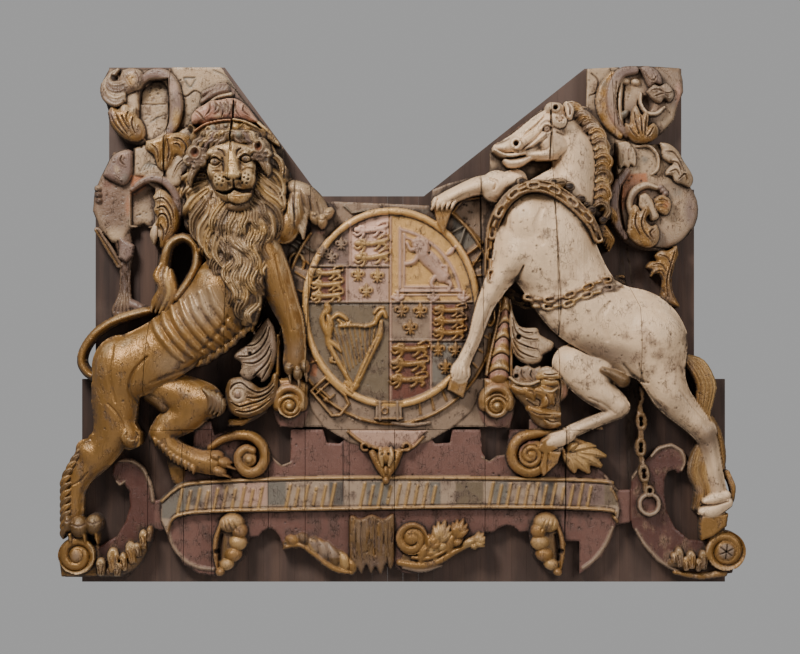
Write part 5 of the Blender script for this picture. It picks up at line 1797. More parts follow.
def right_leaves(r):
    """The banded console, the cream leaf and the gilded acanthus under the unicorn."""
    tube = [(58.6, 152, 2.2, 13), (58.6, 145, 2.9, 13.4), (57.8, 136, 3.9, 14), (56.6, 126, 4.9, 14.6),
        (55.6, 117, 5.8, 15.2), (55.2, 112, 6.2, 15.2)]
    r.limb(tube, 0.6)
    for z, half, x in ((147.4, 2.6, 58.6), (140.6, 3.4, 58.3), (132.6, 4.2, 57.4), (124, 5, 56.4),
            (115.4, 6, 55.4)):
        bow = [(x - half, z - 2.6), (x - half * 0.5, z - 0.4), (x, z + 0.3), (x + half * 0.5, z - 0.4),
            (x + half, z - 2.6)]
        for cut in (([(a, b + 1.2, 1.3) for a, b in bow], 0.8, 4, "pale_gold"),
                ([(a, b - 0.6, 0.5) for a, b in bow], -1.5, 4, "umber"),
                ([(a, b - 2.2, 1.4) for a, b in bow], -0.5, 4, "old_pink", 1)):
            r.carve(*cut)
    for side in (-1, 1):                                 # raised edges of the console
        r.limb([(x + side * (w + 0.4), z, 0.7, h - 1) for x, z, w, h in tube], 0.8)
    r.limb([(47.8, 140, 0.9, 11), (50.6, 138.6, 1, 11.6), (52.6, 141.6, 0.9, 11.6), (52.6, 146, 0.7, 11)],
        0.8)
    r.limb([(50.6, 134, 0.7, 10), (49.6, 124, 0.8, 10.6), (48.6, 113, 0.7, 10)], 0.8)
    leaf = Relief()
    leaf.foliage([(61.6, 149), (63.4, 143), (66, 138.4), (70.4, 137.2), (75.6, 137), (77, 133.8),
        (80.6, 131.6), (84.4, 129), (83, 125.2), (78.8, 122.8), (78.2, 120.6), (75.8, 118.4), (70.7, 117.8),
        (66.8, 119.2), (63.8, 122.4), (61.8, 128), (61, 136), (60.8, 143)], 16.4,
        [[(62.4, 142.6), (64.4, 135), (69.6, 131.6), (76, 131)],
        [(62.2, 138), (64, 130.6), (69.6, 127.4), (77.4, 125.4)],
        [(62.4, 131.6), (65.4, 125.4), (70.6, 122.4), (75.6, 121)],
        [(65.6, 137), (69, 134.8), (73.4, 134.8)], [(62.8, 127), (65.4, 122.6), (69, 120.4)]], "cream", 3.4,
        3.4, 1.9, 0.55)
    leaf.patch(64, 126, 3.6, 7, "gold", 0.8, 20)
    leaf.dot(65.6, 132.4, 1.5, -4, "dark")
    leaf.foliage([(62, 111.6), (63, 114.6), (64.6, 117), (67.6, 116.2), (70.6, 117.6), (73.6, 115.6),
        (77.4, 117), (78.6, 113.4), (77.4, 109), (71, 107), (65, 108)], 13.8,
        [[(67.4, 115.6), (67.2, 112), (69.6, 109)], [(73, 115.4), (72, 112), (73.6, 109.4)]], "dusty", 1.8,
        2.4, 1.5, 0.5)
    leaf.patch(71, 115.8, 7, 1.6, "cream", 0.7)
    leaf.patch(69.6, 109.6, 5, 1.6, "gold", 0.5)
    leaf.dot(64.4, 111.4, 1.3, -3, "dark")
    leaf.foliage([(61.2, 110.4), (66.4, 107.8), (71.6, 107.6), (75.6, 109), (75, 112.6), (78.6, 115.4),
        (83.6, 115.8), (88.7, 112.4), (91.9, 107.1), (91.6, 101.1), (88, 96.8), (89, 91.7), (87.4, 84),
        (79.3, 83.6), (73.3, 87.4), (69.4, 94.6), (64.6, 99.8), (61.6, 104)], 15.6,
        [[(63.4, 105.6), (70, 103.8), (77, 104.6)], [(70, 98.6), (74, 95.6), (80, 94)],
        [(86.4, 111.4), (88.2, 105.6), (87, 98)]], "dull_gold", 3.2, 3.4, 1.6, 0.6)
    # lobes that overlap downwards
    for x0, z0, x1, z1, half, crest, bend, strands, paint in (
            (78.4, 89.2, 87.6, 85.8, 2.3, 17.6, -0.6, 2, "gold"),
            (71.6, 94.2, 88.6, 91, 2.5, 18.2, -1.6, 2, "gold"),
            (74.6, 104, 84.6, 96.6, 3, 18.4, 2.2, 3, "gold"),
            (81.4, 104.6, 77.4, 95, 2.4, 18.8, 1.8, 2, "gold"),
            (67, 105, 73.6, 98.8, 2.4, 18.2, 1.4, 2, "gold"),
            (62.6, 105.6, 72.4, 103, 1.9, 17.6, -0.8, 2, "gold"),
            (78, 107.4, 86.6, 107.6, 2.2, 18.2, 1.2, 2, "pale_gold"),
            (76.6, 111, 87.6, 110.8, 2.2, 18.8, 1.6, 2, "pale_gold"),
            (77, 113.6, 84.4, 114.4, 1.5, 18, 0.8, 2, "cream")):
        leaf.use(paint)
        leaf.petal(x0, z0, x1, z1, half, crest, bend, 2.6, strands)
    leaf.use("pale_gold")
    leaf.limb([(61, 110.6, 0.7, 16.6), (65, 107.8, 0.9, 18), (71, 107, 0.9, 18.6),
        (76.4, 108.8, 0.7, 18.2)], 0.85)
    leaf.limb([(77.6, 105.2, 0.5, 18.8), (80.2, 103.4, 0.8, 19.4), (83.6, 103.4, 0.8, 19.4),
        (86, 105, 0.5, 18.8)], 0.85)
    for path in ([(70.4, 103.8, 0.3), (72.6, 103.4, 0.5), (74, 101.8, 0.3)],
            [(74.8, 99.4, 0.3), (77.2, 98, 0.5), (76.8, 95.4, 0.3)],
            [(72.2, 92.8, 0.3), (76, 91, 0.5), (82.4, 90.8, 0.3)],
            [(80.2, 101.4, 0.3), (81.8, 98, 0.45), (81, 95, 0.3)],
            [(79.6, 88.8, 0.3), (83, 87, 0.4), (86.6, 87.2, 0.3)],
            [(79.4, 110, 0.3), (82.6, 109.2, 0.5), (86.6, 109.6, 0.3)],
            [(79, 112.6, 0.3), (82, 112.2, 0.45), (86, 112.8, 0.3)],
            [(84.4, 102, 0.3), (85.4, 98.6, 0.4), (84.6, 95.4, 0.3)]):
        leaf.carve(path, -1.3, 3, "umber")
    for stain in ((82, 113.4, 6, 2.6, "cream", 0.8, -5), (69.4, 107.6, 8, 1.4, "cream", 0.7, -5),
            (80.8, 103.4, 3.4, 1.4, "cream", 0.5), (90.4, 102.6, 2.2, 5.6, "old_pink", 0.8),
            (82, 88.6, 6, 2.6, "dull_gold", 0.4, -15)):
        leaf.patch(*stain)
    r.lay(leaf)
    r.use("mauve")
    r.slab([(71.6, 88), (71.6, 82.8), (88, 82.8), (88, 88)], 10.5, 0.8, 0.8)


# %% The lower board
# %% [markdown]
# The shaped board carries a ribbon, scrolls, shells and torn leaves.  It could be extruded from a
# curve, but here one outline with a rounded edge does the same, and whatever is drawn on it later
# and stands higher covers it.


BOARD_OUTLINE = [(-127.5, 44.5), (-124, 48), (-117, 54), (-113, 60), (-109, 66), (-108.8, 86), (-99.8, 87),
    (-98, 79.5), (-91.5, 81.5), (-79, 81.5), (-71, 77.5), (-67.2, 68.3), (-61.7, 63.2), (-57, 65),
    (-56.6, 82.3), (-39.3, 82.3), (-37.3, 75.4), (-30.3, 74.9), (-26.6, 78.2), (-25.8, 82.3), (16, 82.3),
    (20.9, 74.9), (29, 75.3), (30.3, 82.3), (45.5, 82.3), (46.3, 70.8), (48.4, 66.4), (50.4, 65.5),
    (54.5, 68.4), (59.5, 69), (61, 82.3), (92, 82.3), (92, 73), (106, 63.6), (114, 57.4), (119.5, 50),
    (126, 50), (126, 32.5), (118.5, 31), (116, 23), (110.8, 14), (104, 8), (98.8, 4.8), (98.8, 22.5),
    (90.8, 22.5), (89.5, 4), (82, 5.5), (73, 15), (71.5, 27.3), (66.4, 27.3), (63.6, 30.2), (59.5, 31),
    (55.5, 29.6), (52.7, 27.4), (47.9, 26.6), (46.6, 18.2), (39, 19.5), (32, 15.5), (22, 8), (11.7, 4.9),
    (3.2, 5.4), (-2, 9.5), (-4, 7.6), (-6.5, 9.2), (-8, 5.6), (-11, 6.4), (-13, 12), (-16, 9), (-19, 11.5),
    (-21.4, 8), (-22.4, 4.2), (-32.7, 5.4), (-41, 11.4), (-48, 17), (-53, 19.5), (-60.8, 17.2),
    (-62.5, 24.5), (-65, 28), (-68.2, 29.2), (-72, 27.6), (-74, 25), (-79, 24.2), (-81, 14), (-87, 7.5),
    (-98, 3.8), (-106, 4.8), (-114, 9.5), (-121, 18.5), (-124.5, 28), (-134.5, 29), (-134.5, 44.5)]


def ribbon(r):
    """The long ribbon with gilded borders; shallow strokes stand where its words were."""
    upper = smooth([(-126, 45), (-120, 50.4), (-113, 54.2), (-98, 55.8), (-69, 57), (-30, 57.8), (48, 57.6),
        (111, 55.9), (116, 51.6), (118.6, 46)])
    lower = smooth([(-123, 26), (-120, 33.6), (-113, 36.4), (-98, 37.6), (-69, 38.4), (-30, 39), (48, 40),
        (111, 38.6), (117, 34.6), (119, 32)])
    band = [tuple(p) for p in upper] + [(120.4, 40)] + [tuple(p) for p in lower[::-1]] + [(-126.6, 34)]
    r.use("pale_dusty")
    r.slab(band, 9.4, 1.2, 1.6)
    for x0, x1, paint in ((-127, -112, "dark_slate"), (-112, -104, "slate"), (-99, -93, "grey_mauve"),
            (-84, -69, "lilac"), (-69, -59, "slate"), (-36, -28, "dark_slate"), (-16, -4, "slate"),
            (18, 24, "slate"), (32, 47, "green_grey"), (52, 60, "slate"), (78, 86, "dark_slate"),
            (91, 112, "grey_mauve"), (112, 119, "green_grey")):
        r.field([(x0, 42), (x1, 42), (x1, 54.6), (x0, 54.6)], paint)
    r.field([(-126, 35), (-121.6, 34.6), (-112, 38.6), (-112, 54), (-120, 50), (-126, 45)], "slate")
    for line, offset in ((upper, -1.1), (lower, 1.1)):
        r.carve([(x, z + offset, 0.95) for x, z in line], 1.3, 1, "pale_gold")
        r.carve([(x, z + offset * 2.2, 0.35) for x, z in line], -0.6, 1, "bare")
    r.use("gold")
    for start, count in ((-116, 10), (-58, 6), (-18, 9), (51, 12)):
        for k in range(count):                           # evenly slanted bars, short and long in turn
            x = start + 4.8 * k
            z = 47.6 + 0.010 * x - 0.00016 * x * x
            long = (6.4, 5, 6, 4.4, 5.6)[k % 5]
            r.carve([(x - 0.2 * long, z - long, 0.95), (x + 0.2 * long, z + long, 0.95)], 1, 1, "pale_gold")


def shell(r, x, z, hand):
    """A rolled leaf: swelling lobes stacked from a round head to a narrow foot, hollow behind."""
    r.use("dull_gold")
    r.limb([(x, z + 10, 7.4, 12.4), (x + hand * 0.6, z + 1, 7.8, 12.6), (x + hand * 2.6, z - 7, 5.6, 12),
            (x + hand * 6.6, z - 14.6, 2.4, 10.6)], 0.7)
    r.use("gold")
    r.limb([(x + hand * 6.4, z + 9.6, 1.2, 14), (x + hand * 8.6, z + 2.6, 1.4, 14.4),
        (x + hand * 8.8, z - 5.6, 1.3, 14), (x + hand * 8, z - 12.6, 0.9, 12)], 0.75)
    r.carve([(x + hand * 5.4, z + 5, 1.2), (x + hand * 6.4, z - 1, 1.9), (x + hand * 6.6, z - 8, 1.3)],
        -2.6, paint="umber")
    for k, (dx, dz, rx, rz, turn) in enumerate(((0.4, 11.4, 6.6, 4.9, -8), (-4, 7.4, 4.3, 4.3, 20),
            (-3.2, 1.2, 5, 4.4, 8), (-0.8, -5.2, 4.8, 4.1, -12), (2.6, -10.4, 4, 3.4, -24),
            (6.2, -14.6, 2.8, 2.4, -34))):
        r.use(("pale_gold", "gold")[k % 2])
        r.mass(x + hand * dx, z + dz, rx, rz, 17.4 - 0.5 * k, 0.66, hand * turn)
    for k in range(3):
        r.carve([(x + hand * (4.6 - 2.6 * k), z + 14.6 - 0.6 * k, 0.4),
            (x + hand * (2.4 - 2.6 * k), z + 8, 0.7)], -0.8, 1)
    r.dot(x + hand * 8.2, z - 3.6, 1.5, -4, "black")


def lower_board(r):
    """The shaped board under the arms, with its ribbon and bordered edges."""
    r.use("mauve")
    r.slab(BOARD_OUTLINE, 6.5, 1.2, 1.2)
    r.patch(0, 26, 120, 16, "dark_red", 0.5)
    ribbon(r)
    for path in ([(-122.4, 27, 1.2), (-120.4, 20.6, 1.2), (-114.6, 13, 1.3), (-107, 8.6, 1.3),
            (-98, 7.2, 1)], [(100.6, 8, 1.1), (106.6, 12.6, 1.3), (112.6, 20.6, 1.3), (116.6, 30, 1.1)],
            [(112.6, 57.6, 1), (117.4, 51, 1.2), (122, 51, 0.9)]):
        r.carve(path, 1.2, paint="dusty")
    for path in ([(-57, 64.6, 0.7), (-62, 63.4, 0.7), (-67.4, 68.8, 0.7)],
            [(46.4, 67.6, 0.6), (50.4, 65.8, 0.6), (54.6, 68.6, 0.6), (59.4, 69, 0.6)],
            [(20.8, 75.4, 0.5), (29, 75.6, 0.5)]):
        r.carve(path, 0.8, paint="dusty")


def board_scrolls(r):
    """The scrolls over the board, left, right, and with a spray of leaves in the middle."""
    r.use("gold")
    r.limb([(-100, 72.6, 1.8, 10), (-93, 77.4, 2.2, 11.5), (-85, 79.6, 2.6, 12.5), (-77, 78.6, 2.8, 13),
        (-71.6, 73.2, 2.9, 13.2), (-70.6, 66.4, 2.9, 13.4), (-74, 60.8, 3, 13.6), (-80, 59.8, 3, 13.6),
        (-84, 63.6, 2.8, 13.6), (-84.4, 69, 2.6, 13.6), (-80.8, 72.4, 2.4, 13.6), (-77, 71.4, 2.2, 13.6)],
        0.72)
    r.mass(-78.8, 66.8, 4, 4.2, 12.6, 0.86)
    r.dot(-78.8, 66.8, 1.9, 1.8, "pale_gold")
    r.limb([(92, 80.6, 1.6, 9), (84, 81, 2.2, 10.5), (74.6, 80.4, 2.8, 12.4), (66.4, 77.6, 3.1, 13),
        (62.4, 71, 3.1, 13.4), (64, 63.8, 3.1, 13.6), (70.6, 60, 3.1, 13.6), (77.6, 62, 3, 13.6),
        (80.2, 68.2, 2.7, 13.6), (77.4, 73.6, 2.5, 13.6), (72, 74.6, 2.3, 13.6)], 0.72)
    r.volute(72.2, 69.2, 6.6, 14.6, -1, 60, 1.7, 1.9, 0.26)
    r.carve([(66.6, 72, 0.9), (68.6, 75.6, 1.2), (74, 76.6, 0.9)], -0.6, paint="mauve")
    r.use("gold")
    r.slab([(79.4, 71.6), (88.6, 70.6), (86.4, 64.6), (78.6, 57.4), (77, 63)], 15.6, 1, 1.2)
    r.carve([(81.6, 70, 0.6), (80.6, 60, 0.5)], -1, 1)
    r.volute(8.6, 24, 8.7, 12.5, -1, 150, 1.25, 2.4, 0.34)
    r.use("dull_gold")
    r.slab([(1.6, 10), (12, 6.4), (24, 9.6), (34, 17), (40, 21), (33, 24), (22, 20), (12, 15.6), (3.6, 16)],
        8.8, 1.2, 1.2)
    for k, (x0, z0, x1, z1, size, bend) in enumerate(((13.6, 11, 19.6, 21.4, 4.2, 2),
            (20.6, 12.6, 24.2, 25.6, 5, 2.4), (28.6, 16, 33.4, 27.6, 4.4, 2.4),
            (36.6, 19.6, 43.6, 22.6, 3.8, 1.4))):
        r.use(("gold", "pale_gold")[k % 2])
        r.sprig(x0, z0, x1, z1, size, 13, bend)
    r.use("gold")
    r.limb([(2, 11, 1.8, 10), (12, 9.6, 2.2, 11), (22, 11.6, 2.2, 11.4), (32, 17.4, 1.8, 11),
        (40, 20.6, 1.2, 10.4)], 0.75)
    r.limb([(9, 14, 1.2, 11), (17, 13.6, 1.4, 12), (25, 17, 1.2, 12), (31, 21.6, 0.8, 11)], 0.8)
    r.use("dusty")
    r.limb([(4, 8.6, 1.2, 9), (14, 7.2, 1.5, 10), (24, 9.6, 1.2, 10)], 0.75)


def torn_acanthus(r):
    """The torn acanthus left of the middle."""
    r.use("gold")
    r.limb([(-59, 19.6, 1, 9), (-52, 20.6, 1.4, 9.6), (-45, 16.4, 1.6, 10), (-38, 10.6, 1.7, 10),
        (-31, 7, 1.6, 10), (-24, 5.6, 1, 9.6)], 0.75)
    r.use("dull_gold")
    r.slab([(-61, 17.8), (-60.8, 22), (-57.4, 25.4), (-51, 26.8), (-47, 24.8), (-43.6, 25.6), (-40, 23),
        (-36.4, 22.4), (-33, 18.6), (-29, 17.4), (-26, 14.6), (-22.6, 12), (-22.4, 4.6), (-32.7, 5.8),
        (-41, 11.8), (-48, 17.4), (-53, 19.5)], 8.4, 1.2, 1.4)
    for k, (x0, z0, x1, z1) in enumerate(((-53.6, 20.4, -58.6, 24), (-49, 20.6, -52, 26),
            (-43.6, 15.6, -46.4, 23.6), (-38, 12, -41.4, 23), (-33, 8.6, -35.6, 20), (-27.6, 7, -29.6, 16),
            (-24, 6, -25, 13))):
        r.use(("gold", "dull_gold", "pale_gold")[k % 3])
        r.petal(x0, z0, x1, z1, 2.3, 10.4, -1, 2.2, 2)
    r.field([(-48, 23), (-36, 22), (-30, 14), (-40, 13.6)], "dusty")


def torn_wood(r):
    """Bare torn wood in the middle of the board, and a shell on each side."""
    r.use("dull_gold")
    block = Relief()
    block.foliage([(-25, 15), (-25.2, 26), (-24.6, 36.2), (-19, 34.6), (-13, 37), (-7, 34.6), (-1.2, 37),
        (-0.8, 24), (-1.2, 12), (-3, 7.6), (-5.4, 10.6), (-8, 4.6), (-11, 9), (-13.4, 5.4), (-16, 10),
        (-18.4, 5), (-21.4, 8.6), (-23.6, 5.6)], 10, [[(-22.4, 34), (-21.6, 24), (-22.6, 11)],
        [(-18.6, 33), (-18.9, 22), (-17.4, 9)], [(-14.6, 36), (-14.2, 27), (-15, 18)],
        [(-11, 35), (-11.4, 22), (-10.6, 12)], [(-7.4, 33), (-6.6, 24), (-7.6, 16)],
        [(-4, 34), (-4.4, 22), (-3.4, 11)]], "dull_gold", 1.8, 2, 1, 0.5)
    torn = np.random.default_rng(5)
    for k in range(22):                                  # splinters of the torn wood
        x, z = torn.uniform(-24, -2), torn.uniform(10, 32)
        block.carve([(x, z + 4, 0.2), (x + torn.uniform(-0.6, 0.6), z, 0.5), (x, z - 4, 0.2)],
            torn.uniform(-1.2, 0.9), 1, ("dull_gold", "umber", "gold", "bare")[k % 4])
    for stain in ((-13, 10, 13, 6, "umber", 0.7), (-4, 24, 4, 14, "dull_gold", 0.6),
            (-19, 28, 6, 8, "dusty", 0.4)):
        block.patch(*stain)
    r.lay(block)
    for hand, x, z in ((-1, -88, 21), (1, 80.4, 21)):
        shell(r, x, z, hand)


def strap_end(r):
    """The end of the strap and the console under the shield."""
    r.use("lilac")
    r.slab([(-26, 82.3), (-20, 76.4), (-11, 72.6), (0, 71.4), (9, 74), (17, 82.3)], 8.8, 1.4, 1.4)
    r.use("gold")
    r.limb([(-25.6, 81.4, 0.9, 10.4), (-18.6, 76, 1, 10.8), (-9.6, 72.4, 1, 11), (0, 71.2, 1, 11),
        (8.6, 73, 0.9, 10.6), (14.6, 78.6, 0.7, 10)], 0.8)
    for x, z, hand in ((-16.6, 73.4, 1), (5.6, 73.4, -1)):
        r.limb([(px, pz, 0.75, 11.6) for px, pz in arc(x, z, 2, 0 if hand > 0 else 180, 300 if hand > 0
            else -120, 8)], 0.85, steps=2)
    r.limb([(-12.6, 70, 2.2, 11.6), (-9, 63.6, 2.6, 13.6), (-6.4, 58.6, 2, 14)], 0.65)
    r.limb([(1.6, 70.6, 2.2, 11.6), (-1.4, 64, 2.6, 13.6), (-4.4, 58.6, 2, 14)], 0.65)
    r.mass(-5.6, 68.4, 4.4, 5.2, 15, 0.65)
    r.use("pale_gold")
    for x in (-8.4, -2.8):
        r.lock([(x, 72.4, 1, 15), (x + 0.4, 68.4, 1.5, 16.6),
            (x + (1 if x < -5 else -1), 63.4, 0.8, 15.6)], 2, 2, 0.35)
    r.dot(-7.4, 69.6, 0.8, -1.4, "dark")
    r.dot(-3.9, 69.6, 0.8, -1.4, "dark")
    r.use("gold")
    r.mass(-5.4, 55.6, 1.9, 2.3, 14.6, 0.7)
    r.mass(-5.5, 61, 1.5, 2.6, 16, 0.75)


def board_leaf(r):
    """The leaf beside the right scroll."""
    r.use("pale_gold")
    for tx, tz, half in ((91.6, 64.6, 1.8), (95.8, 60.4, 2.7), (103.2, 60.2, 2.9), (109.6, 63.4, 2.7),
            (112, 68.4, 2.4), (106.6, 73.6, 2.2), (98.6, 75.2, 2)):
        r.petal(89.6 + 0.28 * (tx - 89.6), 70.6 + 0.1 * (tz - 70.6), tx, tz, half, 13.4, 0.9, 2.8, 3)
    r.use("gold")
    for k in range(2):
        r.lock([(108 + 1.6 * k, 84.6, 1, 10), (109.6 + 1.2 * k, 79, 1.3, 11), (110.6, 73.6, 0.6, 9.6)], 1.8,
            1, 0)
    r.lock([(93, 78.6, 1, 12), (98.6, 76, 1.4, 13), (103.6, 75, 0.6, 11)], 1.8, 1, 0)
    r.lock([(89.6, 71.6, 1, 12), (91.6, 67, 1.2, 13), (92, 63.6, 0.5, 11)], 1.8, 1, 0)


def bud(r, x, z, tx, tz, half, level, paint):
    """A fat leaf tip: narrow at its root, widest before its end, with a pale worn head."""
    along = np.array([tx - x, tz - z])
    across = np.array([-along[1], along[0]]) / np.hypot(*along) * half

    def at(s, v):
        """The point s of the way to the tip and v half widths to its side."""
        return tuple(np.array([x, z]) + along * s + across * v)

    r.foliage([at(0, -0.6), at(0.35, -0.85), at(0.7, -1), at(0.93, -0.6), at(1, 0), at(0.93, 0.6),
        at(0.7, 1), at(0.35, 0.85), at(0, 0.6)], level, [[at(0.05, -0.1), at(0.4, -0.4), at(0.72, -0.5)],
        [at(0.05, 0.2), at(0.4, 0.35), at(0.66, 0.5)]], paint, 1.8, 2.4, 1.3, 0.34)
    r.patch(*at(0.85, 0), half * 1, half * 1.2, "pale_gold", 0.4)


def scroll_brackets(r):
    """C scrolls at the lower corners, that the hind feet stand on."""
    r.use("dark_red")
    left = [(-147, 67.2), (-141.8, 66.6), (-135.6, 62.6), (-131.5, 54), (-129.5, 44.4), (-129.8, 30.3),
        (-131, 22), (-136.5, 10.5), (-144, 3), (-178, 3.2), (-178, 12), (-160.6, 19), (-150.2, 25.2),
        (-145.5, 33), (-143.2, 41), (-143.6, 49), (-146.2, 53.2), (-149, 52), (-150.6, 54), (-153, 58),
        (-151.6, 64)]
    r.slab(left, 7, 1.4, 1.2)
    r.carve(smooth([(-149.6, 65.8, 0.8), (-142, 65.4, 1), (-136, 61, 1.2), (-132.2, 53, 1.3),
        (-130.8, 44, 1.1)]), 1.4, 1, "dusty")
    r.carve([(-150.4, 54.4, 0.7), (-148.4, 52.8, 0.8), (-146.2, 54.6, 0.6)], 1.2, paint="dusty")
    r.use("gold")
    r.slab([(-180, 3.4), (-181.4, 14), (-172, 25.5), (-160, 20), (-158, 3.4)], 7.5, 1.6, 1.6)
    r.volute(-171.2, 15, 10, 13.8, -1, 230, 1.25, 3.2, 0.36)
    r.patch(-171.2, 15, 3.4, 3.4, "dusty", 0.8)
    r.use("dull_gold")
    r.limb([(-158, 5.6, 2.6, 10), (-150, 6.6, 3.2, 11), (-141.6, 10.6, 3, 11), (-135.6, 19, 2.6, 11),
        (-132.6, 27.6, 1.8, 10)], 0.65)
    for k, (x, z, tx, tz, half) in enumerate(((-151.4, 6, -152, 19.4, 3.3), (-158, 4.4, -158.4, 14, 2.7),
            (-141, 11, -143, 22.6, 3), (-149.4, 4, -149, 11.6, 2.5), (-145.4, 7, -146.6, 16.8, 2.2),
            (-137.6, 14.6, -139.4, 22, 2.2), (-135.4, 18.6, -135.6, 29, 2.4),
            (-132.6, 22.6, -132, 31, 1.8))):
        bud(r, x, z, tx, tz, half, 13.4 + 0.5 * (k % 2), ("gold", "dull_gold")[k % 2])
    r.use("dark_red")
    right = [(126.5, 49.4), (127, 57), (131, 62.4), (136.2, 68), (141, 73.4), (148.5, 75.2), (154.9, 71.4),
        (156.8, 65.4), (154.8, 59.8), (151.4, 59), (150.4, 60.6), (146.5, 60.2), (144.4, 55), (144.2, 48),
        (145.6, 39), (149.7, 30), (157.6, 23.2), (166.5, 22.6), (176, 26), (184, 22), (181, 5.4),
        (163, 2.6), (150, 5.6), (140.4, 11.4), (132.4, 20.6), (127.4, 30), (126.5, 34)]
    r.slab(right, 7, 1.4, 1.2)
    for cut in ((smooth([(137.2, 68.2, 1), (141.6, 72.4, 1.2), (148.2, 74, 1.4), (153.6, 70.6, 1.3),
            (155.4, 65, 1.1), (153.6, 60.6, 0.8)]), 1.4, 1, "dusty"),
            ([(129.4, 60, 0.9), (124, 52, 0.8)], 0.9, 1, "dusty"),
            ([(129, 28.6, 0.8), (134, 20.4, 1.2), (142, 11.8, 1.4), (151.6, 6.4, 1.2)], 1.1, 5, "dusty")):
        r.carve(*cut)
    r.use("gold")
    r.limb([(150, 5.8, 1.2, 9), (163, 3.8, 1.8, 10), (176, 5.6, 2.2, 11)], 0.7)
    r.volute(176.8, 17.6, 10.6, 13.5, 1, 120, 1, 3, 0.52)
    r.dot(176.8, 17.6, 4.6, 0.8, "dusty")
    for k in range(6):
        a = 0.4 + pi / 3 * k
        r.carve([(176.8, 17.4, 0.3), (176.8 + 3.8 * np.cos(a), 17.4 + 3.8 * np.sin(a), 0.35)], -1.3, 1,
            "dark")
    r.use("dull_gold")
    r.limb([(148, 11, 2.2, 10), (156, 10.6, 2.8, 11), (165, 9.6, 2.4, 11)], 0.65)
    for k, (x, z, tx, tz, half) in enumerate(((152.6, 9, 151.6, 19.6, 2.4), (159, 8, 158, 17.6, 2.6),
            (165.4, 7.6, 164.6, 18, 2.5), (156, 7, 155, 14.6, 1.9), (162.4, 6.6, 162, 13.6, 1.9),
            (149.4, 11, 149, 16.8, 1.6))):
        bud(r, x, z, tx, tz, half, 13, ("dull_gold", "gold")[k % 2])


# %% The whole front
# %% [markdown]
# The plate and the ornament go on first and the beasts over them, so the higher surface always
# wins where they cross.  Nail holes, cracks and worm-eaten spots are pressed in at the end.  Each
# drawing could become a mesh and be joined by booleans, but one sheet needs no cutting.
DRAWINGS = (
    strapwork, side_volutes, strap, buckle, quarters, lion_quarter, left_leaves, right_leaves,
    left_upper_cloth, left_corner, left_neck, left_lower_cloth, tassel, right_upper_cloth,
    right_folds, right_lower_cloth, lower_board, board_scrolls, torn_acanthus, torn_wood,
    strap_end, board_leaf, scroll_brackets, unicorn_ground, unicorn_mane, unicorn_tail, lion_tail,
    crown, lion_far_legs, lion_body, lion_mane, lion_head, unicorn_far_legs, unicorn_body,
    unicorn_head, chains,
)
front = Relief()
for number, draw in enumerate(DRAWINGS, 1):
    draw(front)
    print("after drawing", number, "carved points:", int((front.height > 0).sum()))

rng = np.random.default_rng(7)
for zone, count in (((-158, 190, -108, 275), 60), ((52, 110, 155, 235), 90), ((103, 186, 160, 275), 36),
        ((-120, 6, 118, 82), 120), ((-45, 100, 40, 196), 40), ((-115, 210, -64, 275), 26),
        ((128, 60, 176, 150), 30), ((-160, 60, -50, 160), 20)):
    low_x, low_z, high_x, high_z = zone
    for u, v, size in rng.random((count, 3)):
        front.dot(low_x + (high_x - low_x) * u, low_z + (high_z - low_z) * v, 0.28 + 0.34 * size, -0.7,
            "black")
for path in ([(-53.6, 222, 0.3), (-54.2, 205, 0.35), (-54.0, 190, 0.3)],
        [(84.0, 205, 0.28), (85.4, 185, 0.3), (86.2, 168, 0.3), (87.4, 150, 0.3), (86.6, 131, 0.3)],
        [(46.6, 158, 0.4), (46.2, 180, 0.4), (45.6, 200, 0.4), (45.4, 217, 0.4)],
        [(-28.6, 78, 0.25), (-28.4, 60, 0.3), (-28.6, 44, 0.25)],
        [(91.4, 82, 0.3), (91.2, 50, 0.3), (90.8, 26, 0.3)]):
    front.carve(path, -0.9, paint="black")
for stain in ((-153, 205, 15, 18, "mauve", 0.35), (-153, 203, 14, 15, "umber", 0.6),
        (108, 121, 15, 4, "dusty", 0.5), (163, 81, 6, 9, "mane_dark", 0.25),
        (119, 262, 7, 11, "white", 0.4)):
    front.patch(*stain)
print("carved:", int((front.inside > 0).sum()), "points lie inside the outline")


# %% Heights for the meshes
# %% [markdown]
# Just outside an outline the sheet is empty, so the last heights and paints are spread outward by
# three cells before the rim is read.  The difference between a blurred sheet and the sheet itself
# tells how deep a point lies among its neighbours; dirt gathers there and ridges are rubbed bare.
# Only carved points are averaged, so that an outer edge doesn't count as a ridge.  The same could
# be traced with rays on the finished mesh, but two blurs of the sheet cost next to nothing.
surface = front.height.copy()
for _ in range(3):
    known = (surface > 0).astype(np.float32)
    near = box_blur(known, 1)
    fill = (surface <= 0) & (near > 0)
    surface = np.where(fill, box_blur(np.maximum(surface, 0), 1) / np.maximum(near, 1e-3), surface)
    wide = box_blur(front.colour * known[..., None], 1) / np.maximum(near, 1e-3)[..., None]
    front.colour = np.where(fill[..., None], wide, front.colour).astype(np.float32)
surface = surface.astype(np.float32)
mask = (front.height > 0).astype(np.float32)
solid = np.clip(front.height, 0, None) * mask


def mean_inside(cells, rounds=1):
    """The mean height round a point, taken over carved points only."""
    share, value = mask, solid
    for _ in range(rounds):
        share, value = box_blur(share, cells), box_blur(value, cells)
    return value / np.maximum(share, 1e-3)


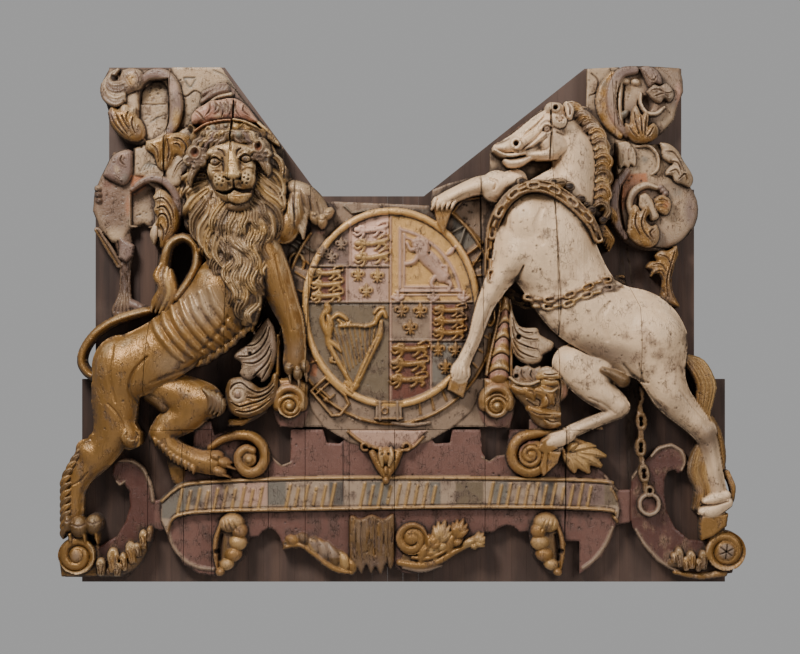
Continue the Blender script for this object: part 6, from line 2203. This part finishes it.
near, wide = mean_inside(2) - solid, mean_inside(8, 2) - solid
hollows = (np.clip(near, -1.2, 1.6) * 0.8 + np.clip(wide, -2.5, 4.0) * 0.22) * mask
rim = np.clip(1 - front.inside / 0.8, 0, 1) * mask
hollows = hollows + 0.35 * rim * (wide > -2)
climb = np.gradient(box_blur(solid, 1), PITCH, axis=0) * (near < 2)
hollows = hollows - 0.45 * np.clip(-climb, 0, 1.2) * mask + 0.20 * np.clip(climb, 0, 1.2) * mask
front.colour = box_blur(front.colour, 1)
print("hollows from", round(float(hollows.min()), 2), "to", round(float(hollows.max()), 2))


# %% From the sheet to timbers
# %% [markdown]
# Every timber gets its own grid, whose columns run with its two joints, so that the sawn sides are
# straight.  A grid point belongs to the timber if it lies inside the carved outline and in a full
# cell; cells with three such corners become triangles, and the rim is moved onto the outline.
# Walls go straight back from the rim to the boards.  Cutting one mesh with booleans would give
# the same solids, but slowly and with slivers.
GAP = 0.28                     # open joint between two timbers
GRID = 0.40                    # spacing of the mesh, in cm
THINNEST = 1.2                 # least height over the boards, in cm
SHARP = 58                     # edges bent by more degrees than this are shaded sharp
TOP, COURSE_TOP = 278.0, 82.6
OUTER_LEFT = ((-185.0, 280.0), (-185.0, 0.0))
JOINT_1 = ((-120.6, 280.0), (-122.0, 252.0), (-136.0, 90.0), (-133.6, 80.0), (-133.6, 0.0))
JOINT_2 = ((-85.6, 280.0), (-93.3, 83.0))
JOINT_3 = ((-43.6, 280.0), (-49.2, 83.0))
JOINT_4 = ((-3.8, 280.0), (-3.8, 83.0))
JOINT_5 = ((44.2, 280.0), (47.8, 83.0))
JOINT_6 = ((80.6, 280.0), (82.4, 250.0), (88.6, 83.0))
JOINT_7 = ((115.0, 280.0), (118.0, 232.0), (124.0, 160.0), (129.6, 148.0), (130.6, 98.0), (126.0, 80.0),
    (126.0, 0.0))
OUTER_RIGHT = ((191.0, 280.0), (191.0, 0.0))
TIMBERS = [
    ("lion_haunch_timber", OUTER_LEFT, JOINT_1, 0.0, TOP, "gilding"),
    ("lion_body_timber", JOINT_1, JOINT_2, COURSE_TOP, TOP, "gilding"),
    ("lion_chest_timber", JOINT_2, JOINT_3, COURSE_TOP, TOP, "gilding"),
    ("left_shield_timber", JOINT_3, JOINT_4, COURSE_TOP, TOP, "arms_paint"),
    ("right_shield_timber", JOINT_4, JOINT_5, COURSE_TOP, TOP, "arms_paint"),
    ("unicorn_chest_timber", JOINT_5, JOINT_6, COURSE_TOP, TOP, "white_paint"),
    ("unicorn_barrel_timber", JOINT_6, JOINT_7, COURSE_TOP, TOP, "white_paint"),
    ("unicorn_rump_timber", JOINT_7, OUTER_RIGHT, 0.0, TOP, "white_paint"),
]
COURSE_JOINTS = (-133.6, -114.4, -99.2, -68.7, -48.9, -25.2, -0.8, 47.9, 91.0, 126.0)
for number, (a, b) in enumerate(zip(COURSE_JOINTS[:-1], COURSE_JOINTS[1:]), 1):
    TIMBERS.append((f"lower_course_timber_{number}", ((a, 90.0), (a, 0.0)), ((b, 90.0), (b, 0.0)),
                    0.0, COURSE_TOP - GAP / 2, "ground_paint"))
print("timbers:", len(TIMBERS))


def joint_x(joint, z):
    """Where a joint lies at height z."""
    points = np.array(joint[::-1])
    return np.interp(z, points[:, 1], points[:, 0])


def read_sheet(field, x, z):
    """The field at free points, from its four grid neighbours weighted by nearness."""
    fx = np.clip((x - X[0]) / PITCH, 0, len(X) - 1.001)
    fz = np.clip((z - Z[0]) / PITCH, 0, len(Z) - 1.001)
    j, i = fx.astype(int), fz.astype(int)
    u, v = fx - j, fz - i
    if field.ndim == 3:
        u, v = u[..., None], v[..., None]
    return ((field[i, j] * (1 - u) + field[i, j + 1] * u) * (1 - v)
            + (field[i + 1, j] * (1 - u) + field[i + 1, j + 1] * u) * v)


def full_cells(mask):
    """Grid points that are a corner of a cell with all four corners in the mask."""
    cell = mask[:-1, :-1] & mask[1:, :-1] & mask[:-1, 1:] & mask[1:, 1:]
    kept = np.zeros_like(mask)
    for di in (0, 1):
        for dj in (0, 1):
            kept[di:kept.shape[0] - 1 + di, dj:kept.shape[1] - 1 + dj] |= cell
    return kept


def one_body(mask, seed):
    """The points joined to a seed: the seed grows by one neighbour a round inside the mask."""
    grown = np.zeros_like(mask)
    grown[seed] = True
    count = 0
    while grown.sum() > count:
        count = grown.sum()
        for _ in range(12):
            wider = grown.copy()
            wider[1:] |= grown[:-1]
            wider[:-1] |= grown[1:]
            wider[:, 1:] |= grown[:, :-1]
            wider[:, :-1] |= grown[:, 1:]
            grown = wider & mask
    return grown


def cell_faces(mask):
    """Quads where four corners are in the mask and triangles where three are, counterclockwise
    seen from the front, as lists of grid point numbers."""
    number = np.arange(mask.size).reshape(mask.shape)
    ring = [(slice(0, -1), slice(0, -1)), (slice(0, -1), slice(1, None)), (slice(1, None), slice(1, None)),
        (slice(1, None), slice(0, -1))]
    corner = [number[r] for r in ring]
    kept = [mask[r] for r in ring]
    count = sum(k.astype(int) for k in kept)
    quads = np.column_stack([c[count == 4] for c in corner])
    triangles = []
    for out in range(4):
        here = (count == 3) & ~kept[out]
        triangles.append(np.column_stack([corner[(out + k) % 4][here] for k in (1, 2, 3)]))
    return quads, np.vstack(triangles)


def rim_edges(quads, triangles):
    """Directed face edges that no other face shares."""
    pairs = [quads[:, [k, (k + 1) % 4]] for k in range(4)]
    pairs += [triangles[:, [k, (k + 1) % 3]] for k in range(3)]
    edges = np.vstack(pairs)
    key = np.sort(edges, axis=1) @ np.array([2 ** 31, 1])
    _, first, count = np.unique(key, return_index=True, return_counts=True)
    return edges[first[count == 1]]


def timber_sheet(name, left, right, bottom, top):
    """Mesh arrays of one timber: points, faces, paint, and how hollow each point lies."""
    rows = int(round((top - bottom) / GRID)) + 1
    z = np.linspace(bottom + GAP / 2, top, rows)
    x0, x1 = joint_x(left, z) + GAP / 2, joint_x(right, z) - GAP / 2
    columns = int(round((x1 - x0).mean() / GRID)) + 1
    x = x0[:, None] + (x1 - x0)[:, None] * np.linspace(0, 1, columns)
    z = np.repeat(z[:, None], columns, axis=1)
    inside = read_sheet(front.inside, x, z)
    mask = full_cells(inside > -0.45 * GRID)
    seed = np.unravel_index(np.argmax(np.where(mask, inside, -9)), mask.shape)
    mask = one_body(mask, seed)
    quads, triangles = cell_faces(mask)
    rim = rim_edges(quads, triangles)

    slope_z, slope_x = np.gradient(np.clip(inside, -2, 2))
    size = np.maximum(slope_x ** 2 + slope_z ** 2, (0.5 * GRID) ** 2)
    push = -np.clip(inside, -0.5 * GRID, 0.5 * GRID) / size
    on_rim = np.zeros(mask.size, bool)
    on_rim[rim.ravel()] = True
    on_rim = on_rim.reshape(mask.shape)
    free_x = on_rim.copy()
    free_x[:, [0, -1]] = False
    free_z = on_rim.copy()
    free_z[[0, -1]] = False
    reach = 0.48 * GRID
    width = (x1 - x0)[:, None] / (columns - 1)
    x = x + np.clip(push * slope_x * width, -reach, reach) * free_x
    z = z + np.clip(push * slope_z * GRID, -reach, reach) * free_z

    height = np.maximum(read_sheet(surface, x, z), THINNEST)
    used = np.flatnonzero(mask)
    renumber = np.zeros(mask.size, int)
    renumber[used] = np.arange(len(used))
    quads, triangles, rim = renumber[quads], renumber[triangles], renumber[rim]
    px, pz, ph = x.ravel()[used], z.ravel()[used], height.ravel()[used]
    points = np.column_stack([px, BACK - ph, pz])

    rim_points = rim[:, 0]
    back_number = np.zeros(len(used), int)
    back_number[rim_points] = len(used) + np.arange(len(rim_points))
    flat = [tuple(p) for p in np.column_stack([px, pz])[rim_points].tolist()]
    edges = np.column_stack([back_number[rim[:, 0]], back_number[rim[:, 1]]]) - len(used)
    found = delaunay_2d_cdt(flat, [tuple(e) for e in edges.tolist()], [], 1, 1e-7, True)
    back_points, back_faces = np.array(found[0], float), np.array(found[2], int)
    origin = np.array([ids[0] if len(ids) else -1 for ids in found[3]], int)
    centre = back_points[back_faces].mean(axis=1)
    share = (centre[:, 1] - (bottom + GAP / 2)) / GRID
    row = np.clip(np.round(share).astype(int), 0, rows - 1)
    column = np.round((centre[:, 0] - x0[row]) / width[row, 0]).astype(int)
    back_faces = back_faces[mask[row, np.clip(column, 0, columns - 1)]]
    if (origin < 0).any() or len(origin) != len(rim_points):
        print("  note:", name, "back outline has", len(origin) - len(rim_points), "extra points")
    back_faces = len(used) + origin[back_faces]

    behind = np.column_stack([px[rim_points], np.full(len(rim_points), BACK), pz[rim_points]])
    walls = np.column_stack([rim[:, 1], rim[:, 0], back_number[rim[:, 0]],
                             back_number[rim[:, 1]]])
    paint = read_sheet(front.colour, x, z).reshape(-1, 4)[used]
    hollow = read_sheet(hollows, x, z).ravel()[used]
    edge_paint = paint[rim_points] * 0.35 + np.array(PAINTS["bare"]) * 0.5
    edge_hollow = np.full(len(rim_points), 1.0)
    return (np.vstack([points, behind]), [quads, walls, triangles, back_faces],
            np.vstack([paint, edge_paint]), np.concatenate([hollow, edge_hollow]))


def make_timber(name, sheet, finish):
    """A closed mesh object from the arrays of one timber."""
    points, groups, paint, hollow = sheet
    points = (points - (0, 0, HANG_HEIGHT)) * CM
    corners = np.concatenate([g.ravel() for g in groups]).astype(np.int32)
    sizes = np.concatenate([np.full(len(g), g.shape[1]) for g in groups])
    starts = np.concatenate([[0], np.cumsum(sizes)[:-1]]).astype(np.int32)
    mesh = bpy.data.meshes.new(name + "_carved")
    mesh.vertices.add(len(points))
    mesh.vertices.foreach_set("co", points.ravel().astype(np.float32))
    mesh.loops.add(len(corners))
    mesh.loops.foreach_set("vertex_index", corners)
    mesh.polygons.add(len(starts))
    mesh.polygons.foreach_set("loop_start", starts)
    mesh.update(calc_edges=True)
    mesh.validate()
    mesh.shade_smooth()
    mesh.set_sharp_from_angle(angle=np.radians(SHARP))
    tint = mesh.attributes.new("paint", "FLOAT_COLOR", "POINT")
    rgba = np.column_stack([paint[:, :3], np.ones(len(paint))])
    tint.data.foreach_set("color", rgba.ravel().astype(np.float32))
    for label, values in (("metal", paint[:, 3]), ("hollow", hollow)):
        store = mesh.attributes.new(label, "FLOAT", "POINT")
        store.data.foreach_set("value", values.astype(np.float32))
    mesh.materials.append(finish)
    piece = bpy.data.objects.new(name + "_carved", mesh)
    bpy.context.scene.collection.objects.link(piece)
    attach(piece, "root")
    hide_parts(name)
    return piece


# %% Finishes
# %% [markdown]
# One set of shader terms serves all carved wood: the paint comes with the mesh, and dirt, wear,
# crackle and grain change it.  Every timber could have a painted picture instead, but one rule
# ages all of them alike.  Arithmetic on node sockets is written as plain expressions.


FLECK = (0.060, 0.034, 0.022, 1.0)
SOOT = (0.024, 0.013, 0.008, 1.0)
DUST = (0.125, 0.080, 0.062, 1.0)
PLANK_DARK = (0.030, 0.0155, 0.0108, 1.0)
PLANK_LIGHT = (0.066, 0.035, 0.0235, 1.0)
PLANKS_LEFT = 1.552            # the first plank starts this far left of the middle, in m
PLANK_WIDTH = 0.08365


class Term:
    """A shader value.  + - * / and the methods below add Math nodes and give a new Term."""

    def __init__(self, graph, socket):
        self.graph, self.socket = graph, socket

    def join(self, operation, *others, clamp=False):
        """One Math node that takes this value and some others."""
        node = self.graph.tree.nodes.new("ShaderNodeMath")
        node.operation = operation
        node.use_clamp = clamp
        for slot_in, value in zip(node.inputs, (self, *others)):
            self.graph.plug(slot_in, value)
        return Term(self.graph, node.outputs[0])

    def __add__(self, other):
        return self.join("ADD", other)

    def __sub__(self, other):
        return self.join("SUBTRACT", other)

    def __mul__(self, other):
        return self.join("MULTIPLY", other)

    def __truediv__(self, other):
        return self.join("DIVIDE", other)

    def __rsub__(self, other):
        return (self * -1.0) + other

    __radd__ = __add__
    __rmul__ = __mul__

    def clip(self):
        """Kept between 0 and 1."""
        return self.join("ADD", 0.0, clamp=True)

    def power(self, exponent):
        """Raised to an exponent."""
        return self.join("POWER", exponent)

    def step(self, low, high):
        """0 below low, 1 above high, smooth between."""
        node = self.graph.tree.nodes.new("ShaderNodeMapRange")
        node.interpolation_type = "SMOOTHSTEP"
        self.graph.plug(node.inputs["Value"], self)
        node.inputs["From Min"].default_value = low
        node.inputs["From Max"].default_value = high
        return Term(self.graph, node.outputs[0])


class Graph:
    """The node tree of one material."""

    def __init__(self, name):
        self.material = bpy.data.materials.new(name)
        self.material.use_nodes = True
        self.tree = self.material.node_tree
        self.shader = self.tree.nodes["Principled BSDF"]

    def plug(self, socket, value):
        """Links a Term to a socket, or sets the plain value there."""
        if isinstance(value, Term):
            self.tree.links.new(value.socket, socket)
        else:
            socket.default_value = value

    def node(self, kind, out=0, settings=(), **inputs):
        """Any other node: its type, its settings, and its input values or links by name."""
        node = self.tree.nodes.new("ShaderNode" + kind)
        for key, value in dict(settings).items():
            setattr(node, key, value)
        for key, value in inputs.items():
            self.plug(node.inputs[key.replace("_", " ")], value)
        return Term(self, node.outputs[out])

    def attribute(self, name, out="Fac"):
        """A value or colour that comes with the mesh."""
        return self.node("Attribute", out, {"attribute_name": name})

    def place(self, scale=(1, 1, 1)):
        """Object coordinates, stretched."""
        where = self.node("TexCoord", "Object")
        return self.node("Mapping", 0, (), Vector=where, Scale=scale)

    def noise(self, scale, detail=4.0, stretch=(1, 1, 1)):
        """Cloudy noise from 0 to 1; scale is its fineness."""
        return self.node("TexNoise", "Fac", (), Vector=self.place(stretch), Scale=scale, Detail=detail)

    def mix(self, share, first, second):
        """Colour mix: first where share is 0, second where it is 1."""
        node = self.tree.nodes.new("ShaderNodeMix")
        node.data_type = "RGBA"
        self.plug(node.inputs[0], share)
        self.plug(node.inputs[6], first)
        self.plug(node.inputs[7], second)
        return Term(self, node.outputs[2])

    def tone(self, colour, value):
        """A colour made darker or lighter by a value round 1."""
        grey = self.node("CombineColor", 0, (), Red=value, Green=value, Blue=value)
        node = self.tree.nodes.new("ShaderNodeMix")
        node.data_type = "RGBA"
        node.blend_type = "MULTIPLY"
        node.inputs[0].default_value = 1.0
        self.plug(node.inputs[6], colour)
        self.plug(node.inputs[7], grey)
        return Term(self, node.outputs[2])

    def bump(self, height, distance):
        """A normal tilted by a height map, distance m high."""
        return self.node("Bump", "Normal", (), Height=height, Distance=distance, Strength=1.0)


def carved_finish(name, rough, wear_colour, wear, stain, stained, dirt, grain):
    """Old paint or gold leaf on carved oak: stains in patches, wear on ridges, dirt in hollows,
    and a fine net of cracks."""
    g = Graph(name)
    paint = g.attribute("paint", "Color")
    hollow, metal = g.attribute("hollow"), g.attribute("metal")
    broad = g.noise(3.2, 3.0)
    patch = g.noise(17.0, 6.0)
    other = g.noise(8.0, 5.0, (1.0, 1.0, 0.6))
    streak = g.noise(26.0, 5.0, (1.0, 1.0, 0.14))
    fine = g.noise(150.0, 4.0)
    speck = g.noise(75.0, 3.0, (1.0, 1.0, 0.55))
    fibre = g.noise(110.0, 4.0, (1.0, 1.0, 0.07))
    net = g.node("TexVoronoi", "Distance", {"feature": "DISTANCE_TO_EDGE"}, Vector=g.place((1.0, 1.0, 0.45)),
                 Scale=48.0)
    crack = (1.0 - net.step(0.0, 0.045)) * patch.step(0.44, 0.62)
    colour = g.tone(paint, 0.40 + broad * 0.42 + patch * 0.52 + streak * 0.42)
    stains = (broad * 0.5 + patch * 0.7 + streak * 0.35 + hollow * 0.10).step(0.74, 1.00)
    colour = g.mix(stains * stained, colour, stain)
    rub = ((hollow * -0.95) + (patch - 0.5) * 1.6 + (fine - 0.5) * 0.8 + (other - 0.5) * 0.8).step(0.22, 0.95)
    light = (g.node("RGBToBW", "Val", {}, Color=paint) * 3.0 + metal * 0.65 - 0.01).clip()
    worn = g.mix(0.35, wear_colour, g.tone(paint, 2.1))
    colour = g.mix(rub * wear * light, colour, worn)
    flecks = (speck * 0.62 + patch * 0.38).step(0.575, 0.66)
    colour = g.mix(flecks * 0.45, colour, FLECK)
    soot = (hollow * 0.85 + (patch - 0.5) * 0.9 + (fine - 0.5) * 0.4).step(0.02, 0.90)
    colour = g.mix((soot * dirt + crack * 0.28).clip(), colour, SOOT)
    g.plug(g.shader.inputs["Base Color"], colour)
    bright = (metal * (1.0 - rub * 0.5) * (1.0 - soot) * (1.0 - stains * 0.7)).clip()
    g.plug(g.shader.inputs["Metallic"], bright)
    g.plug(g.shader.inputs["Roughness"],
           (rough + (patch - 0.5) * 0.5 + soot * 0.3 + flecks * 0.2 - metal * 0.2).clip())
    g.shader.inputs["Specular IOR Level"].default_value = 0.5
    relief = fine * 0.5 + fibre * grain + patch * 1.3 + streak * 0.8 - flecks * 0.8 - crack * 0.5
    g.plug(g.shader.inputs["Normal"], g.bump(relief, 0.0040))
    return g.material


def board_finish():
    """Dark stained planks: each has its own tone, and the grain runs upright."""
    g = Graph("plank_wood")
    where = g.node("TexCoord", "Object")
    split = g.tree.nodes.new("ShaderNodeSeparateXYZ")
    g.plug(split.inputs[0], where)
    x = Term(g, split.outputs[0])
    number = ((x + PLANKS_LEFT) / PLANK_WIDTH).join("FLOOR")
    tone = g.node("TexWhiteNoise", "Value", {"noise_dimensions": "1D"}, W=number)
    grain = g.noise(70.0, 6.0, (1.0, 1.0, 0.05))
    streak = g.noise(14.0, 4.0, (1.0, 1.0, 0.10))
    dust = g.noise(6.0, 5.0)
    base = g.mix(streak.step(0.35, 0.7), PLANK_DARK, PLANK_LIGHT)
    base = g.tone(base, 0.62 + tone * 0.45 + grain * 0.45)
    height = Term(g, split.outputs[2])
    high, low = height.step(0.3, 1.35), 1.0 - height.step(-1.35, -0.95)
    base = g.mix((dust.step(0.50, 0.80) * 0.35 + high * 0.5 + low * 0.22).clip(), base, DUST)
    g.plug(g.shader.inputs["Base Color"], base)
    g.plug(g.shader.inputs["Roughness"], 0.62 + (grain - 0.5) * 0.3)
    g.shader.inputs["Specular IOR Level"].default_value = 0.35
    g.plug(g.shader.inputs["Normal"], g.bump(grain + streak * 0.6, 0.0014))
    return g.material


def plain(name, colour, rough, metallic=0.0):
    """One even colour."""
    g = Graph(name)
    g.shader.inputs["Base Color"].default_value = (*colour, 1.0)
    g.shader.inputs["Roughness"].default_value = rough
    g.shader.inputs["Metallic"].default_value = metallic
    return g.material


finishes = {"gilding": carved_finish("gilding_worn", 0.48, (0.62, 0.49, 0.31, 1.0), 0.66,
    (0.100, 0.052, 0.026, 1.0), 0.85, 0.86, 0.45), "white_paint": carved_finish("white_paint_worn", 0.50,
    (0.72, 0.58, 0.43, 1.0), 0.50, (0.265, 0.160, 0.095, 1.0), 0.80, 0.86, 0.6),
    "arms_paint": carved_finish("arms_paint_worn", 0.52, (0.50, 0.36, 0.24, 1.0), 0.40,
    (0.085, 0.046, 0.026, 1.0), 0.75, 0.84, 0.45), "ground_paint": carved_finish("ground_paint_worn", 0.54,
    (0.33, 0.21, 0.16, 1.0), 0.35, (0.070, 0.036, 0.026, 1.0), 0.70, 0.92, 0.70),}
wood = board_finish()
nodes = [o for o in bpy.data.objects if o.name.startswith("backing_plank")]
for node in nodes:
    node.data.materials.clear()
    node.data.materials.append(wood)
print("planks finished:", len(nodes))


# %% The timbers
# %% [markdown]
# One mesh piece stands for each carved timber of the part.  Its front, its rim and its back are
# one closed surface.  Loose ornaments could be set on the plain solids, but a carving has no
# seam between a figure and its ground.
total = 0
for name, left, right, bottom, top, slot_name in TIMBERS:
    piece = make_timber(name, timber_sheet(name, left, right, bottom, top), finishes[slot_name])
    piece.data.calc_loop_triangles()
    count = len(piece.data.loop_triangles)
    total += count
    print(f"{piece.name}: {count} triangles")
print("together:", total)


# %% Light and camera
# %% [markdown]
# The room is left out.  A pale floor lies under the carving and a plain grey surrounds it.  A
# large soft light from the upper left gives the forms their shadows, a weaker one from the right
# opens them.  An even sky alone would be simpler, but relief is read by its shadows.
low, high = cad_box
bpy.ops.mesh.primitive_plane_add(size=6, location=(0, -1.5, low[2] - 0.62))
floor = bpy.context.object
floor.name = "studio_floor"
floor.data.materials.append(plain("pale_floor", (0.55, 0.55, 0.55), 0.9))


def softbox(name, place, aim, size, power, colour=(1, 1, 1)):
    """A square area light that looks at a point."""
    lamp = bpy.data.lights.new(name, "AREA")
    lamp.energy = power
    lamp.size = size
    lamp.color = colour
    holder = bpy.data.objects.new(name, lamp)
    bpy.context.scene.collection.objects.link(holder)
    direction = np.array(aim, float) - np.array(place, float)
    holder.location = place
    holder.rotation_euler = Vector(direction).to_track_quat("-Z", "Y").to_euler()
    return holder


softbox("key_light", (-3.0, -4.6, 4.8), (0.1, 0, 0), 1.8, 700, (1.0, 0.975, 0.94))
softbox("fill_light", (5.0, -5.5, 2.2), (0.1, 0, 0), 3.0, 230, (1.0, 0.98, 0.96))
world = bpy.data.worlds.new("studio")
bpy.context.scene.world = world
world.use_nodes = True
sky = world.node_tree
room = sky.nodes["Background"]
room.inputs["Color"].default_value = (0.367, 0.367, 0.367, 1.0)
seen = sky.nodes.new("ShaderNodeLightPath")
gain = sky.nodes.new("ShaderNodeMapRange")
gain.inputs["To Min"].default_value = 0.57
gain.inputs["To Max"].default_value = 1.0
sky.links.new(seen.outputs["Is Camera Ray"], gain.inputs["Value"])
sky.links.new(gain.outputs["Result"], room.inputs["Strength"])

camera = bpy.data.cameras.new("camera")
camera.sensor_width = 36.0
camera.lens = 112.0
camera_holder = bpy.data.objects.new("camera", camera)
bpy.context.scene.collection.objects.link(camera_holder)
camera_holder.location = (0.0214, -13.5, -0.023)
camera_holder.rotation_euler = (pi / 2, 0, 0)
bpy.context.scene.camera = camera_holder
